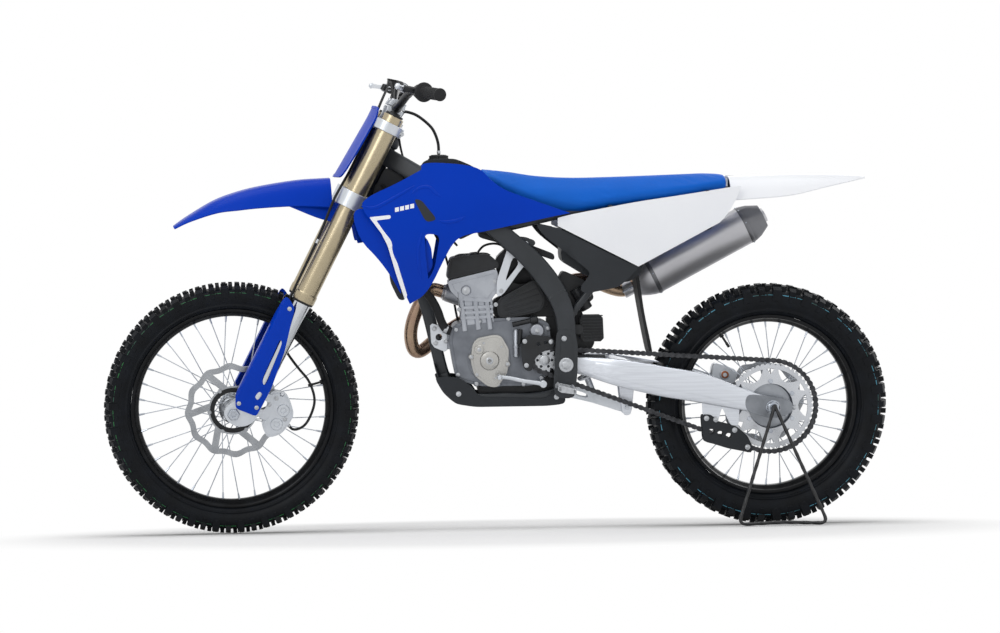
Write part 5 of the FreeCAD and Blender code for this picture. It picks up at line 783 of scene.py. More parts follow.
FOOT = rounded([(0, 76), (-2, 9), (18, -20), (52, -29), (84, -14), (86, 13), (62, 52), (52, 76)], 3)
feet = both(cut_plate([FOOT, ring(14, 32, AXLE[:2])], 77, 119))
feet += both(lathe([(52, 26.6), (92, 26.6), (95, 25.5)], LEG, UP, 48))
piece("fork_feet", feet, forged, "steering", bevel=3.0, crease=30)
pinch = screws([(74, 86, -21), (74, 110, -21)], (0.35, 0, -1), 4, 5, (1, -1))
piece("fork_foot_bolts", pinch, zinc, "steering")
ends = [lathe([(119.6, 17), (126, 17), (128.6, 15), (128.6, 7.5), (110, 7.2)], AXLE, LEFT, 6),
        lathe([(119.6, 15), (127, 15), (128.6, 13.5), (128.6, 7.5), (110, 7.2)], AXLE, -LEFT, 40)]
ends += both(lathe([(50.3, 16), (56, 17), (76, 17)], AXLE, LEFT, 40))
piece("front_axle_ends", ends, spoke_steel, "steering", hides="front_axle", bevel=0.6)
points, faces = turned([(-118, 7.2), (-118, 11), (118, 11), (118, 7.2)], 32)
piece("front_axle_tube", [(points + AXLE, faces)], spoke_steel, "steering")

# Fork guards: a thin blue shell that wraps the front and the outer side of each leg, with a long
# slot and a small one, bolted to the foot.
SIDE_RUN, TURN_RADIUS = 65.0, 12.0


def wrapped(flat, depth):
    """Lays a flat sheet round the leg: straight along the outer side up to the side run s, round a
    quarter circle, then straight inward across the front."""
    ahead, rise = flat[:, 0], flat[:, 1]
    angle = np.clip((ahead - SIDE_RUN) / TURN_RADIUS, 0, np.pi / 2)
    inward = np.maximum(ahead - SIDE_RUN - TURN_RADIUS * np.pi / 2, 0)
    x = np.minimum(ahead, SIDE_RUN) + (TURN_RADIUS - depth) * np.sin(angle)
    y = 125.6 - TURN_RADIUS + (TURN_RADIUS - depth) * np.cos(angle) - inward
    return np.stack([x, y, rise], -1)


GUARD = rounded([(2, 22), (62, 18), (78, 48), (112, 58), (120, 80), (120, 290), (110, 310), (90, 318), (74, 350),
                 (62, 348), (38, 332), (11, 214), (-1, 107)], 2, 5)
LONG_SLOT = rounded([(27, 232), (37, 240), (32, 118), (19, 104), (17, 122)], 2, 5)
SMALL_SLOT = rounded([(12, 84), (25, 88), (30, 68), (17, 62)], 2, 4)
guards = both(panel([GUARD, LONG_SLOT, SMALL_SLOT], wrapped, 2.6, 12))
piece("fork_guard_shells", guards, blue_plastic, "steering", hides="fork_guards", bevel=0.6)
bolts = screws([(12, 125.5, 44), (60, 125.5, 34), (50, 125.5, 324)], LEFT, 4, 4, (1, -1))
piece("fork_guard_bolts", bolts, zinc, "steering")

# Clamps: two milled clamps on the stem, each split behind the fork tubes and drawn together by
# bolts, with four blocks on top that hold the handlebar.
half_outline = [(30, 0), (31, 30), (40, 52), (58, 74), (63, 98), (58, 119), (44, 133), (24, 137), (4, 132),
                (-10, 118), (-17, 104), (-17, 92), (-12, 78), (-12, 60), (-18, 40), (-26, 20), (-27, 0)]
clamp_outline = flowing(half_outline + [(x, -y) for x, y in half_outline[-2:0:-1]], 3, closed=True)


def level_plate(loops, low, high):
    """A flat plate like a cut plate, but level: its outline is seen from above."""
    points, faces = cut_plate(loops, low, high)
    return points[:, (0, 2, 1)], faces


holes = [ring(29.1, 48, (24, 98)), ring(29.1, 48, (24, -98))]
recess = rounded([(-6, 26), (14, 30), (14, 52), (-4, 56)], 2)
windows = [ring(12, 48), recess, (recess * (1, -1))[::-1]]
upper = level_plate([clamp_outline] + holes + windows, 866, 893)
piece("upper_clamp", [upper], forged, "steering", hides="fork_clamps", bevel=1.6, crease=30)
piece("lower_clamp", [level_plate([clamp_outline] + holes, 638, 683)], forged, "steering", bevel=1.6, crease=30)
bolts = []
for rise in (880, 650, 671):
    for hand in (1, -1):
        out = LEFT * hand
        bolts += [lathe([(-4, 6.5), (0, 6.5), (0, 5.2), (7, 5.2), (7.5, 4.6)], (-15, hand * 110, rise), out, 24),
                  lathe([(0, 4.4), (3, 4.4)], (-15, hand * 92, rise), -out, 6)]
piece("clamp_bolts", bolts, zinc, "steering", bevel=0.5)
nut = [lathe([(893, 22), (897, 22), (898, 20)], (0, 0, 0), UP, 40),
       lathe([(897, 19), (907, 19), (908, 17.5), (908, 10), (880, 9.5)], (0, 0, 0), UP, 6)]
piece("stem_nut", nut, zinc, "steering", bevel=0.6)
saddle = rounded([(-1, 893.3), (-1, 893.3), (49, 893.3), (49, 893.3), (44, 905), (47, 936), (47, 936), (1, 936),
                  (1, 936), (4, 905)], 2)
cap = rounded([(1, 939), (1, 939), (47, 939), (47, 939), (45, 953), (34, 961), (14, 961), (3, 953)], 2)
blocks = [cut_plate([outline], low, high) for low, high in ((38, 62), (-62, -38)) for outline in (saddle, cap)]
piece("bar_mounts", blocks, forged, "steering", bevel=1.2)
bolts = [lathe([(0, 4.2), (4.5, 4.2), (5, 3.8)], (x, hand * side, 953), UP, 20)
         for hand in (1, -1) for x in (6.5, 41.5) for side in (44, 56)]
piece("bar_mount_bolts", bolts, zinc, "steering")

# Handlebar: a tapered aluminium bar with a black finish, thick in the middle. Each end carries a
# ribbed rubber grip, a lever on its perch, and on the right the brake's cylinder.
def bent(corners, reach, steps=8):
    """Straight runs joined by curves: round each inner corner c, between points a and b this far
    before and after it, the line is (1 - t)^2 a + 2 t (1 - t) c + t^2 b."""
    corners = np.asarray(corners, float)
    t = np.linspace(0, 1, steps + 1)[:, None]
    line = [corners[:1]]
    for before, corner, after in zip(corners, corners[1:], corners[2:]):
        a = corner + (before - corner) * min(0.48, reach / np.linalg.norm(before - corner))
        b = corner + (after - corner) * min(0.48, reach / np.linalg.norm(after - corner))
        line.append((1 - t) ** 2 * a + 2 * t * (1 - t) * corner + t ** 2 * b)
    return np.vstack(line + [corners[-1:]])


def oval(tall, wide, power=1.0, sides=24):
    """A section's points (tall c |c|^(p-1), wide s |s|^(p-1)); a power p below 1 squares its corners."""
    t = np.linspace(0, 2 * np.pi, sides, endpoint=False) + np.pi / sides
    c, s = np.cos(t), np.sin(t)
    return np.stack([tall * np.sign(c) * np.abs(c) ** power, wide * np.sign(s) * np.abs(s) ** power], -1)


def swept(line, section, scale=1.0, level=False, twist=0.0):
    """A section carried along a line, closed at its ends. Its second direction stays level across the
    bike, or follows the line without turning about it but for the twist in degrees a millimetre."""
    line = np.asarray(line, float)
    run = np.gradient(line, axis=0)
    run /= np.linalg.norm(run, axis=1)[:, None]
    side = LEFT if level or abs(run[0, 1]) < 0.9 else np.array([0, 0, 1.0])
    second = []
    for step in run:
        side = LEFT if level else side
        side = side - step * (side @ step)
        side = side / np.linalg.norm(side)
        second.append(side)
    second = np.array(second)
    first = np.cross(second, run)
    far = np.concatenate([[0], np.cumsum(np.linalg.norm(np.diff(line, axis=0), axis=1))]) * np.radians(twist)
    scale = np.broadcast_to(np.asarray(scale, float).reshape(len(line) if np.ndim(scale) else 1, -1), (len(line), 2))
    tall, wide = section[None, :, 0] * scale[:, :1], section[None, :, 1] * scale[:, 1:]
    turned_tall = tall * np.cos(far)[:, None] - wide * np.sin(far)[:, None]
    turned_wide = tall * np.sin(far)[:, None] + wide * np.cos(far)[:, None]
    points = line[:, None] + turned_tall[..., None] * first[:, None] + turned_wide[..., None] * second[:, None]
    return points.reshape(-1, 3), tube_faces(*points.shape[:2])


def between(start, end, count):
    """Evenly spaced points from start to end."""
    t = np.linspace(0, 1, count)[:, None]
    return np.asarray(start, float) * (1 - t) + np.asarray(end, float) * t


BAR_END, ELBOW = np.array([-28.6, 405, 1007.3]), np.array([24.1, 194.4, 993.0])
half_bar = bent([BAR_END, ELBOW, (24.1, 85, 937.7), (24.1, 0, 937.7)], 38, 10)
thick = 11 + 3 * np.clip((95 - half_bar[:, 1]) / 25, 0, 1)
bar_line = np.vstack([half_bar, half_bar[-2::-1] * (1, -1, 1)])
bar = swept(bar_line, oval(1, 1), np.concatenate([thick, thick[-2::-1]]))
piece("handlebar_tube", [bar], satin_black, "steering", hides="handlebar")
INWARD = (ELBOW - BAR_END) / np.linalg.norm(ELBOW - BAR_END)
DROP = np.array([0.965, 0, -0.261])
RIGHT_HAND = np.array([1, -1, 1])
ribs = [(-1.5, 8), (-1.5, 15), (0, 16.8), (4, 16.8)]
for start in 6 + 3.9 * np.arange(27):
    ribs += [(start, 14.6), (start + 0.8, 14.6), (start + 1.4, 15.9), (start + 3.1, 15.9)]
ribs += [(112.5, 16), (114, 19), (115, 25), (116.5, 26), (119, 26), (121, 24), (122, 14)]
piece("grip_sleeves", both(lathe(ribs, BAR_END, INWARD, 40)), black_rubber, "steering", hides="grips", crease=50)
perch = BAR_END + INWARD * 145
root = perch + DROP * 45
tip = BAR_END + INWARD * 19.5 + DROP * 105
controls = both(lathe([(127, 13), (127, 16), (129, 17), (161, 17), (163, 16), (163, 13)], BAR_END, INWARD, 40))
controls += both(swept(bent([perch + DROP * 12, perch + DROP * 30 - INWARD * 3, root], 12), oval(9, 15, 0.7)))
controls += both(lathe([(-9, 9), (-8, 10), (8, 10), (9, 9)], root, UP, 28))
controls.append(lathe([(124, 17), (126, 21), (146, 21), (148, 17)], BAR_END, INWARD, 12))
piece("lever_perches", controls, satin_black, "steering", hides="hand_controls", bevel=0.8)
blade = flowing([root - INWARD * 2, root * 0.8 + tip * 0.2 + DROP * 3, root * 0.5 + tip * 0.5 + DROP * 2,
                 root * 0.15 + tip * 0.85, tip], 8)
share = np.linspace(0, 1, len(blade))
wide = np.stack([4.2 - 0.6 * share, 8.5 - 2.7 * np.sin(np.pi * np.minimum(share * 1.1, 1))], -1)
levers = both(swept(blade, oval(1, 1, 0.8, 20), wide))
levers += both(lathe([(-6, 4), (-5, 6.2), (0, 7.4), (5, 6.2), (6, 4)], tip, UP, 24))
piece("lever_blades", levers, forged, "steering", crease=60)
small = both(lathe([(-11.5, 5), (-10.5, 6), (10.5, 6), (11.5, 5)], root, UP, 6))
small += screws([perch + INWARD * offset + DROP * 15 for offset in (8.4, -8.4)], DROP, 2.6, 4, (1, -1))
small += [lathe([(0, 5), (3, 5), (3.5, 4), (16, 4), (16.5, 2.6), (22, 2.6)], perch + INWARD * 16 + DROP * 31,
                INWARD, 20)]
piece("lever_fittings", small, zinc, "steering", bevel=0.4)
cylinder_middle = (perch + DROP * 25.6) * RIGHT_HAND
right_inward = INWARD * RIGHT_HAND
reservoir_up = np.cross(right_inward, DROP)
reservoir_up *= np.sign(reservoir_up[2])
low, edge, high = (cylinder_middle + reservoir_up * height for height in (8, 25, 29))
cylinder = [lathe([(-22.5, 11), (-20, 14), (18, 14), (20, 12), (22.5, 12)], cylinder_middle, right_inward, 32),
            swept(between(low, edge, 2), oval(15, 20, 0.35, 32), level=True)]
piece("brake_cylinder", cylinder, satin_black, "steering", bevel=1)
lid = swept(between(edge, high, 2), oval(16.5, 21.5, 0.35, 32), level=True)
piece("brake_cylinder_lid", [lid], satin_black, "steering", bevel=1)
housing = lathe([(0, 14), (1, 19), (26, 19), (28, 17)], (BAR_END + INWARD * 123) * RIGHT_HAND, right_inward, 32)
piece("throttle_housing", [housing], satin_black, "steering", bevel=0.8)

# Number plate: a plain blue shield, injection-moulded in polypropylene with a raised rim and left
# blank. It clips on in front of the clamps.
def shielded(flat, depth):
    """Lays the shield's flat sheet in front of the clamps: its middle stands 13 mm ahead of its
    edges, and its foot 13 mm ahead of its top."""
    side, rise = flat[:, 0], flat[:, 1]
    fold = np.clip((np.abs(side) - 4) / 86, 0, 1)
    tilt = np.interp(rise, [679, 880, 929], [13.0, 0.0, 0.0])
    return np.stack([66.3 + 13.4 * (1 - fold ** 1.4) + tilt - depth, side, rise], -1)


half_shield = [(0, 916), (71, 920), (100, 884), (109, 786), (82, 702), (0, 693)]
shield = rounded(half_shield + [(-side, rise) for side, rise in half_shield[-2:0:-1]], 3)
plate = panel([shield], shielded, 3, 16)
piece("number_plate_shell", [plate], blue_plastic, "steering", hides="number_plate", bevel=0.8)
points, faces = panel([shield, grown(shield, -7)], shielded, 3, 16)
piece("number_plate_rim", [(points + (1.5, 0, 0), faces)], blue_plastic, "steering", bevel=0.8)

# Front caliper: a cast two-part body behind the left leg, held by a bracket on the foot, with two
# pistons outside the disc, a pad pin and the hose's bolt.
BODY = rounded([(-4, 96), (-49, 108), (-78, 84), (-96, 60), (-88, 2), (-56, -27), (-20, 6), (-34, 40), (-26, 66)], 3)
BRACKET = rounded([(30, 72), (-20, 92), (-46, 70), (-50, 30), (-30, 12), (22, 26), (34, 48)], 2)
window = rounded([(8, 62), (-14, 68), (-16, 40), (6, 38)], 2)
parts = [cut_plate([BODY], 50.2, 73), cut_plate([grown(BODY, -5)], 72, 76.4), cut_plate([BODY], 32.5, 38)]
parts += [lathe([(70, 17), (77, 17), (79, 15.5), (79, 8), (77, 7)], (-62, 0, rise), LEFT, 40)
          for rise in (62, 20)]
piece("front_caliper_body", parts, forged, "steering", hides="front_caliper", bevel=2.4, crease=30)
piece("front_caliper_bracket", [cut_plate([BRACKET, window], 68, 76)], forged, "steering", bevel=1.2)
parts = screws([(-30, 76.4, 84), (-76, 76.4, 42), (-20, 76, 60), (14, 76, 44)], LEFT, 4.5, 5)
parts += [lathe([(0, 5.5), (5, 5.5), (6, 4.5)], (-40, 76, 98), (0.2, 0.7, 0.6), 6)]
piece("front_caliper_bolts", parts, zinc, "steering", bevel=0.4)

# Hoses: black rubber over braid. The vent hose runs from the tank cap into the stem, the brake hose
# from its cylinder down the left leg to the caliper, the cooling hose from radiator to engine.
def final_mesh(made):
    """A new mesh of what an object looks like with its curve or its modifiers worked out."""
    bpy.context.view_layer.update()
    return bpy.data.meshes.new_from_object(made.evaluated_get(bpy.context.evaluated_depsgraph_get()))


def hose(name, points, radius, group="chassis", hides=None, bend=None):
    """A smooth tube of black rubber: a cubic NURBS through the middles of the runs, steered by their
    thirds. The points are the group's, or world metres for a cable between the chassis and the
    steering when a bend is given. The bend's two points are not used."""
    points = np.asarray(points, float)
    guides = [points[0]]
    for start, end in zip(points, points[1:]):
        guides += [start * 2 / 3 + end / 3, start / 3 + end * 2 / 3]
    guides = np.array(guides + [points[-1]])
    guides = guides if bend else placed(guides, group)
    curve = bpy.data.curves.new(name, "CURVE")
    curve.dimensions, curve.use_fill_caps = "3D", True
    curve.bevel_depth, curve.bevel_resolution, curve.resolution_u = radius / 1000, 4, 5
    spline = curve.splines.new("NURBS")
    spline.points.add(len(guides) - 1)
    for point, place in zip(spline.points, guides.tolist()):
        point.co = (*place, 1.0)
    spline.order_u, spline.use_endpoint_u = 4, True
    holder = put(name + "_line", curve)
    mesh = final_mesh(holder)
    bpy.data.objects.remove(holder)
    mesh.name = name
    mesh.shade_smooth()
    made = put(name, mesh)
    if bend:
        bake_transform(made)
    else:
        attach(made, group)
    return dressed(made, black_rubber, hides)


HEAD_FOOT = np.array([689.8, 0, 323.2])
HEAD_AXIS = np.array([-0.45399, 0, 0.89101])
vent = [(164.8, 0, 1041), (164.8, 0, 1089.4), (199, 0, 1136.9), (252.5, 0, 1163.7),
        HEAD_FOOT + HEAD_AXIS * 933.2, HEAD_FOOT + HEAD_AXIS * 879.6]
hose("vent_tube", vent, 4, hides="vent_hose")
clip = lathe([(0, 4.4), (1, 5.4), (7, 5.4), (8, 4.4)], (164.8, 0, 1043), UP, 20)
piece("vent_tube_clip", [clip], zinc)
hose_start = cylinder_middle + right_inward * 22.8
brake = [hose_start, hose_start + right_inward * 45, (58, -90.2, 961.8), (58, -25, 879.6), (58, 30.4, 744.8),
         (69.7, 92, 675.1), (71, 99.1, 622.4), (60.7, 98.2, 544.7), (60.7, 98.2, 300), (42, 60.7, 237.5),
         (-40.2, 66.1, 183.1), (-111.6, 66.1, 160.7), (-147.3, 62.5, 80.4), (-121, 62.5, 16), (-90.5, 62.5, 31.5)]
hose("brake_tube", brake, 3.6, "steering", hides="brake_hose")
clips = [lathe([(-6, 3.7), (-6, 5.2), (6, 5.2), (6, 3.7)], place, toward, 20)
         for place, toward in (((60.7, 98.2, 520), UP), ((-93, 62.5, 30.5), (-1, 0, -0.45)))]
clips.append(lathe([(-5, 6.4), (-4, 7), (4, 7), (5, 6.4)], hose_start + right_inward * 4.2, right_inward, 6))
piece("brake_tube_ends", clips, zinc, "steering", bevel=0.4)

# Frame: a perimeter frame of extruded and cast aluminium painted satin dark grey. Two spars sweep
# from the head round the engine to the pivot, a down tube and two cradle rails pass under it.
# Paint over castings and extrusions: dark grey with a faint glint of metal.
frame_paint = surface("satin_grey_frame_paint", "dark_frame", "#24282C", "#2C3035", 0.42, 0.15, grain=0.9,
                      depth=0.05, patch=90)
SPAR = np.array([(318, 19, 1042), (200, 53, 971), (91, 86, 899), (0, 95, 825), (-95, 95, 736), (-163, 95, 629),
                 (-178, 95, 510), (-169, 95, 383)], float)
spar_line = flowing(SPAR, 7)
spar_share = np.linspace(0, 1, len(spar_line))
spar_tall = 25 + 4 * np.exp(-((spar_share - 0.62) / 0.12) ** 2) + 5 * np.exp(-((spar_share - 0.95) / 0.06) ** 2)
spars = both(swept(spar_line, oval(1, 1, 0.42, 28), np.stack([spar_tall, 0 * spar_tall + 13], -1), level=True))
down_line = flowing([(339, 0, 962), (282, 0, 828), (209, 0, 636), (169, 0, 467), (154, 0, 417)], 6)
down_tube = swept(down_line, oval(17, 17, 0.45, 28), level=True)
cradle_line = flowing([(160, 17, 436), (154, 22, 417), (137, 49, 394), (89, 49, 371), (0, 49, 369.5),
                       (-89, 49, 369), (-166, 49, 386)], 6)
rails = both(swept(cradle_line, oval(15, 12, 0.5, 24), level=True))
head = lathe([(684, 31), (686, 33), (712, 33), (716, 28.5), (836, 28.5), (840, 33), (863, 33), (865.5, 31)],
             HEAD_FOOT, HEAD_AXIS, 48)
crosses = [lathe([(-83, 13), (83, 13)], place, LEFT, 28) for place in ((-169, 0, 391), (-131, 0, 709), (89, 0, 877))]
piece("frame_spars", spars + [down_tube, head] + rails + crosses, frame_paint, hides="frame", crease=40)
gusset = rounded([(306, 1010), (306, 1010), (216, 958), (250, 900), (292, 872), (292, 872)], 2)
web = rounded([(286, 980), (250, 950), (262, 920), (286, 910)], 2)
foot_plate = rounded([(-148, 560), (-142, 480), (-138, 396), (-150, 372), (-196, 372), (-204, 440),
                      (-206, 520), (-196, 560)], 2)
castings = [cut_plate([gusset, web], -15, 15)] + both(cut_plate([foot_plate], 107, 110))
castings += both(cut_plate([grown(foot_plate, -14)], 109, 111.5))
engine_lug = [(-95, 790), (-60, 778), (-20, 786), (-24, 806), (-60, 812), (-92, 806)]
piece("frame_castings", castings + both(slab(engine_lug, 68, 84)), frame_paint, bevel=2.0)


def beads(line, section, scale, count=4, step=1.9):
    """A weld: flat rings a step apart along a line, each a little wider than the section."""
    start = np.asarray(line[0], float)
    step = (line[1] - start) / np.linalg.norm(line[1] - start) * step
    swell = np.array([1.0, 1.035, 1.0])[:, None] * scale
    return [swept([start + step * (index + share) for share in (0, 0.5, 1)], section, swell, level=True)
            for index in range(count)]


welds = []
for index, tall in ((10, 25.4), (33, 29.0), (45, 29.5)):
    for part in beads(spar_line[index:index + 2], oval(1, 1, 0.42, 28), (tall, 13.4)):
        welds += both(part)
for index in (3, len(down_line) - 4):
    welds += beads(down_line[index:index + 2], oval(1, 1, 0.45, 28), (17.4, 17.4))
piece("frame_welds", welds, frame_paint, crease=60)
pins = both(lathe([(0, 20), (3, 20), (4.5, 18.5), (4.5, 9), (2, 8)], (-173, 111, 463.5), LEFT, 40))
pins += both(lathe([(3, 13), (8.5, 13), (9, 12)], (-173, 111, 463.5), LEFT, 6))
pins += screws([(-176, 111.5, 400), (-168, 111.5, 536)], LEFT, 5, 6, (1, -1))
pins += screws([(-68, 84, 795), (-32, 84, 790)], LEFT, 5, 5, (1, -1))
piece("frame_bolts", pins, zinc, bevel=0.5)

# Subframe: square and round aluminium tube, cut, welded and painted like the frame. It is bolted on
# behind the spars and carries the seat, the panels and the silencer.
rail_line = bent([(-18, 70.7, 840), (-193, 70.7, 879), (-312, 70.7, 894), (-521, 70.7, 923),
                  (-621, 70.7, 936)], 40, 5)
tubes = both(swept(rail_line, oval(11, 11, 0.75, 20), level=True))
tubes += both(swept(between((-190, 70.7, 598), (-446, 70.7, 912), 6), oval(10, 10, 0.75, 20), level=True))
tubes += [lathe([(-72, 10), (72, 10)], place, LEFT, 24) for place in ((-621, 0, 936), (-300, 0, 893))]
tubes += [swept(between((-621, 0, 936), (-644, 0, 936), 3), oval(6, 30, 0.5), level=True),
          lathe([(0, 7), (40, 7), (42, 14), (43, 14)], (-644, 0, 932), UP, 24)]
for x, z in ((-297, 892), (-564, 929), (-297, 729)):
    tubes += both(lathe([(0, 8), (1, 6), (34, 6), (35, 7)], (x, 78, z), LEFT, 20))
hanger = rounded([(-573, 931), (-603, 935), (-600, 860), (-612, 828), (-585, 820), (-570, 860)], 2)
tubes += [cut_plate([hanger], -93, -88)]
piece("subframe_tubes", tubes, frame_paint, hides="subframe", bevel=0.8)
collars = [part for place in ((-300, 70.7, 893), (-430, 70.7, 892), (-196, 70.7, 606))
           for part in both(lathe([(-8, 11.6), (-6, 12.2), (6, 12.2), (8, 11.6)], place, LEFT, 28))]
piece("subframe_collars", collars, frame_paint)

# Radiators: brazed aluminium cores of flat tubes and fins between two tanks, one on each side of
# the down tube, with a black rubber hose from the left one's foot to the engine.
# Thin tube and fin, brazed: dull grey.
core_alloy = surface("brazed_radiator_aluminium", "cast_alloy", "#7C8086", "#6B6F75", 0.5, 0.7, grain=1.0,
                     depth=0.1, patch=20)
lean = np.array([-30, 242.0]) / 242


def leaning(x, z, wide, tall):
    """A leaning four-cornered outline from its low corner."""
    foot = np.array([x, z], float)
    return [foot, foot + (wide, 0), foot + (wide, 0) + lean * tall, foot + lean * tall]


tanks = []
for low, high in ((0, 22), (216, 242)):
    tanks += both(slab(np.array(leaning(236, 672, 39, high - low)) + lean * low, 44.6, 148.5, 1))
for side in np.linspace(50, 143, 12):
    tanks += both(cut_plate([leaning(244, 692, 24, 206)], side - 0.9, side + 0.9))
piece("radiator_tanks", tanks, core_alloy, hides="radiators", bevel=1.0)
fins = []
for foot in (np.array([240, 690.0]) + lean * (index * 5.0) for index in range(42)):
    fins += both(cut_plate([[foot, foot + (31, 0), foot + (31, 1.0), foot + (0, 1.0)]], 47, 146))
piece("radiator_fins", fins, core_alloy)
bosses = [((17.5, 9), (20, 6), (44, 6), (46, 9), 254, 769), ((17.5, 9), (20, 6), (44, 6), (46, 9), 264, 709),
          ((140, 8), (156, 6), (158, 9), 231, 858), ((140, 8), (162, 6), (164, 9), 249, 709)]
bosses = [part for *profile, x, z in bosses for part in both(lathe(profile, (x, 0, z), LEFT, 20))]
piece("radiator_lugs", bosses, frame_paint)
cool = [(237, 74.2, 689), (225, 74.2, 687.5), (175.2, 68.3, 629.1), (163, 45, 566), (139, 44.5, 556)]
hose("coolant_tube", cool, 12, hides="radiator_hoses")
bands = [lathe([(-5, 12.2), (-5, 13), (5, 13), (5, 12.2)], place, toward, 32) for place, toward in (
    ((222, 73.8, 683.5), (-0.75, -0.1, -0.66)), ((152, 44.5, 562), (0.9, 0, 0.42)))]
piece("coolant_tube_bands", bands, zinc)

# Engine: sand-cast aluminium cases split down the middle, a cylinder and head with short ribs, and
# covers held by flanged bolts. Two plates hold its nose to the down tube.
# Cast in sand: light grey with a coarse skin.
cast_alloy = surface("sand_cast_engine_alloy", "cast_alloy", "#ADB1B8", "#9DA1A9", 0.4, 0.75, grain=1.1,
                     depth=0.1, patch=45)
# The same casting painted darker and duller: painted shade, so the cases read as lying in shadow.
cast_painted_shade = surface("case_alloy_painted_darker_as_shade", "cast_alloy", "#7B7F86", "#6A6E75", 0.45, 0.75, grain=1.1,
                      depth=0.12, patch=40)
# Cut smooth: warmer and brighter than the casting round it.
machined = surface("machined_cover_alloy", "cast_alloy", "#B9B8B4", "#AFAEAB", 0.3, 0.85, grain=1.0,
                   depth=0.03, patch=80)
# A cast skin under black coating: coarse, with a weak shine.
cast_dark = surface("black_coated_magnesium", "dark_metal", "#17191C", "#1E2125", 0.45, 0.2, grain=1.1,
                    depth=0.12, patch=40)
CASE = rounded([(145, 534), (131, 576), (15, 590), (-74, 593), (-134, 576), (-140, 442), (-89, 402), (59, 402),
                (125, 421), (134, 464)], 2)
CASE_BOLTS = [(124, 560), (60, 582), (-20, 588), (-84, 586), (-128, 560), (-134, 500), (-110, 424), (-60, 408),
              (10, 408), (70, 410), (120, 436)]
parts = [cut_plate([outline], low, high) for outline, low, high in (
    (CASE, -11, 47), (CASE, -75, -14), (grown(CASE, -3), -14, -11), (grown(CASE, -9), 47, 51))]
parts += [lathe([(40, radius), (51, radius), (52, radius - 1)], (x, 0, z), LEFT, 64)
          for x, z, radius in ((34, 475, 60), (-117.3, 474.6, 34))]
parts += [lathe([(-75, 8), (50, 8), (51, 7)], (x, 0, z), LEFT, 20) for x, z in CASE_BOLTS]
# The cases are drawn in the darker copy of the casting, which is painted shade.
piece("engine_cases", parts, cast_painted_shade, hides="engine", bevel=2.5, crease=32)
HEAD = rounded([(147, 695), (10, 727), (4, 668), (22, 650), (28, 634), (112, 640), (140, 668)], 2, 6)
PORT, PORT_RUN = np.array([148, -38.6, 658.4]), np.array([0.961, 0, 0.277])
tower = [cut_plate([HEAD], -56, 56), cut_plate([grown(HEAD, -12)], -59, 59),
         slab([(114, 652), (24, 652), (18, 540), (102, 540)], -48, 48, 2, 5)]
tower += [slab([(112, low), (22, low + 3), (21, low - 5), (111, low - 8)], -54, 54, 1, 3) for low in (596, 610, 624)]
tower += [lathe([(0, 9), (84, 9), (92, 12), (108, 12)], (x, 47, z), (0.11, 0, 1), 20)
          for x, z in ((30, 560), (100, 556), (62, 560))]
tower += [slab([(139, 549), (160, 549), (157, 504), (137, 504)], -17, 17, 1),
          lathe([(-45, 27), (-6, 25), (0, 24)], PORT - (0, 0, 0.4), PORT_RUN, 40),
          lathe([(30, 14), (61, 14), (63, 12)], (96, 0, 668), LEFT, 32)]
piece("engine_cylinder", tower, cast_alloy, bevel=1.2, crease=32)
VALVE = rounded([(148, 698), (4, 730), (8, 746), (34, 768), (96, 765), (138, 757), (145, 724)], 2, 5)
parts = [cut_plate([VALVE], -58, 58), cut_plate([grown(VALVE, -7)], -60, 60),
         slab([(128, 752), (120, 766), (36, 770), (22, 762)], -24, 24, 1)]
parts += [lathe([(-4, 12), (6, 12), (8, 10)], (70, side, 762), (0.1, 0, 1), 28) for side in (-34, 34)]
piece("valve_cover_shell", parts, cast_dark, hides="valve_cover", bevel=2.4, crease=32)
NOSE = rounded([(148, 561), (196, 580), (192, 513), (148, 494)], 1)
plates = both(cut_plate([NOSE, ring(9, 20, (171, 538))], 17.3, 22.3))
piece("engine_mount_plates", plates, forged, hides="engine_mounts", bevel=0.8)
bolts = screws([(152, 22.3, 527), (184, 22.3, 562), (180, 22.3, 522)], LEFT, 5, 6, (1, -1))
bolts += screws(at_side(CASE_BOLTS, 51), LEFT, 3.6, 4.5)
bolts += screws([(96, 63, 668)], LEFT, 7, 5)
bolts += screws([(16.25, 59, 691.49), (116.06, 58, 616.19), (14.77, 58, 628.22)], LEFT, 4, 5)
piece("engine_bolts", bolts, zinc)


def spots(middle, side, radius, step, start=0):
    """Places round a cover's middle at one radius, a step of degrees apart."""
    return at_side(ring(radius, 360 // step, middle, start), side)


IGNITION = rounded([(80, 521), (67, 537), (20, 546), (1, 542), (-20, 505), (-15, 440), (14, 400), (40, 404),
                    (76, 434), (86, 474)], 2, 5)
cover = [cut_plate([IGNITION], 51.3, 65), cut_plate([grown(IGNITION, -7)], 64, 69),
         lathe([(60, 27), (69, 27), (72.5, 24), (74.6, 17), (75, 12)], (34, 0, 475), LEFT, 64)]
cover += [cut_plate([[(x, z), (x + 5, z - 1), (low_x + 5, low_z - 1), (low_x, low_z)]], 66, 71.5)
          for x, z, low_x, low_z in ((14, 528, -10, 450), (2, 534, -16, 476))]
cover.append(lathe([(60, 13), (72, 13), (73.5, 11)], (62, 0, 506), LEFT, 32))
cover += [lathe([(51.3, 7.5), (66, 7.5), (67, 6.5)], place, LEFT, 20) for place in spots((34, 475), 0, 51, 60, 12)]
piece("ignition_cover_shell", cover, machined, hides="ignition_cover", bevel=1.8, crease=32)
parts = screws(spots((34, 475), 67, 51, 60, 12), LEFT, 3.6, 4.5)
parts += [lathe([(74, 10), (76.5, 10), (77, 9), (77, 5), (75, 4.6)], (34, 0, 475), LEFT, 32),
          lathe([(73, 6), (76, 6), (76.4, 5.4)], (62, 0, 506), LEFT, 6)]
piece("ignition_cover_bolts", parts, zinc)
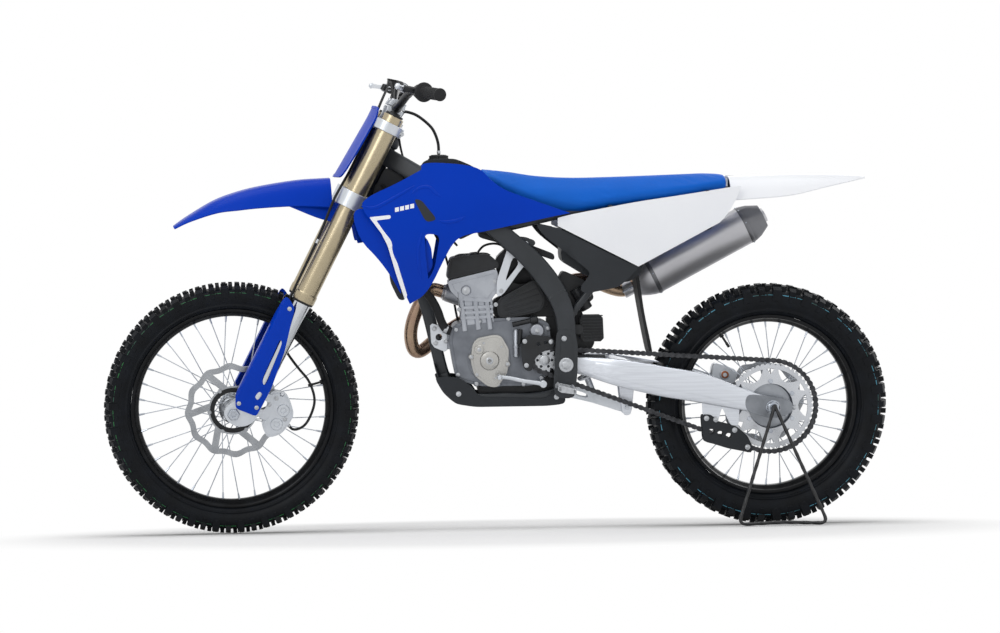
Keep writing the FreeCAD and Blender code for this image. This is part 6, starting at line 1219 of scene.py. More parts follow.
clutch = [lathe([(75.3, 80), (84, 80), (90, 76), (96, 62), (99, 40), (99.3, 12)], (-45, 0, 479), -LEFT, 72),
          lathe([(75.3, 30), (94, 30), (97, 26)], (62, 0, 470), -LEFT, 48)]
clutch += [lathe([(75.3, 7.5), (88, 7.5), (89, 6.5)], place, -LEFT, 20) for place in spots((-45, 479), 0, 79, 40)]
piece("clutch_cover_shell", clutch, cast_dark, hides="clutch_cover", bevel=1.5, crease=32)
piece("clutch_cover_bolts", screws(spots((-45, 479), -89, 79, 40), -LEFT, 3.6, 4.5), zinc)

# Engine fittings: two stays from the head to the spars, a ribbed black cover behind the cylinder, a
# guard over the small sprocket, a round cover, a starter's barrel and the finned regulator.
RIBBED = rounded([(12, 622), (6, 644), (-95, 698), (-124, 640), (-110, 608), (-50, 595), (-22, 592), (8, 592)], 2)
parts = [cut_plate([RIBBED], 33, 55), cut_plate([grown(RIBBED, -5)], 54, 58)]
parts += [cut_plate([[(x, z), (x, z + 3.5), (far_x, far_z + 3.5), (far_x, far_z)]], 56, 60.5)
          for x, z, far_x, far_z in ((-18, 600, -100, 620), (-12, 611, -104, 636), (-8, 622, -104, 653),
                                     (-8, 633, -100, 669), (-18, 644, -94, 683))]
piece("ribbed_cover", parts, cast_dark, hides="side_covers", bevel=1.2)
GUARD_PLATE = rounded([(-51, 504), (-62, 540), (-82, 547), (-143, 537), (-146, 510), (-107, 498), (-86, 475),
                       (-83, 445), (-59, 448)], 2)
parts = [cut_plate([GUARD_PLATE, ring(5, 16, (-100, 520)), ring(5, 16, (-120, 524))], 83, 87)]
parts += [lathe([(51.3, 7), (83, 7)], (x, 0, z), LEFT, 20) for x, z in ((-62, 528), (-66, 462), (-134, 526))]
piece("sprocket_guard", parts, cast_dark, bevel=1.0)
STAY = rounded([(13, 650), (-4, 654), (-53, 721), (-82, 751), (-82, 764), (-40, 793), (-22, 792), (12, 694)], 1)
stays = both(cut_plate([STAY, rounded([(-10, 688), (-52, 742), (-34, 762)], 2)], 60.3, 65.3))
piece("head_stays", stays, forged, hides="engine_fittings", bevel=0.9)
parts = [lathe([(51.3, 21), (53, 21), (55, 19), (67, 19), (69.3, 16.5)], (-98, 0, 555), LEFT, 48),
         lathe([(0, 7), (1, 8), (68, 8), (70, 6.5), (76, 6.5)], (-40, 59.5, 483), UP, 28),
         lathe([(26, 10.5), (30, 10.5)], (-40, 59.5, 483), UP, 28)]
piece("round_cover", parts, cast_alloy, bevel=1.0)
stay_places = [(-68, 65.3, 754), (-32, 65.3, 781), (0, 65.3, 666)]
cover_places = [(-62, 87, 528), (-66, 87, 462), (-134, 87, 526), (-98, 69.3, 555)]
bolts = screws(stay_places + cover_places, LEFT, 4.4, 5) + screws(stay_places, LEFT, 4.4, 5, (-1,))
piece("fitting_bolts", bolts, zinc)
parts = [slab([(-216, 524), (-216, 598), (-278, 598), (-281, 524)], 53.5, 76, 1),
         slab([(-175, 546), (-175, 570), (-224, 572), (-224, 544)], 76, 81.7, 1)]
parts += [cut_plate([[(-219, z), (-219, z + 3), (-277, z + 3), (-278, z)]], 74, 81.5)
          for z in np.arange(530, 596, 8.0)]
piece("regulator_box", parts, cast_dark, hides="regulator", bevel=0.8)

# Final drive: a small steel sprocket on the engine's shaft, and a roller chain of stamped and oiled
# plates, its links in pairs, laid round it and the big sprocket.
REAR_CENTRE, DRIVE_CENTRE = np.array([-742.5, 338.0]), np.array([-117.3, 474.6])
PITCH, REAR_TEETH, DRIVE_TEETH, CHAIN_SIDE = 15.875, 50, 13, 72
REAR_RADIUS, DRIVE_RADIUS = (PITCH / 2 / math.sin(math.pi / count) for count in (REAR_TEETH, DRIVE_TEETH))
span = DRIVE_CENTRE - REAR_CENTRE
slope = math.atan2(span[1], span[0])
lap = math.asin((REAR_RADIUS - DRIVE_RADIUS) / np.linalg.norm(span))
run_length = np.linalg.norm(span) * math.cos(lap)
upper_angle, lower_angle = slope + math.pi / 2 - lap, slope - math.pi / 2 + lap
front_arc, rear_arc = DRIVE_RADIUS * (math.pi - 2 * lap), REAR_RADIUS * (math.pi + 2 * lap)


def round_centre(centre, radius, angle):
    """A side view point at a radius and angle about a centre."""
    return centre + radius * np.array([math.cos(angle), math.sin(angle)])


def chain_place(distance):
    """Where the pins' line is after a distance from the big sprocket's upper tangent: along the upper
    run, round the small sprocket, back along the lower run and round the big sprocket."""
    rear, drive = (REAR_CENTRE, REAR_RADIUS), (DRIVE_CENTRE, DRIVE_RADIUS)
    for from_wheel, to_wheel, angle, arc in (
            (rear, drive, upper_angle, front_arc), (drive, rear, lower_angle, rear_arc)):
        if distance < run_length:
            start, end = round_centre(*from_wheel, angle), round_centre(*to_wheel, angle)
            return start + (end - start) * distance / run_length
        distance -= run_length
        if distance < arc:
            return round_centre(*to_wheel, angle - distance / to_wheel[1])
        distance -= arc


loop_length = 2 * run_length + rear_arc + front_arc
links = 2 * round(loop_length / PITCH / 2)
pins = np.array([chain_place(loop_length * index / links) for index in range(links)])
WAIST = [(0, -6.4, 0), (0, -3, 6.6), (0, 3, 6.6), (0.5, 0, 4.4), (1, -3, 6.6), (1, 3, 6.6), (1, 6.4, 0),
         (1, 3, -6.6), (1, -3, -6.6), (0.5, 0, -4.4), (0, 3, -6.6), (0, -3, -6.6)]
plates, rollers = [], []
for index, (first, last) in enumerate(zip(pins, np.roll(pins, -1, axis=0))):
    run = (last - first) / np.linalg.norm(last - first)
    square = np.array([-run[1], run[0]])
    outline = [first + (last - first) * share + run * ahead + square * rise for share, ahead, rise in WAIST]
    inner = CHAIN_SIDE + (2.2 if index % 2 else 4.2)
    outer = inner + 1.8
    plates += [cut_plate([outline], inner, outer),
               cut_plate([outline], 2 * CHAIN_SIDE - outer, 2 * CHAIN_SIDE - inner)]
    rollers.append(lathe([(-5.8, 2.6), (-4.4, 2.6), (-4.2, 5.0), (4.2, 5.0), (4.4, 2.6), (5.9, 2.6)],
                         (first[0], CHAIN_SIDE, first[1]), LEFT, 8))
# Stamped plates under oil: dark with wet glints.
chain_steel = surface("oiled_chain_steel", "bright_steel", "#47484B", "#303134", 0.36, 0.9, depth=0.05, patch=12)
piece("chain_plates", plates, chain_steel, hides="chain", crease=30)
piece("chain_rollers", rollers, spoke_steel, crease=50)
teeth = polar(np.tile([36.0, 31.0, 26.5, 31.0], DRIVE_TEETH), np.arange(4 * DRIVE_TEETH) * 90 / DRIVE_TEETH)
holes = [ring(4, 10, middle) for middle in ring(20, 6, DRIVE_CENTRE)]
drive = [cut_plate([teeth + DRIVE_CENTRE] + holes, 69, 75),
         lathe([(51.5, 14), (79, 14), (80, 12.5)], (DRIVE_CENTRE[0], 0, DRIVE_CENTRE[1]), LEFT, 32)]
piece("small_sprocket", drive, zinc, hides="drive_sprocket", bevel=0.4)

# Swingarm: two deep tapered arms of brushed aluminium from the pivot to the axle, joined by a cross
# box ahead of the wheel. Darker machined blocks at the ends hold the axle and its adjusters.
# Brushed along the arm: fine lines that draw its highlight out.
brushed_arm = surface("brushed_swingarm_aluminium", "cast_alloy", "#D8DCE3", "#CDD1D8", 0.33, 0.85, grain=1.4,
                      depth=0.03, patch=4, stretch=(0.02, 1, 1))
ARM = np.array([(-144, 64, 466, 42), (-223, 67, 457, 50), (-319, 92, 439, 74), (-446, 96, 412, 83),
                (-545, 96, 393, 80), (-692, 96, 351, 53), (-787, 96, 334, 45)], float)
arm_line = flowing(ARM, 6)
arm_scale = np.stack([arm_line[:, 3] / 2, 0 * arm_line[:, 3] + 12], -1)
arms = both(swept(arm_line[:, :3], oval(1, 1, 0.38, 28), arm_scale, level=True))
arms += [slab([(-304, 478), (-371, 460), (-371, 406), (-304, 418)], -84, 84),
         lathe([(-62, 18), (62, 18)], (-173, 0, 463.5), LEFT, 40)]
arms += both(slab([(-324, 421), (-371, 412), (-361, 318), (-348, 312), (-336, 318)], 21.9, 28.6))
piece("swingarm_arms", arms, brushed_arm, hides="swingarm", bevel=1.5, crease=32)
face = arm_line[8:31]
thick = np.stack([face[:, 3] * 0.26, 0 * face[:, 3] + 0.9], -1)
ridge = swept(face[:, :3] + (0, 12.2, 0), oval(1, 1, 0.5, 16), thick, level=True)
piece("swingarm_panels", both(ridge), brushed_arm, crease=32)
# Milled and anodised: an even mid grey.
dark_alloy = surface("hard_anodised_axle_block", "dark_metal", "#8A8E94", "#7A7E84", 0.4, 0.8, depth=0.05, patch=30)
block = [(-672, 376), (-740, 368), (-796, 356), (-799, 322), (-744, 306), (-674, 324), (-664, 350)]
piece("axle_blocks", both(slab(block, 104, 110)), dark_alloy, bevel=1.4)
adjusters = both(swept(between((-786, 104, 338), (-806, 104, 337), 3), oval(4, 4), level=True))
adjusters += both(lathe([(0, 7), (6, 7), (6.5, 6)], (-799, 104, 337), (-1, 0, 0), 6))
adjusters += both(slab([(-726, 354), (-762, 352), (-762, 323), (-726, 325)], 109, 113, 1))
piece("axle_adjusters", adjusters, zinc, bevel=0.6)
parts = [lathe(profile, REAR_AXLE, toward, count) for profile, toward, count in (
    ([(-118, 11), (126, 11), (128, 10)], LEFT, 40), ([(113, 17), (121, 17), (122, 15.5)], LEFT, 6),
    ([(110.5, 20), (113, 20)], LEFT, 40), ([(113, 17), (124, 17), (128, 14), (128, 7.2), (60, 7)], -LEFT, 40))]
parts += both(lathe([(58.4, 17), (83.6, 17)], REAR_AXLE, LEFT, 40))
piece("rear_axle_parts", parts, spoke_steel, hides="rear_axle", bevel=0.6)
CALIPER = rounded([(-601, 451), (-640, 440), (-671, 427), (-664, 389), (-628, 388), (-594, 392)], 2)
body = [cut_plate([CALIPER], -83.5, -59), cut_plate([CALIPER], -47, -41),
        lathe([(-45, 15), (-40, 15), (-38, 13)], (-634, 0, 416), LEFT, 32)]
piece("rear_caliper_body", body, forged, hides="rear_caliper", bevel=2.0)
bridge = slab([(-604, 450), (-640, 441), (-642, 432), (-606, 438)], -60, -46, 1)
piece("rear_caliper_bridge", [bridge], forged, bevel=1.0)
# Turned and coated: a warm, coppery spot.
copper = surface("copper_coloured_piston", "bright_steel", "#A4694A", "#8E5A40", 0.35, 0.9, grain=1.0,
                 depth=0.05, patch=12)
piston = lathe([(-41, 11), (-37.6, 11), (-37, 10), (-37, 6), (-39, 5)], (-634, 0, 416), LEFT, 32)
piece("rear_caliper_piston", [piston], copper)

# Chain slider and guide: black nylon. A strip protects the arm, and a bolted guide with three slots
# keeps the lower run on the big sprocket.
arm_top = [(x, np.interp(-x, -ARM[:, 0], ARM[:, 2] + ARM[:, 3] / 2)) for x in (-156, -190, -223, -254, -285)]
strips = [cut_plate([[(x, z + low) for x, z in arm_top] + [(x, z + high) for x, z in arm_top[::-1]]], near, far)
          for low, high, near, far in ((0.4, 4.4, 60, 78), (4, 6.5, 61, 65))]
piece("chain_slider_strip", strips, dark_plastic, hides="chain_slider", bevel=1.0)
GUIDE = rounded([(-548, 318), (-553, 246), (-619, 224), (-686, 210), (-692, 224), (-676, 258), (-646, 284),
                 (-593, 298), (-576, 318)], 2, 5)
slots = [rounded([(x, z), (x + 16, z + 3), (x + 12, z + 17), (x - 4, z + 14)], 2, 4)
         for x, z in ((-582, 262), (-606, 256), (-630, 250))]
guide = [cut_plate([GUIDE] + slots, low, low + 4.8) for low in (80.5, 58.7)]
guide += [slab([(-556, 250), (-556, 243), (-686, 209), (-686, 217)], 60, 84, 1)]
piece("chain_guide", guide, dark_plastic, bevel=1.0)
bracket = [(-549, 384), (-656, 362), (-652, 286), (-630, 286), (-606, 338), (-593, 292), (-552, 314)]
piece("chain_guide_bracket", [slab(bracket, 78.5, 80.4, 2, 5)], brushed_arm, bevel=0.5)
bolts = screws([(-562, 85.3, 308), (-588, 85.3, 304), (-640, 85.3, 274), (-676, 85.3, 226)], LEFT, 5, 5)
piece("chain_guide_bolts", bolts, zinc)

# Shock absorber: a steel spring round an aluminium body behind the engine, worked by the linkage's
# two plates under the swingarm.
SHOCK_TOP, SHOCK_FOOT = np.array([-131, 0, 709.0]), np.array([-261.4, 0, 363.2])
shock_run = SHOCK_TOP - SHOCK_FOOT
shock_length = np.linalg.norm(shock_run)
profiles = [(0, 9), (0.3, 9), (0.32, 20), (0.93, 20), (0.94, 17)], [(0.155, 24), (0.17, 27)], [(0.80, 27), (0.83, 27)]
body = [lathe([(share * shock_length, radius) for share, radius in profile], SHOCK_FOOT, shock_run, 40)
        for profile in profiles]
body += [lathe([(-14, 14), (14, 14)], SHOCK_FOOT, LEFT, 32), lathe([(-14, 20), (14, 20)], SHOCK_TOP, LEFT, 32)]
piece("shock_body", body, forged, hides="shock", bevel=0.8)
COIL_TURNS, COIL_RADIUS = 8, 22.5
share = np.linspace(0, 1, 260)[:, None]
turn = share * 2 * np.pi * COIL_TURNS
ahead = np.cross(LEFT, shock_run / shock_length)
coil = SHOCK_FOOT + shock_run * (0.175 + 0.62 * share) + COIL_RADIUS * (np.cos(turn) * ahead + np.sin(turn) * LEFT)
# Powder baked on: pale grey and smooth.
spring_paint = surface("powder_coated_spring_steel", "bright_steel", "#B8BCC2", "#A6AAB0", 0.4, 0.6, grain=0.8,
                       depth=0.03, patch=40)
piece("shock_spring", [swept(coil, oval(4.4, 4.4, 1.0, 10))], spring_paint)
LINK = rounded([(-148, 397), (-166, 412), (-190, 403), (-261, 377), (-350, 350), (-359, 326), (-342, 320),
                (-252, 350), (-166, 371), (-148, 383)], 2)
lightening = rounded([(-200, 388), (-240, 374), (-240, 362), (-200, 374)], 2)
parts = both(cut_plate([LINK, ring(13.2, 20, (-169.3, 391.5)), lightening], 14.3, 21.3))
parts += [lathe([(-22, 6), (22, 6)], SHOCK_FOOT, LEFT, 20), lathe([(-36, 6), (36, 6)], (-348.2, 0, 335), LEFT, 20)]
piece("linkage_plates", parts, (forged[0], "dark_metal"), hides="linkage", bevel=0.8)

# Footpegs and levers: cast pegs with two rows of teeth, a bright shift lever on the left and the
# brake pedal on the right.
peg_frame = rounded([(-143, 417), (-143, 398), (-193, 391), (-193, 406)], 1)
parts = [part for outline, low, high in (
    (peg_frame, 108.4, 116), ([(-145, 414.5), (-153, 413.5), (-153, 400), (-145, 401)], 110, 200),
    ([(-185, 407.5), (-193, 406), (-193, 392), (-185, 393)], 110, 200), (peg_frame, 192, 200),
    ([(-160, 411), (-178, 409), (-178, 396), (-160, 398)], 150, 158))
    for part in both(cut_plate([outline], low, high))]
piece("footpeg_frames", parts, zinc, hides="footpegs", bevel=0.8)
teeth = [tooth for side in np.arange(118, 198, 9.5) for x, z in ((-149, 413), (-189, 405.5))
         for tooth in both(lathe([(0, 5), (5, 1.5)], (x, side, z), UP, 4))]
piece("footpeg_teeth", teeth, zinc)
shift = flowing([(-110, 110, 412.3), (-85, 110, 417), (-59, 110, 421), (-20, 110, 430), (10.4, 110, 434)], 6)
share = np.linspace(0, 1, len(shift))
parts = [swept(shift, oval(1, 1, 0.7, 16), np.stack([6 - share, 4.5 + 0 * share], -1), level=True),
         lathe([(50, 6.5), (104, 6.5), (105, 10), (115, 10), (116, 9)], (-110, 0, 412.3), LEFT, 28)]
ribs = [(112 + rib * 3.2 + ahead, radius) for rib in range(8)
        for ahead, radius in ((0, 6.2), (1.2, 7), (2, 7), (3, 6.2))]
parts.append(lathe([(104, 4)] + ribs + [(139, 5)], (10.4, 0, 434), LEFT, 24))
piece("shift_lever", parts, forged, hides="foot_controls", bevel=0.4)
pedal = flowing([(-126, -110, 372), (-80, -110, 379), (-45, -110, 387), (0, -110, 404), (35.6, -110, 421)], 6)
parts = [swept(pedal, oval(7, 4.5, 0.7, 16), level=True),
         lathe([(61.5, 6.5), (106, 6.5), (108, 9), (116, 9)], (-126, 0, 372), -LEFT, 28),
         lathe([(106, 8), (134, 8), (136, 6)], (35.6, 0, 421), -LEFT, 20)]
piece("brake_pedal", parts, forged, bevel=0.4)

# Skid plate: a guard moulded in black nylon and wrapped under the cradle, with two bolts on each
# side.
outer = [(186.5, 464), (172, 411), (150, 379), (94, 350.5), (-90, 348), (-170, 365)]
inner_path = [(x - (3.5 if index < 2 else 2), z + (4 if index > 1 else 1)) for index, (x, z) in enumerate(outer)]
WALL = rounded([(187, 432), (118, 430), (80, 402), (64, 375), (-125, 368), (-142, 397), (-175, 373), (-173, 352),
                (-125, 347), (73, 347), (128, 356), (163, 388)], 2, 8)
parts = [cut_plate([rounded(outer + inner_path[::-1], 1)], -61, 61)] + both(cut_plate([WALL], 61, 64.5))
piece("skid_plate_shell", parts, dark_plastic, hides="skid_plate", bevel=1.2)
piece("skid_plate_bolts", screws([(120, 64.5, 384), (-150, 64.5, 372)], LEFT, 5, 4, (1, -1)), zinc)

# Exhaust: a heat-tinted stainless pipe loops down from the head and back along the right side into
# a grey titanium silencer, held by springs and two riveted bands; its end cap and bands are painted darker as shade.
# Coloured by heat: straw and brown in soft patches on bright steel.
heated = surface("heat_tinted_stainless_pipe", "heated_steel", "#A8917A", "#94796A", 0.26, 0.9, grain=1.5,
                 depth=0.03, patch=70)
# Brushed sheet: a warm grey with a soft shine.
titanium = surface("brushed_grey_titanium", "silencer_metal", "#C4C4C8", "#BABABE", 0.36, 0.75, grain=1.0,
                   depth=0.03, patch=120)
# The same metal in its own shadow: a darker grey.
dark_titanium = surface("shadowed_grey_titanium", "silencer_metal", "#77787C", "#6C6D71", 0.36, 0.8, grain=1.0,
                        depth=0.03, patch=60)
can_start, can_end = np.array([-389.1, -119, 667.7]), np.array([-754.4, -119, 860.7])
can_length = np.linalg.norm(can_end - can_start)
can_run = (can_end - can_start) / can_length
header_line = bent([PORT, PORT + PORT_RUN * 53, (254, -44.6, 561), (238, -62.4, 475), (166, -98, 534), (45, -98, 605),
                    (-104, -57.2, 642), (-166, -57.2, 674), (-245, -109, 694), can_start - can_run * 45, can_start],
                   60, 10)
piece("header_tube", [swept(header_line, oval(18.6, 18.6, 1.0, 40))], heated, hides="header_pipe", crease=50)
collars = [lathe([(-3, 19), (-3, 24), (3, 24), (4, 21), (9, 20)], PORT + PORT_RUN * 2, PORT_RUN, 36),
           lathe([(-16, 19.5), (-14, 21.5), (14, 21.5), (16, 19.5)], can_start - can_run * 22, can_run, 36)]
piece("header_collars", collars, titanium, bevel=0.6)
hooks = []
for hand in (1, -1):
    foot = can_start - can_run * 40 + (0, hand * 21, 0)
    hooks.append(swept(between(foot, foot + can_run * 44, 30), oval(3.2, 3.2, 1.0, 12),
                       1 + 0.12 * np.cos(np.arange(30) * np.pi)))
piece("exhaust_springs", hooks, spoke_steel)
can_up = np.array([can_run[2], 0, -can_run[0]])
hexagon = rounded([(1, -0.5), (1, 0.5), (0.3, 1), (-1, 0.5), (-1, -0.5), (0.3, -1)], 1, 0.16)
CAN_TALL, CAN_WIDE = 53, 44.5


def can_loft(stations, grow=0.0):
    """The can's rounded hexagon at each station (share of the length, scale), carried along its run."""
    rows = [can_start + can_run * can_length * share + hexagon[:, :1] * (CAN_TALL * scale + grow) * can_up
            + hexagon[:, 1:] * (CAN_WIDE * scale + grow) * LEFT for share, scale in stations]
    return np.concatenate(rows), tube_faces(len(rows), len(hexagon))


ease = [(0.0, 0.62), (0.02, 0.70), (0.06, 0.84), (0.10, 0.95), (0.125, 0.99), (0.14, 0.99)]
piece("silencer_front_cone", [can_loft(ease)], titanium, hides="silencer", crease=35)
piece("silencer_sleeve", [can_loft([(0.13, 1.0), (0.87, 1.0)])], titanium, crease=35)
end_cap = [(0.865, 0.985), (0.89, 0.985), (0.93, 0.90), (0.975, 0.72), (1.0, 0.62)]
piece("silencer_end_cap", [can_loft(end_cap)], dark_titanium, crease=35)
bands = [can_loft([(at, 0.995), (at + 0.001, 1.0), (at + 0.028, 1.0), (at + 0.029, 0.995)], 0.7)
         for at in (0.125, 0.85)]
piece("silencer_bands", bands, dark_titanium, crease=35)
rivets = []
for share in (0.139, 0.864):
    for tall, wide in hexagon[::2]:
        out = tall * CAN_TALL * can_up + wide * CAN_WIDE * LEFT
        place = can_start + can_run * can_length * share + out * 1.015
        rivets.append(lathe([(0, 2.6), (1.4, 2.2), (1.9, 1.0)], place, out, 8))
piece("silencer_rivets", rivets, spoke_steel)
outlet = [lathe([(-30, 21), (6, 21), (7, 20.5), (7, 18.5), (-28, 18), (-29, 3)], can_end, can_run, 40)]
piece("silencer_outlet", outlet, titanium, crease=50)

# Tank, airbox and mud flap: blow-moulded and injection-moulded black plastic under the seat, with a
# knurled cap on the tank and a rubber flap ahead of the rear tyre.
TANK = rounded([(220, 1000), (205, 1027), (122, 1030), (67, 1006), (30, 959), (15, 910), (50, 891), (128, 891),
                (178, 932)], 2)
piece("tank_shell", [cut_plate([TANK], -32, 32)], dark_plastic, hides="fuel_tank", bevel=7.0, crease=30)
cap_edge = polar(np.tile([26.6, 26.6, 24.8], 24), np.arange(72) * 5)
points, faces = level_plate([cap_edge], 1029.5, 1038)
cap_parts = [(points + (165, 0, 0), faces), lathe([(1038, 23), (1040, 21), (1041, 8)], (165, 0, 0), UP, 40),
             lathe([(1027, 30), (1029.5, 30), (1030, 28)], (165, 0, 0), UP, 40)]
piece("tank_cap_shell", cap_parts, satin_black, hides="tank_cap", bevel=0.5)
AIRBOX = rounded([(-169, 866), (-166, 746), (-238, 702), (-349, 683), (-389, 709), (-410, 905), (-312, 890),
                  (-193, 876)], 2)
parts = [cut_plate([AIRBOX], -58, 58)]
for x in (-230, -270, -310, -350):
    parts += both(cut_plate([[(x, 720), (x, 860), (x + 8, 860), (x + 8, 720)]], 57, 60))
piece("airbox_shell", parts, dark_plastic, hides="airbox", bevel=3.0, crease=30)
intake = [lathe([(-8, 27), (0, 30), (10, 27), (26, 33), (60, 36), (64, 40)], (-20, 0, 700), (-0.98, 0, 0.2), 40)]
piece("intake_boot", intake, black_rubber, bevel=1.0)
FLAP = [(-373, 698), (-381, 704), (-396, 600), (-417, 494), (-409, 492), (-388, 600)]
flap = cut_plate([flowing(FLAP, 4, closed=True)], -52, 52)
piece("mud_flap_sheet", [flap], black_rubber, hides="mud_flap", bevel=1.5)

# Stand: a triangle of twisted square rod painted black, with its peg in the hollow rear axle and its
# base raised in the middle.
# Powder baked on: black and finely pebbled.
stand_paint = surface("black_powder_coat", "dark_metal", "#121315", "#18191C", 0.42, grain=1.0, depth=0.05, patch=25)
inside_axle, hook = placed([(-742.5, 110, 338), (-742.5, 137, 338)], "chassis") * 1000
front_foot, rear_foot = (np.array([hook[0] + ahead, hook[1] + 64, 5.2]) for ahead in (118.8, -124.7))
peak = hook + (0, 0, 5)
base_middle = (front_foot + rear_foot) / 2 + (0, 0, 5)
corners = bent([peak + (1, 0, 0), front_foot, base_middle, rear_foot, peak - (1, 0, 0)], 24, 8)
far = np.concatenate([[0], np.cumsum(np.linalg.norm(np.diff(corners, axis=0), axis=1))])
evenly = np.linspace(0, far[-1], 260)
rod_line = np.stack([np.interp(evenly, far, corners[:, axis]) for axis in range(3)], -1)
sides = [swept(rod_line, oval(4.2, 4.2, 0.5, 12), twist=2.4),
         lathe([(-6, 3), (-5, 5.5), (5, 5.5), (6, 3)], peak, UP, 20),
         swept(between(inside_axle, hook, 4), oval(6.4, 6.4, 1.0, 24))]
for points, faces in sides:
    points[:, 2] = np.maximum(points[:, 2], 0.1)
piece("stand_rods", sides, stand_paint, "stand", hides="stand", crease=50)

# Throttle body, wiring and cables: black parts in the space between the tank, the spars and the
# engine, held by the frame. Two cables run up to the levers.
throttle = [(0, 24), (34, 24), (36, 30), (44, 30), (46, 25), (70, 25), (72, 31), (80, 31)]
parts = [lathe(throttle, (-12, 0, 694), (-0.96, 0, 0.28), 40)]
# Most of these black slabs fill the dark gaps between the tank, the spars, the cylinder and the shock: partly the
# dark parts packed there, partly painted shade.
parts += [slab(outline, low, high, 2, reach) for outline, low, high, reach in (
    ([(60, 836), (-60, 800), (-150, 764), (-150, 746), (-60, 778), (58, 812)], -30, 30, 5),
    ([(120, 824), (80, 846), (-10, 840), (-10, 822), (70, 826), (112, 806)], 34, 52, 5),
    ([(312, 1010), (262, 985), (262, 930), (330, 905), (352, 930)], -24, 24, 8),
    ([(12, 756), (-40, 800), (-96, 770), (-150, 700), (-150, 640), (-110, 600), (0, 640)], -30, 22, 8),
    ([(22, 640), (-128, 690), (-186, 640), (-196, 590), (18, 590)], -28, 14, 8),
    ([(-128, 600), (-216, 640), (-240, 560), (-214, 480), (-214, 420), (-128, 410)], -24, 10, 8),
    ([(-170, 720), (-236, 690), (-262, 640), (-200, 600), (-150, 660)], -20, 30, 8),
    ([(-196, 560), (-236, 572), (-262, 520), (-240, 488), (-196, 486)], 12, 40, 8),
    ([(-40, 410), (-170, 430), (-178, 388), (60, 376), (70, 400)], -40, 30, 8))]
parts += [lathe([(0, 15), (2, 17), (64, 17), (66, 15)], (-206, 34, 668), (-0.5, 0, -0.86), 32),
          lathe([(0, 7), (50, 7), (52, 11), (70, 11), (72, 8)], (-30, 62, 572), (-0.9, 0, 0.2), 24),
          lathe([(0, 6), (40, 6)], (-52, 70, 560), (0.1, 0, -1), 20)]
piece("throttle_body_and_shade_slabs", parts, cast_dark, bevel=1.5, crease=32)
for name, radius, line in (
        ("wiring_loom", 4.5, [(322, 30, 960), (280, 44, 900), (200, 46, 850), (120, 44, 838), (20, 46, 824),
                              (-80, 44, 778), (-150, 40, 700), (-170, 40, 640)]),
        ("breather_tube", 3.2, [(60, 20, 772), (40, 40, 800), (-20, 46, 790), (-70, 46, 740), (-90, 44, 690)]),
        ("overflow_tube", 3.2, [(210, -30, 870), (160, -46, 800), (130, -60, 700), (120, -62, 560), (60, -66, 430),
                                (40, -70, 372)])):
    hose(name, line, radius)
turning = placed([HEAD_FOOT + HEAD_AXIS * 700, HEAD_FOOT + HEAD_AXIS * 880], "chassis")
for name, hand, below in (("clutch_cable", 1, (262, 36, 985)), ("throttle_cable", -1, (256, -36, 980))):
    lever_end = perch * (1, hand, 1) + DROP * 20 + INWARD * (1, hand, 1) * 22
    upper = placed([lever_end, (62, hand * 120, 1010), (48, hand * 48, 985), (20, hand * 34, 930)], "steering")
    lower = placed([below, (180, hand * 40, 870), (118, hand * 44, 790)], "chassis")
    hose(name, np.vstack([upper, lower]), 2.8, bend=(tuple(turning[0]), tuple(turning[1])))

# Seat: polyurethane foam under a stretched cover of grippy blue vinyl, narrow at its nose and
# broad behind. A cloth simulation blows the cover up from a slightly smaller form.
# Vinyl from a grained roll: matt blue with a fine pebble.
seat_vinyl = surface("grained_blue_seat_vinyl", "seat_cover", "#005EC4", "#0061CA", 0.6, grain=2.0, depth=0.12,
                     patch=80, Specular_IOR_Level=0.2)
SEAT = flowing([(50, 1000, 985, 37, 51), (-25, 987, 942, 50, 75), (-99, 975, 910, 62, 87), (-193, 969, 892, 71, 96),
                (-312, 970, 907, 80, 105), (-521, 976, 937, 80, 102), (-609, 979, 950, 69, 87),
                (-620, 976, 954, 63, 81)], 6)
AROUND, SUNK = 48, 22
t = np.linspace(0, 2 * np.pi, AROUND, endpoint=False)
swell = np.sign(np.cos(t)) * np.abs(np.cos(t)) ** 0.62
rise = np.sign(np.sin(t)) * np.abs(np.sin(t)) ** 0.66
station, crest, foot, top_half, foot_half = (SEAT[:, index:index + 1] for index in range(5))
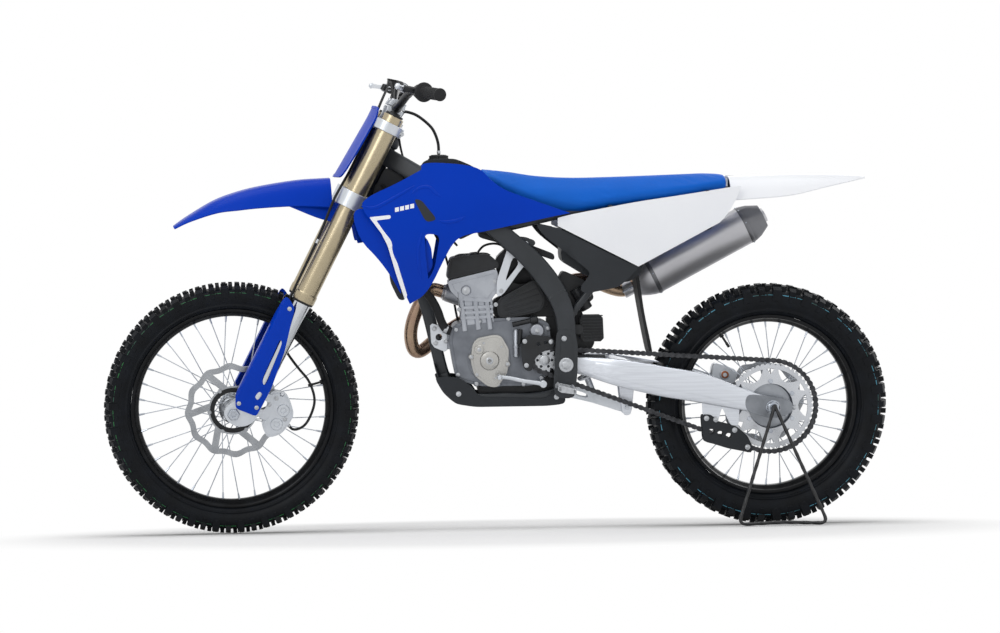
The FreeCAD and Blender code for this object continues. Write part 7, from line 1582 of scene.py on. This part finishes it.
half_width = np.where(rise[None] > 0, foot_half + (top_half - foot_half) * rise[None] ** 2, foot_half)
height = (crest + foot - SUNK) / 2 + (crest - foot + SUNK) / 2 * rise
cushion = np.stack([station + 0 * t, half_width * swell, height], -1).reshape(-1, 3)
seat = piece("seat_cushion", [(cushion, tube_faces(len(SEAT), AROUND))], seat_vinyl, hides="seat", crease=75)


def blown(made, voxel, pressure, cap):
    """Stuffs a closed cover: voxel remesh, 20 frames of cloth under pressure with its foot held, each
    point's move cut to the cap, then one subdivision. Lengths are in millimetres."""
    remesh = made.modifiers.new("remesh", "REMESH")
    remesh.mode, remesh.voxel_size = "VOXEL", voxel / 1000
    bpy.context.view_layer.update()
    mesh = final_mesh(made)
    made.modifiers.clear()
    made.data = mesh
    mesh.shade_smooth()
    start = np.array([vertex.co for vertex in mesh.vertices])
    base = placed([(0, 0, 0), (0, 0, 1)], "chassis")
    up = (base[1] - base[0]) * 1000
    height = (start - base[0]) @ up * 1000
    along = (start - base[0]) @ np.cross(np.cross(up, (1, 0, 0)), up) * 1000
    low = np.interp(along, SEAT[::-1, 0], SEAT[::-1, 2])
    held = made.vertex_groups.new(name="held")
    held.add([int(index) for index in np.nonzero(height < low + 14)[0]], 1.0, "REPLACE")
    cloth = made.modifiers.new("cloth", "CLOTH")
    cloth.settings.use_pressure = True
    cloth.settings.uniform_pressure_force = pressure
    cloth.settings.effector_weights.gravity = 0
    cloth.settings.vertex_group_mass = "held"
    for step in range(1, 21):
        bpy.context.scene.frame_set(step)
    after = made.evaluated_get(bpy.context.evaluated_depsgraph_get()).to_mesh()
    moved = np.array([vertex.co for vertex in after.vertices]) - start
    bpy.context.scene.frame_set(1)
    far = np.linalg.norm(moved, axis=1)[:, None] + 1e-9
    start += moved / far * np.minimum(far, cap / 1000)
    made.modifiers.clear()
    made.vertex_groups.clear()
    mesh.vertices.foreach_set("co", start.ravel())
    mesh.update()
    finer = made.modifiers.new("finer", "SUBSURF")
    finer.levels = finer.render_levels = 1


blown(seat, 6, 4, 5)
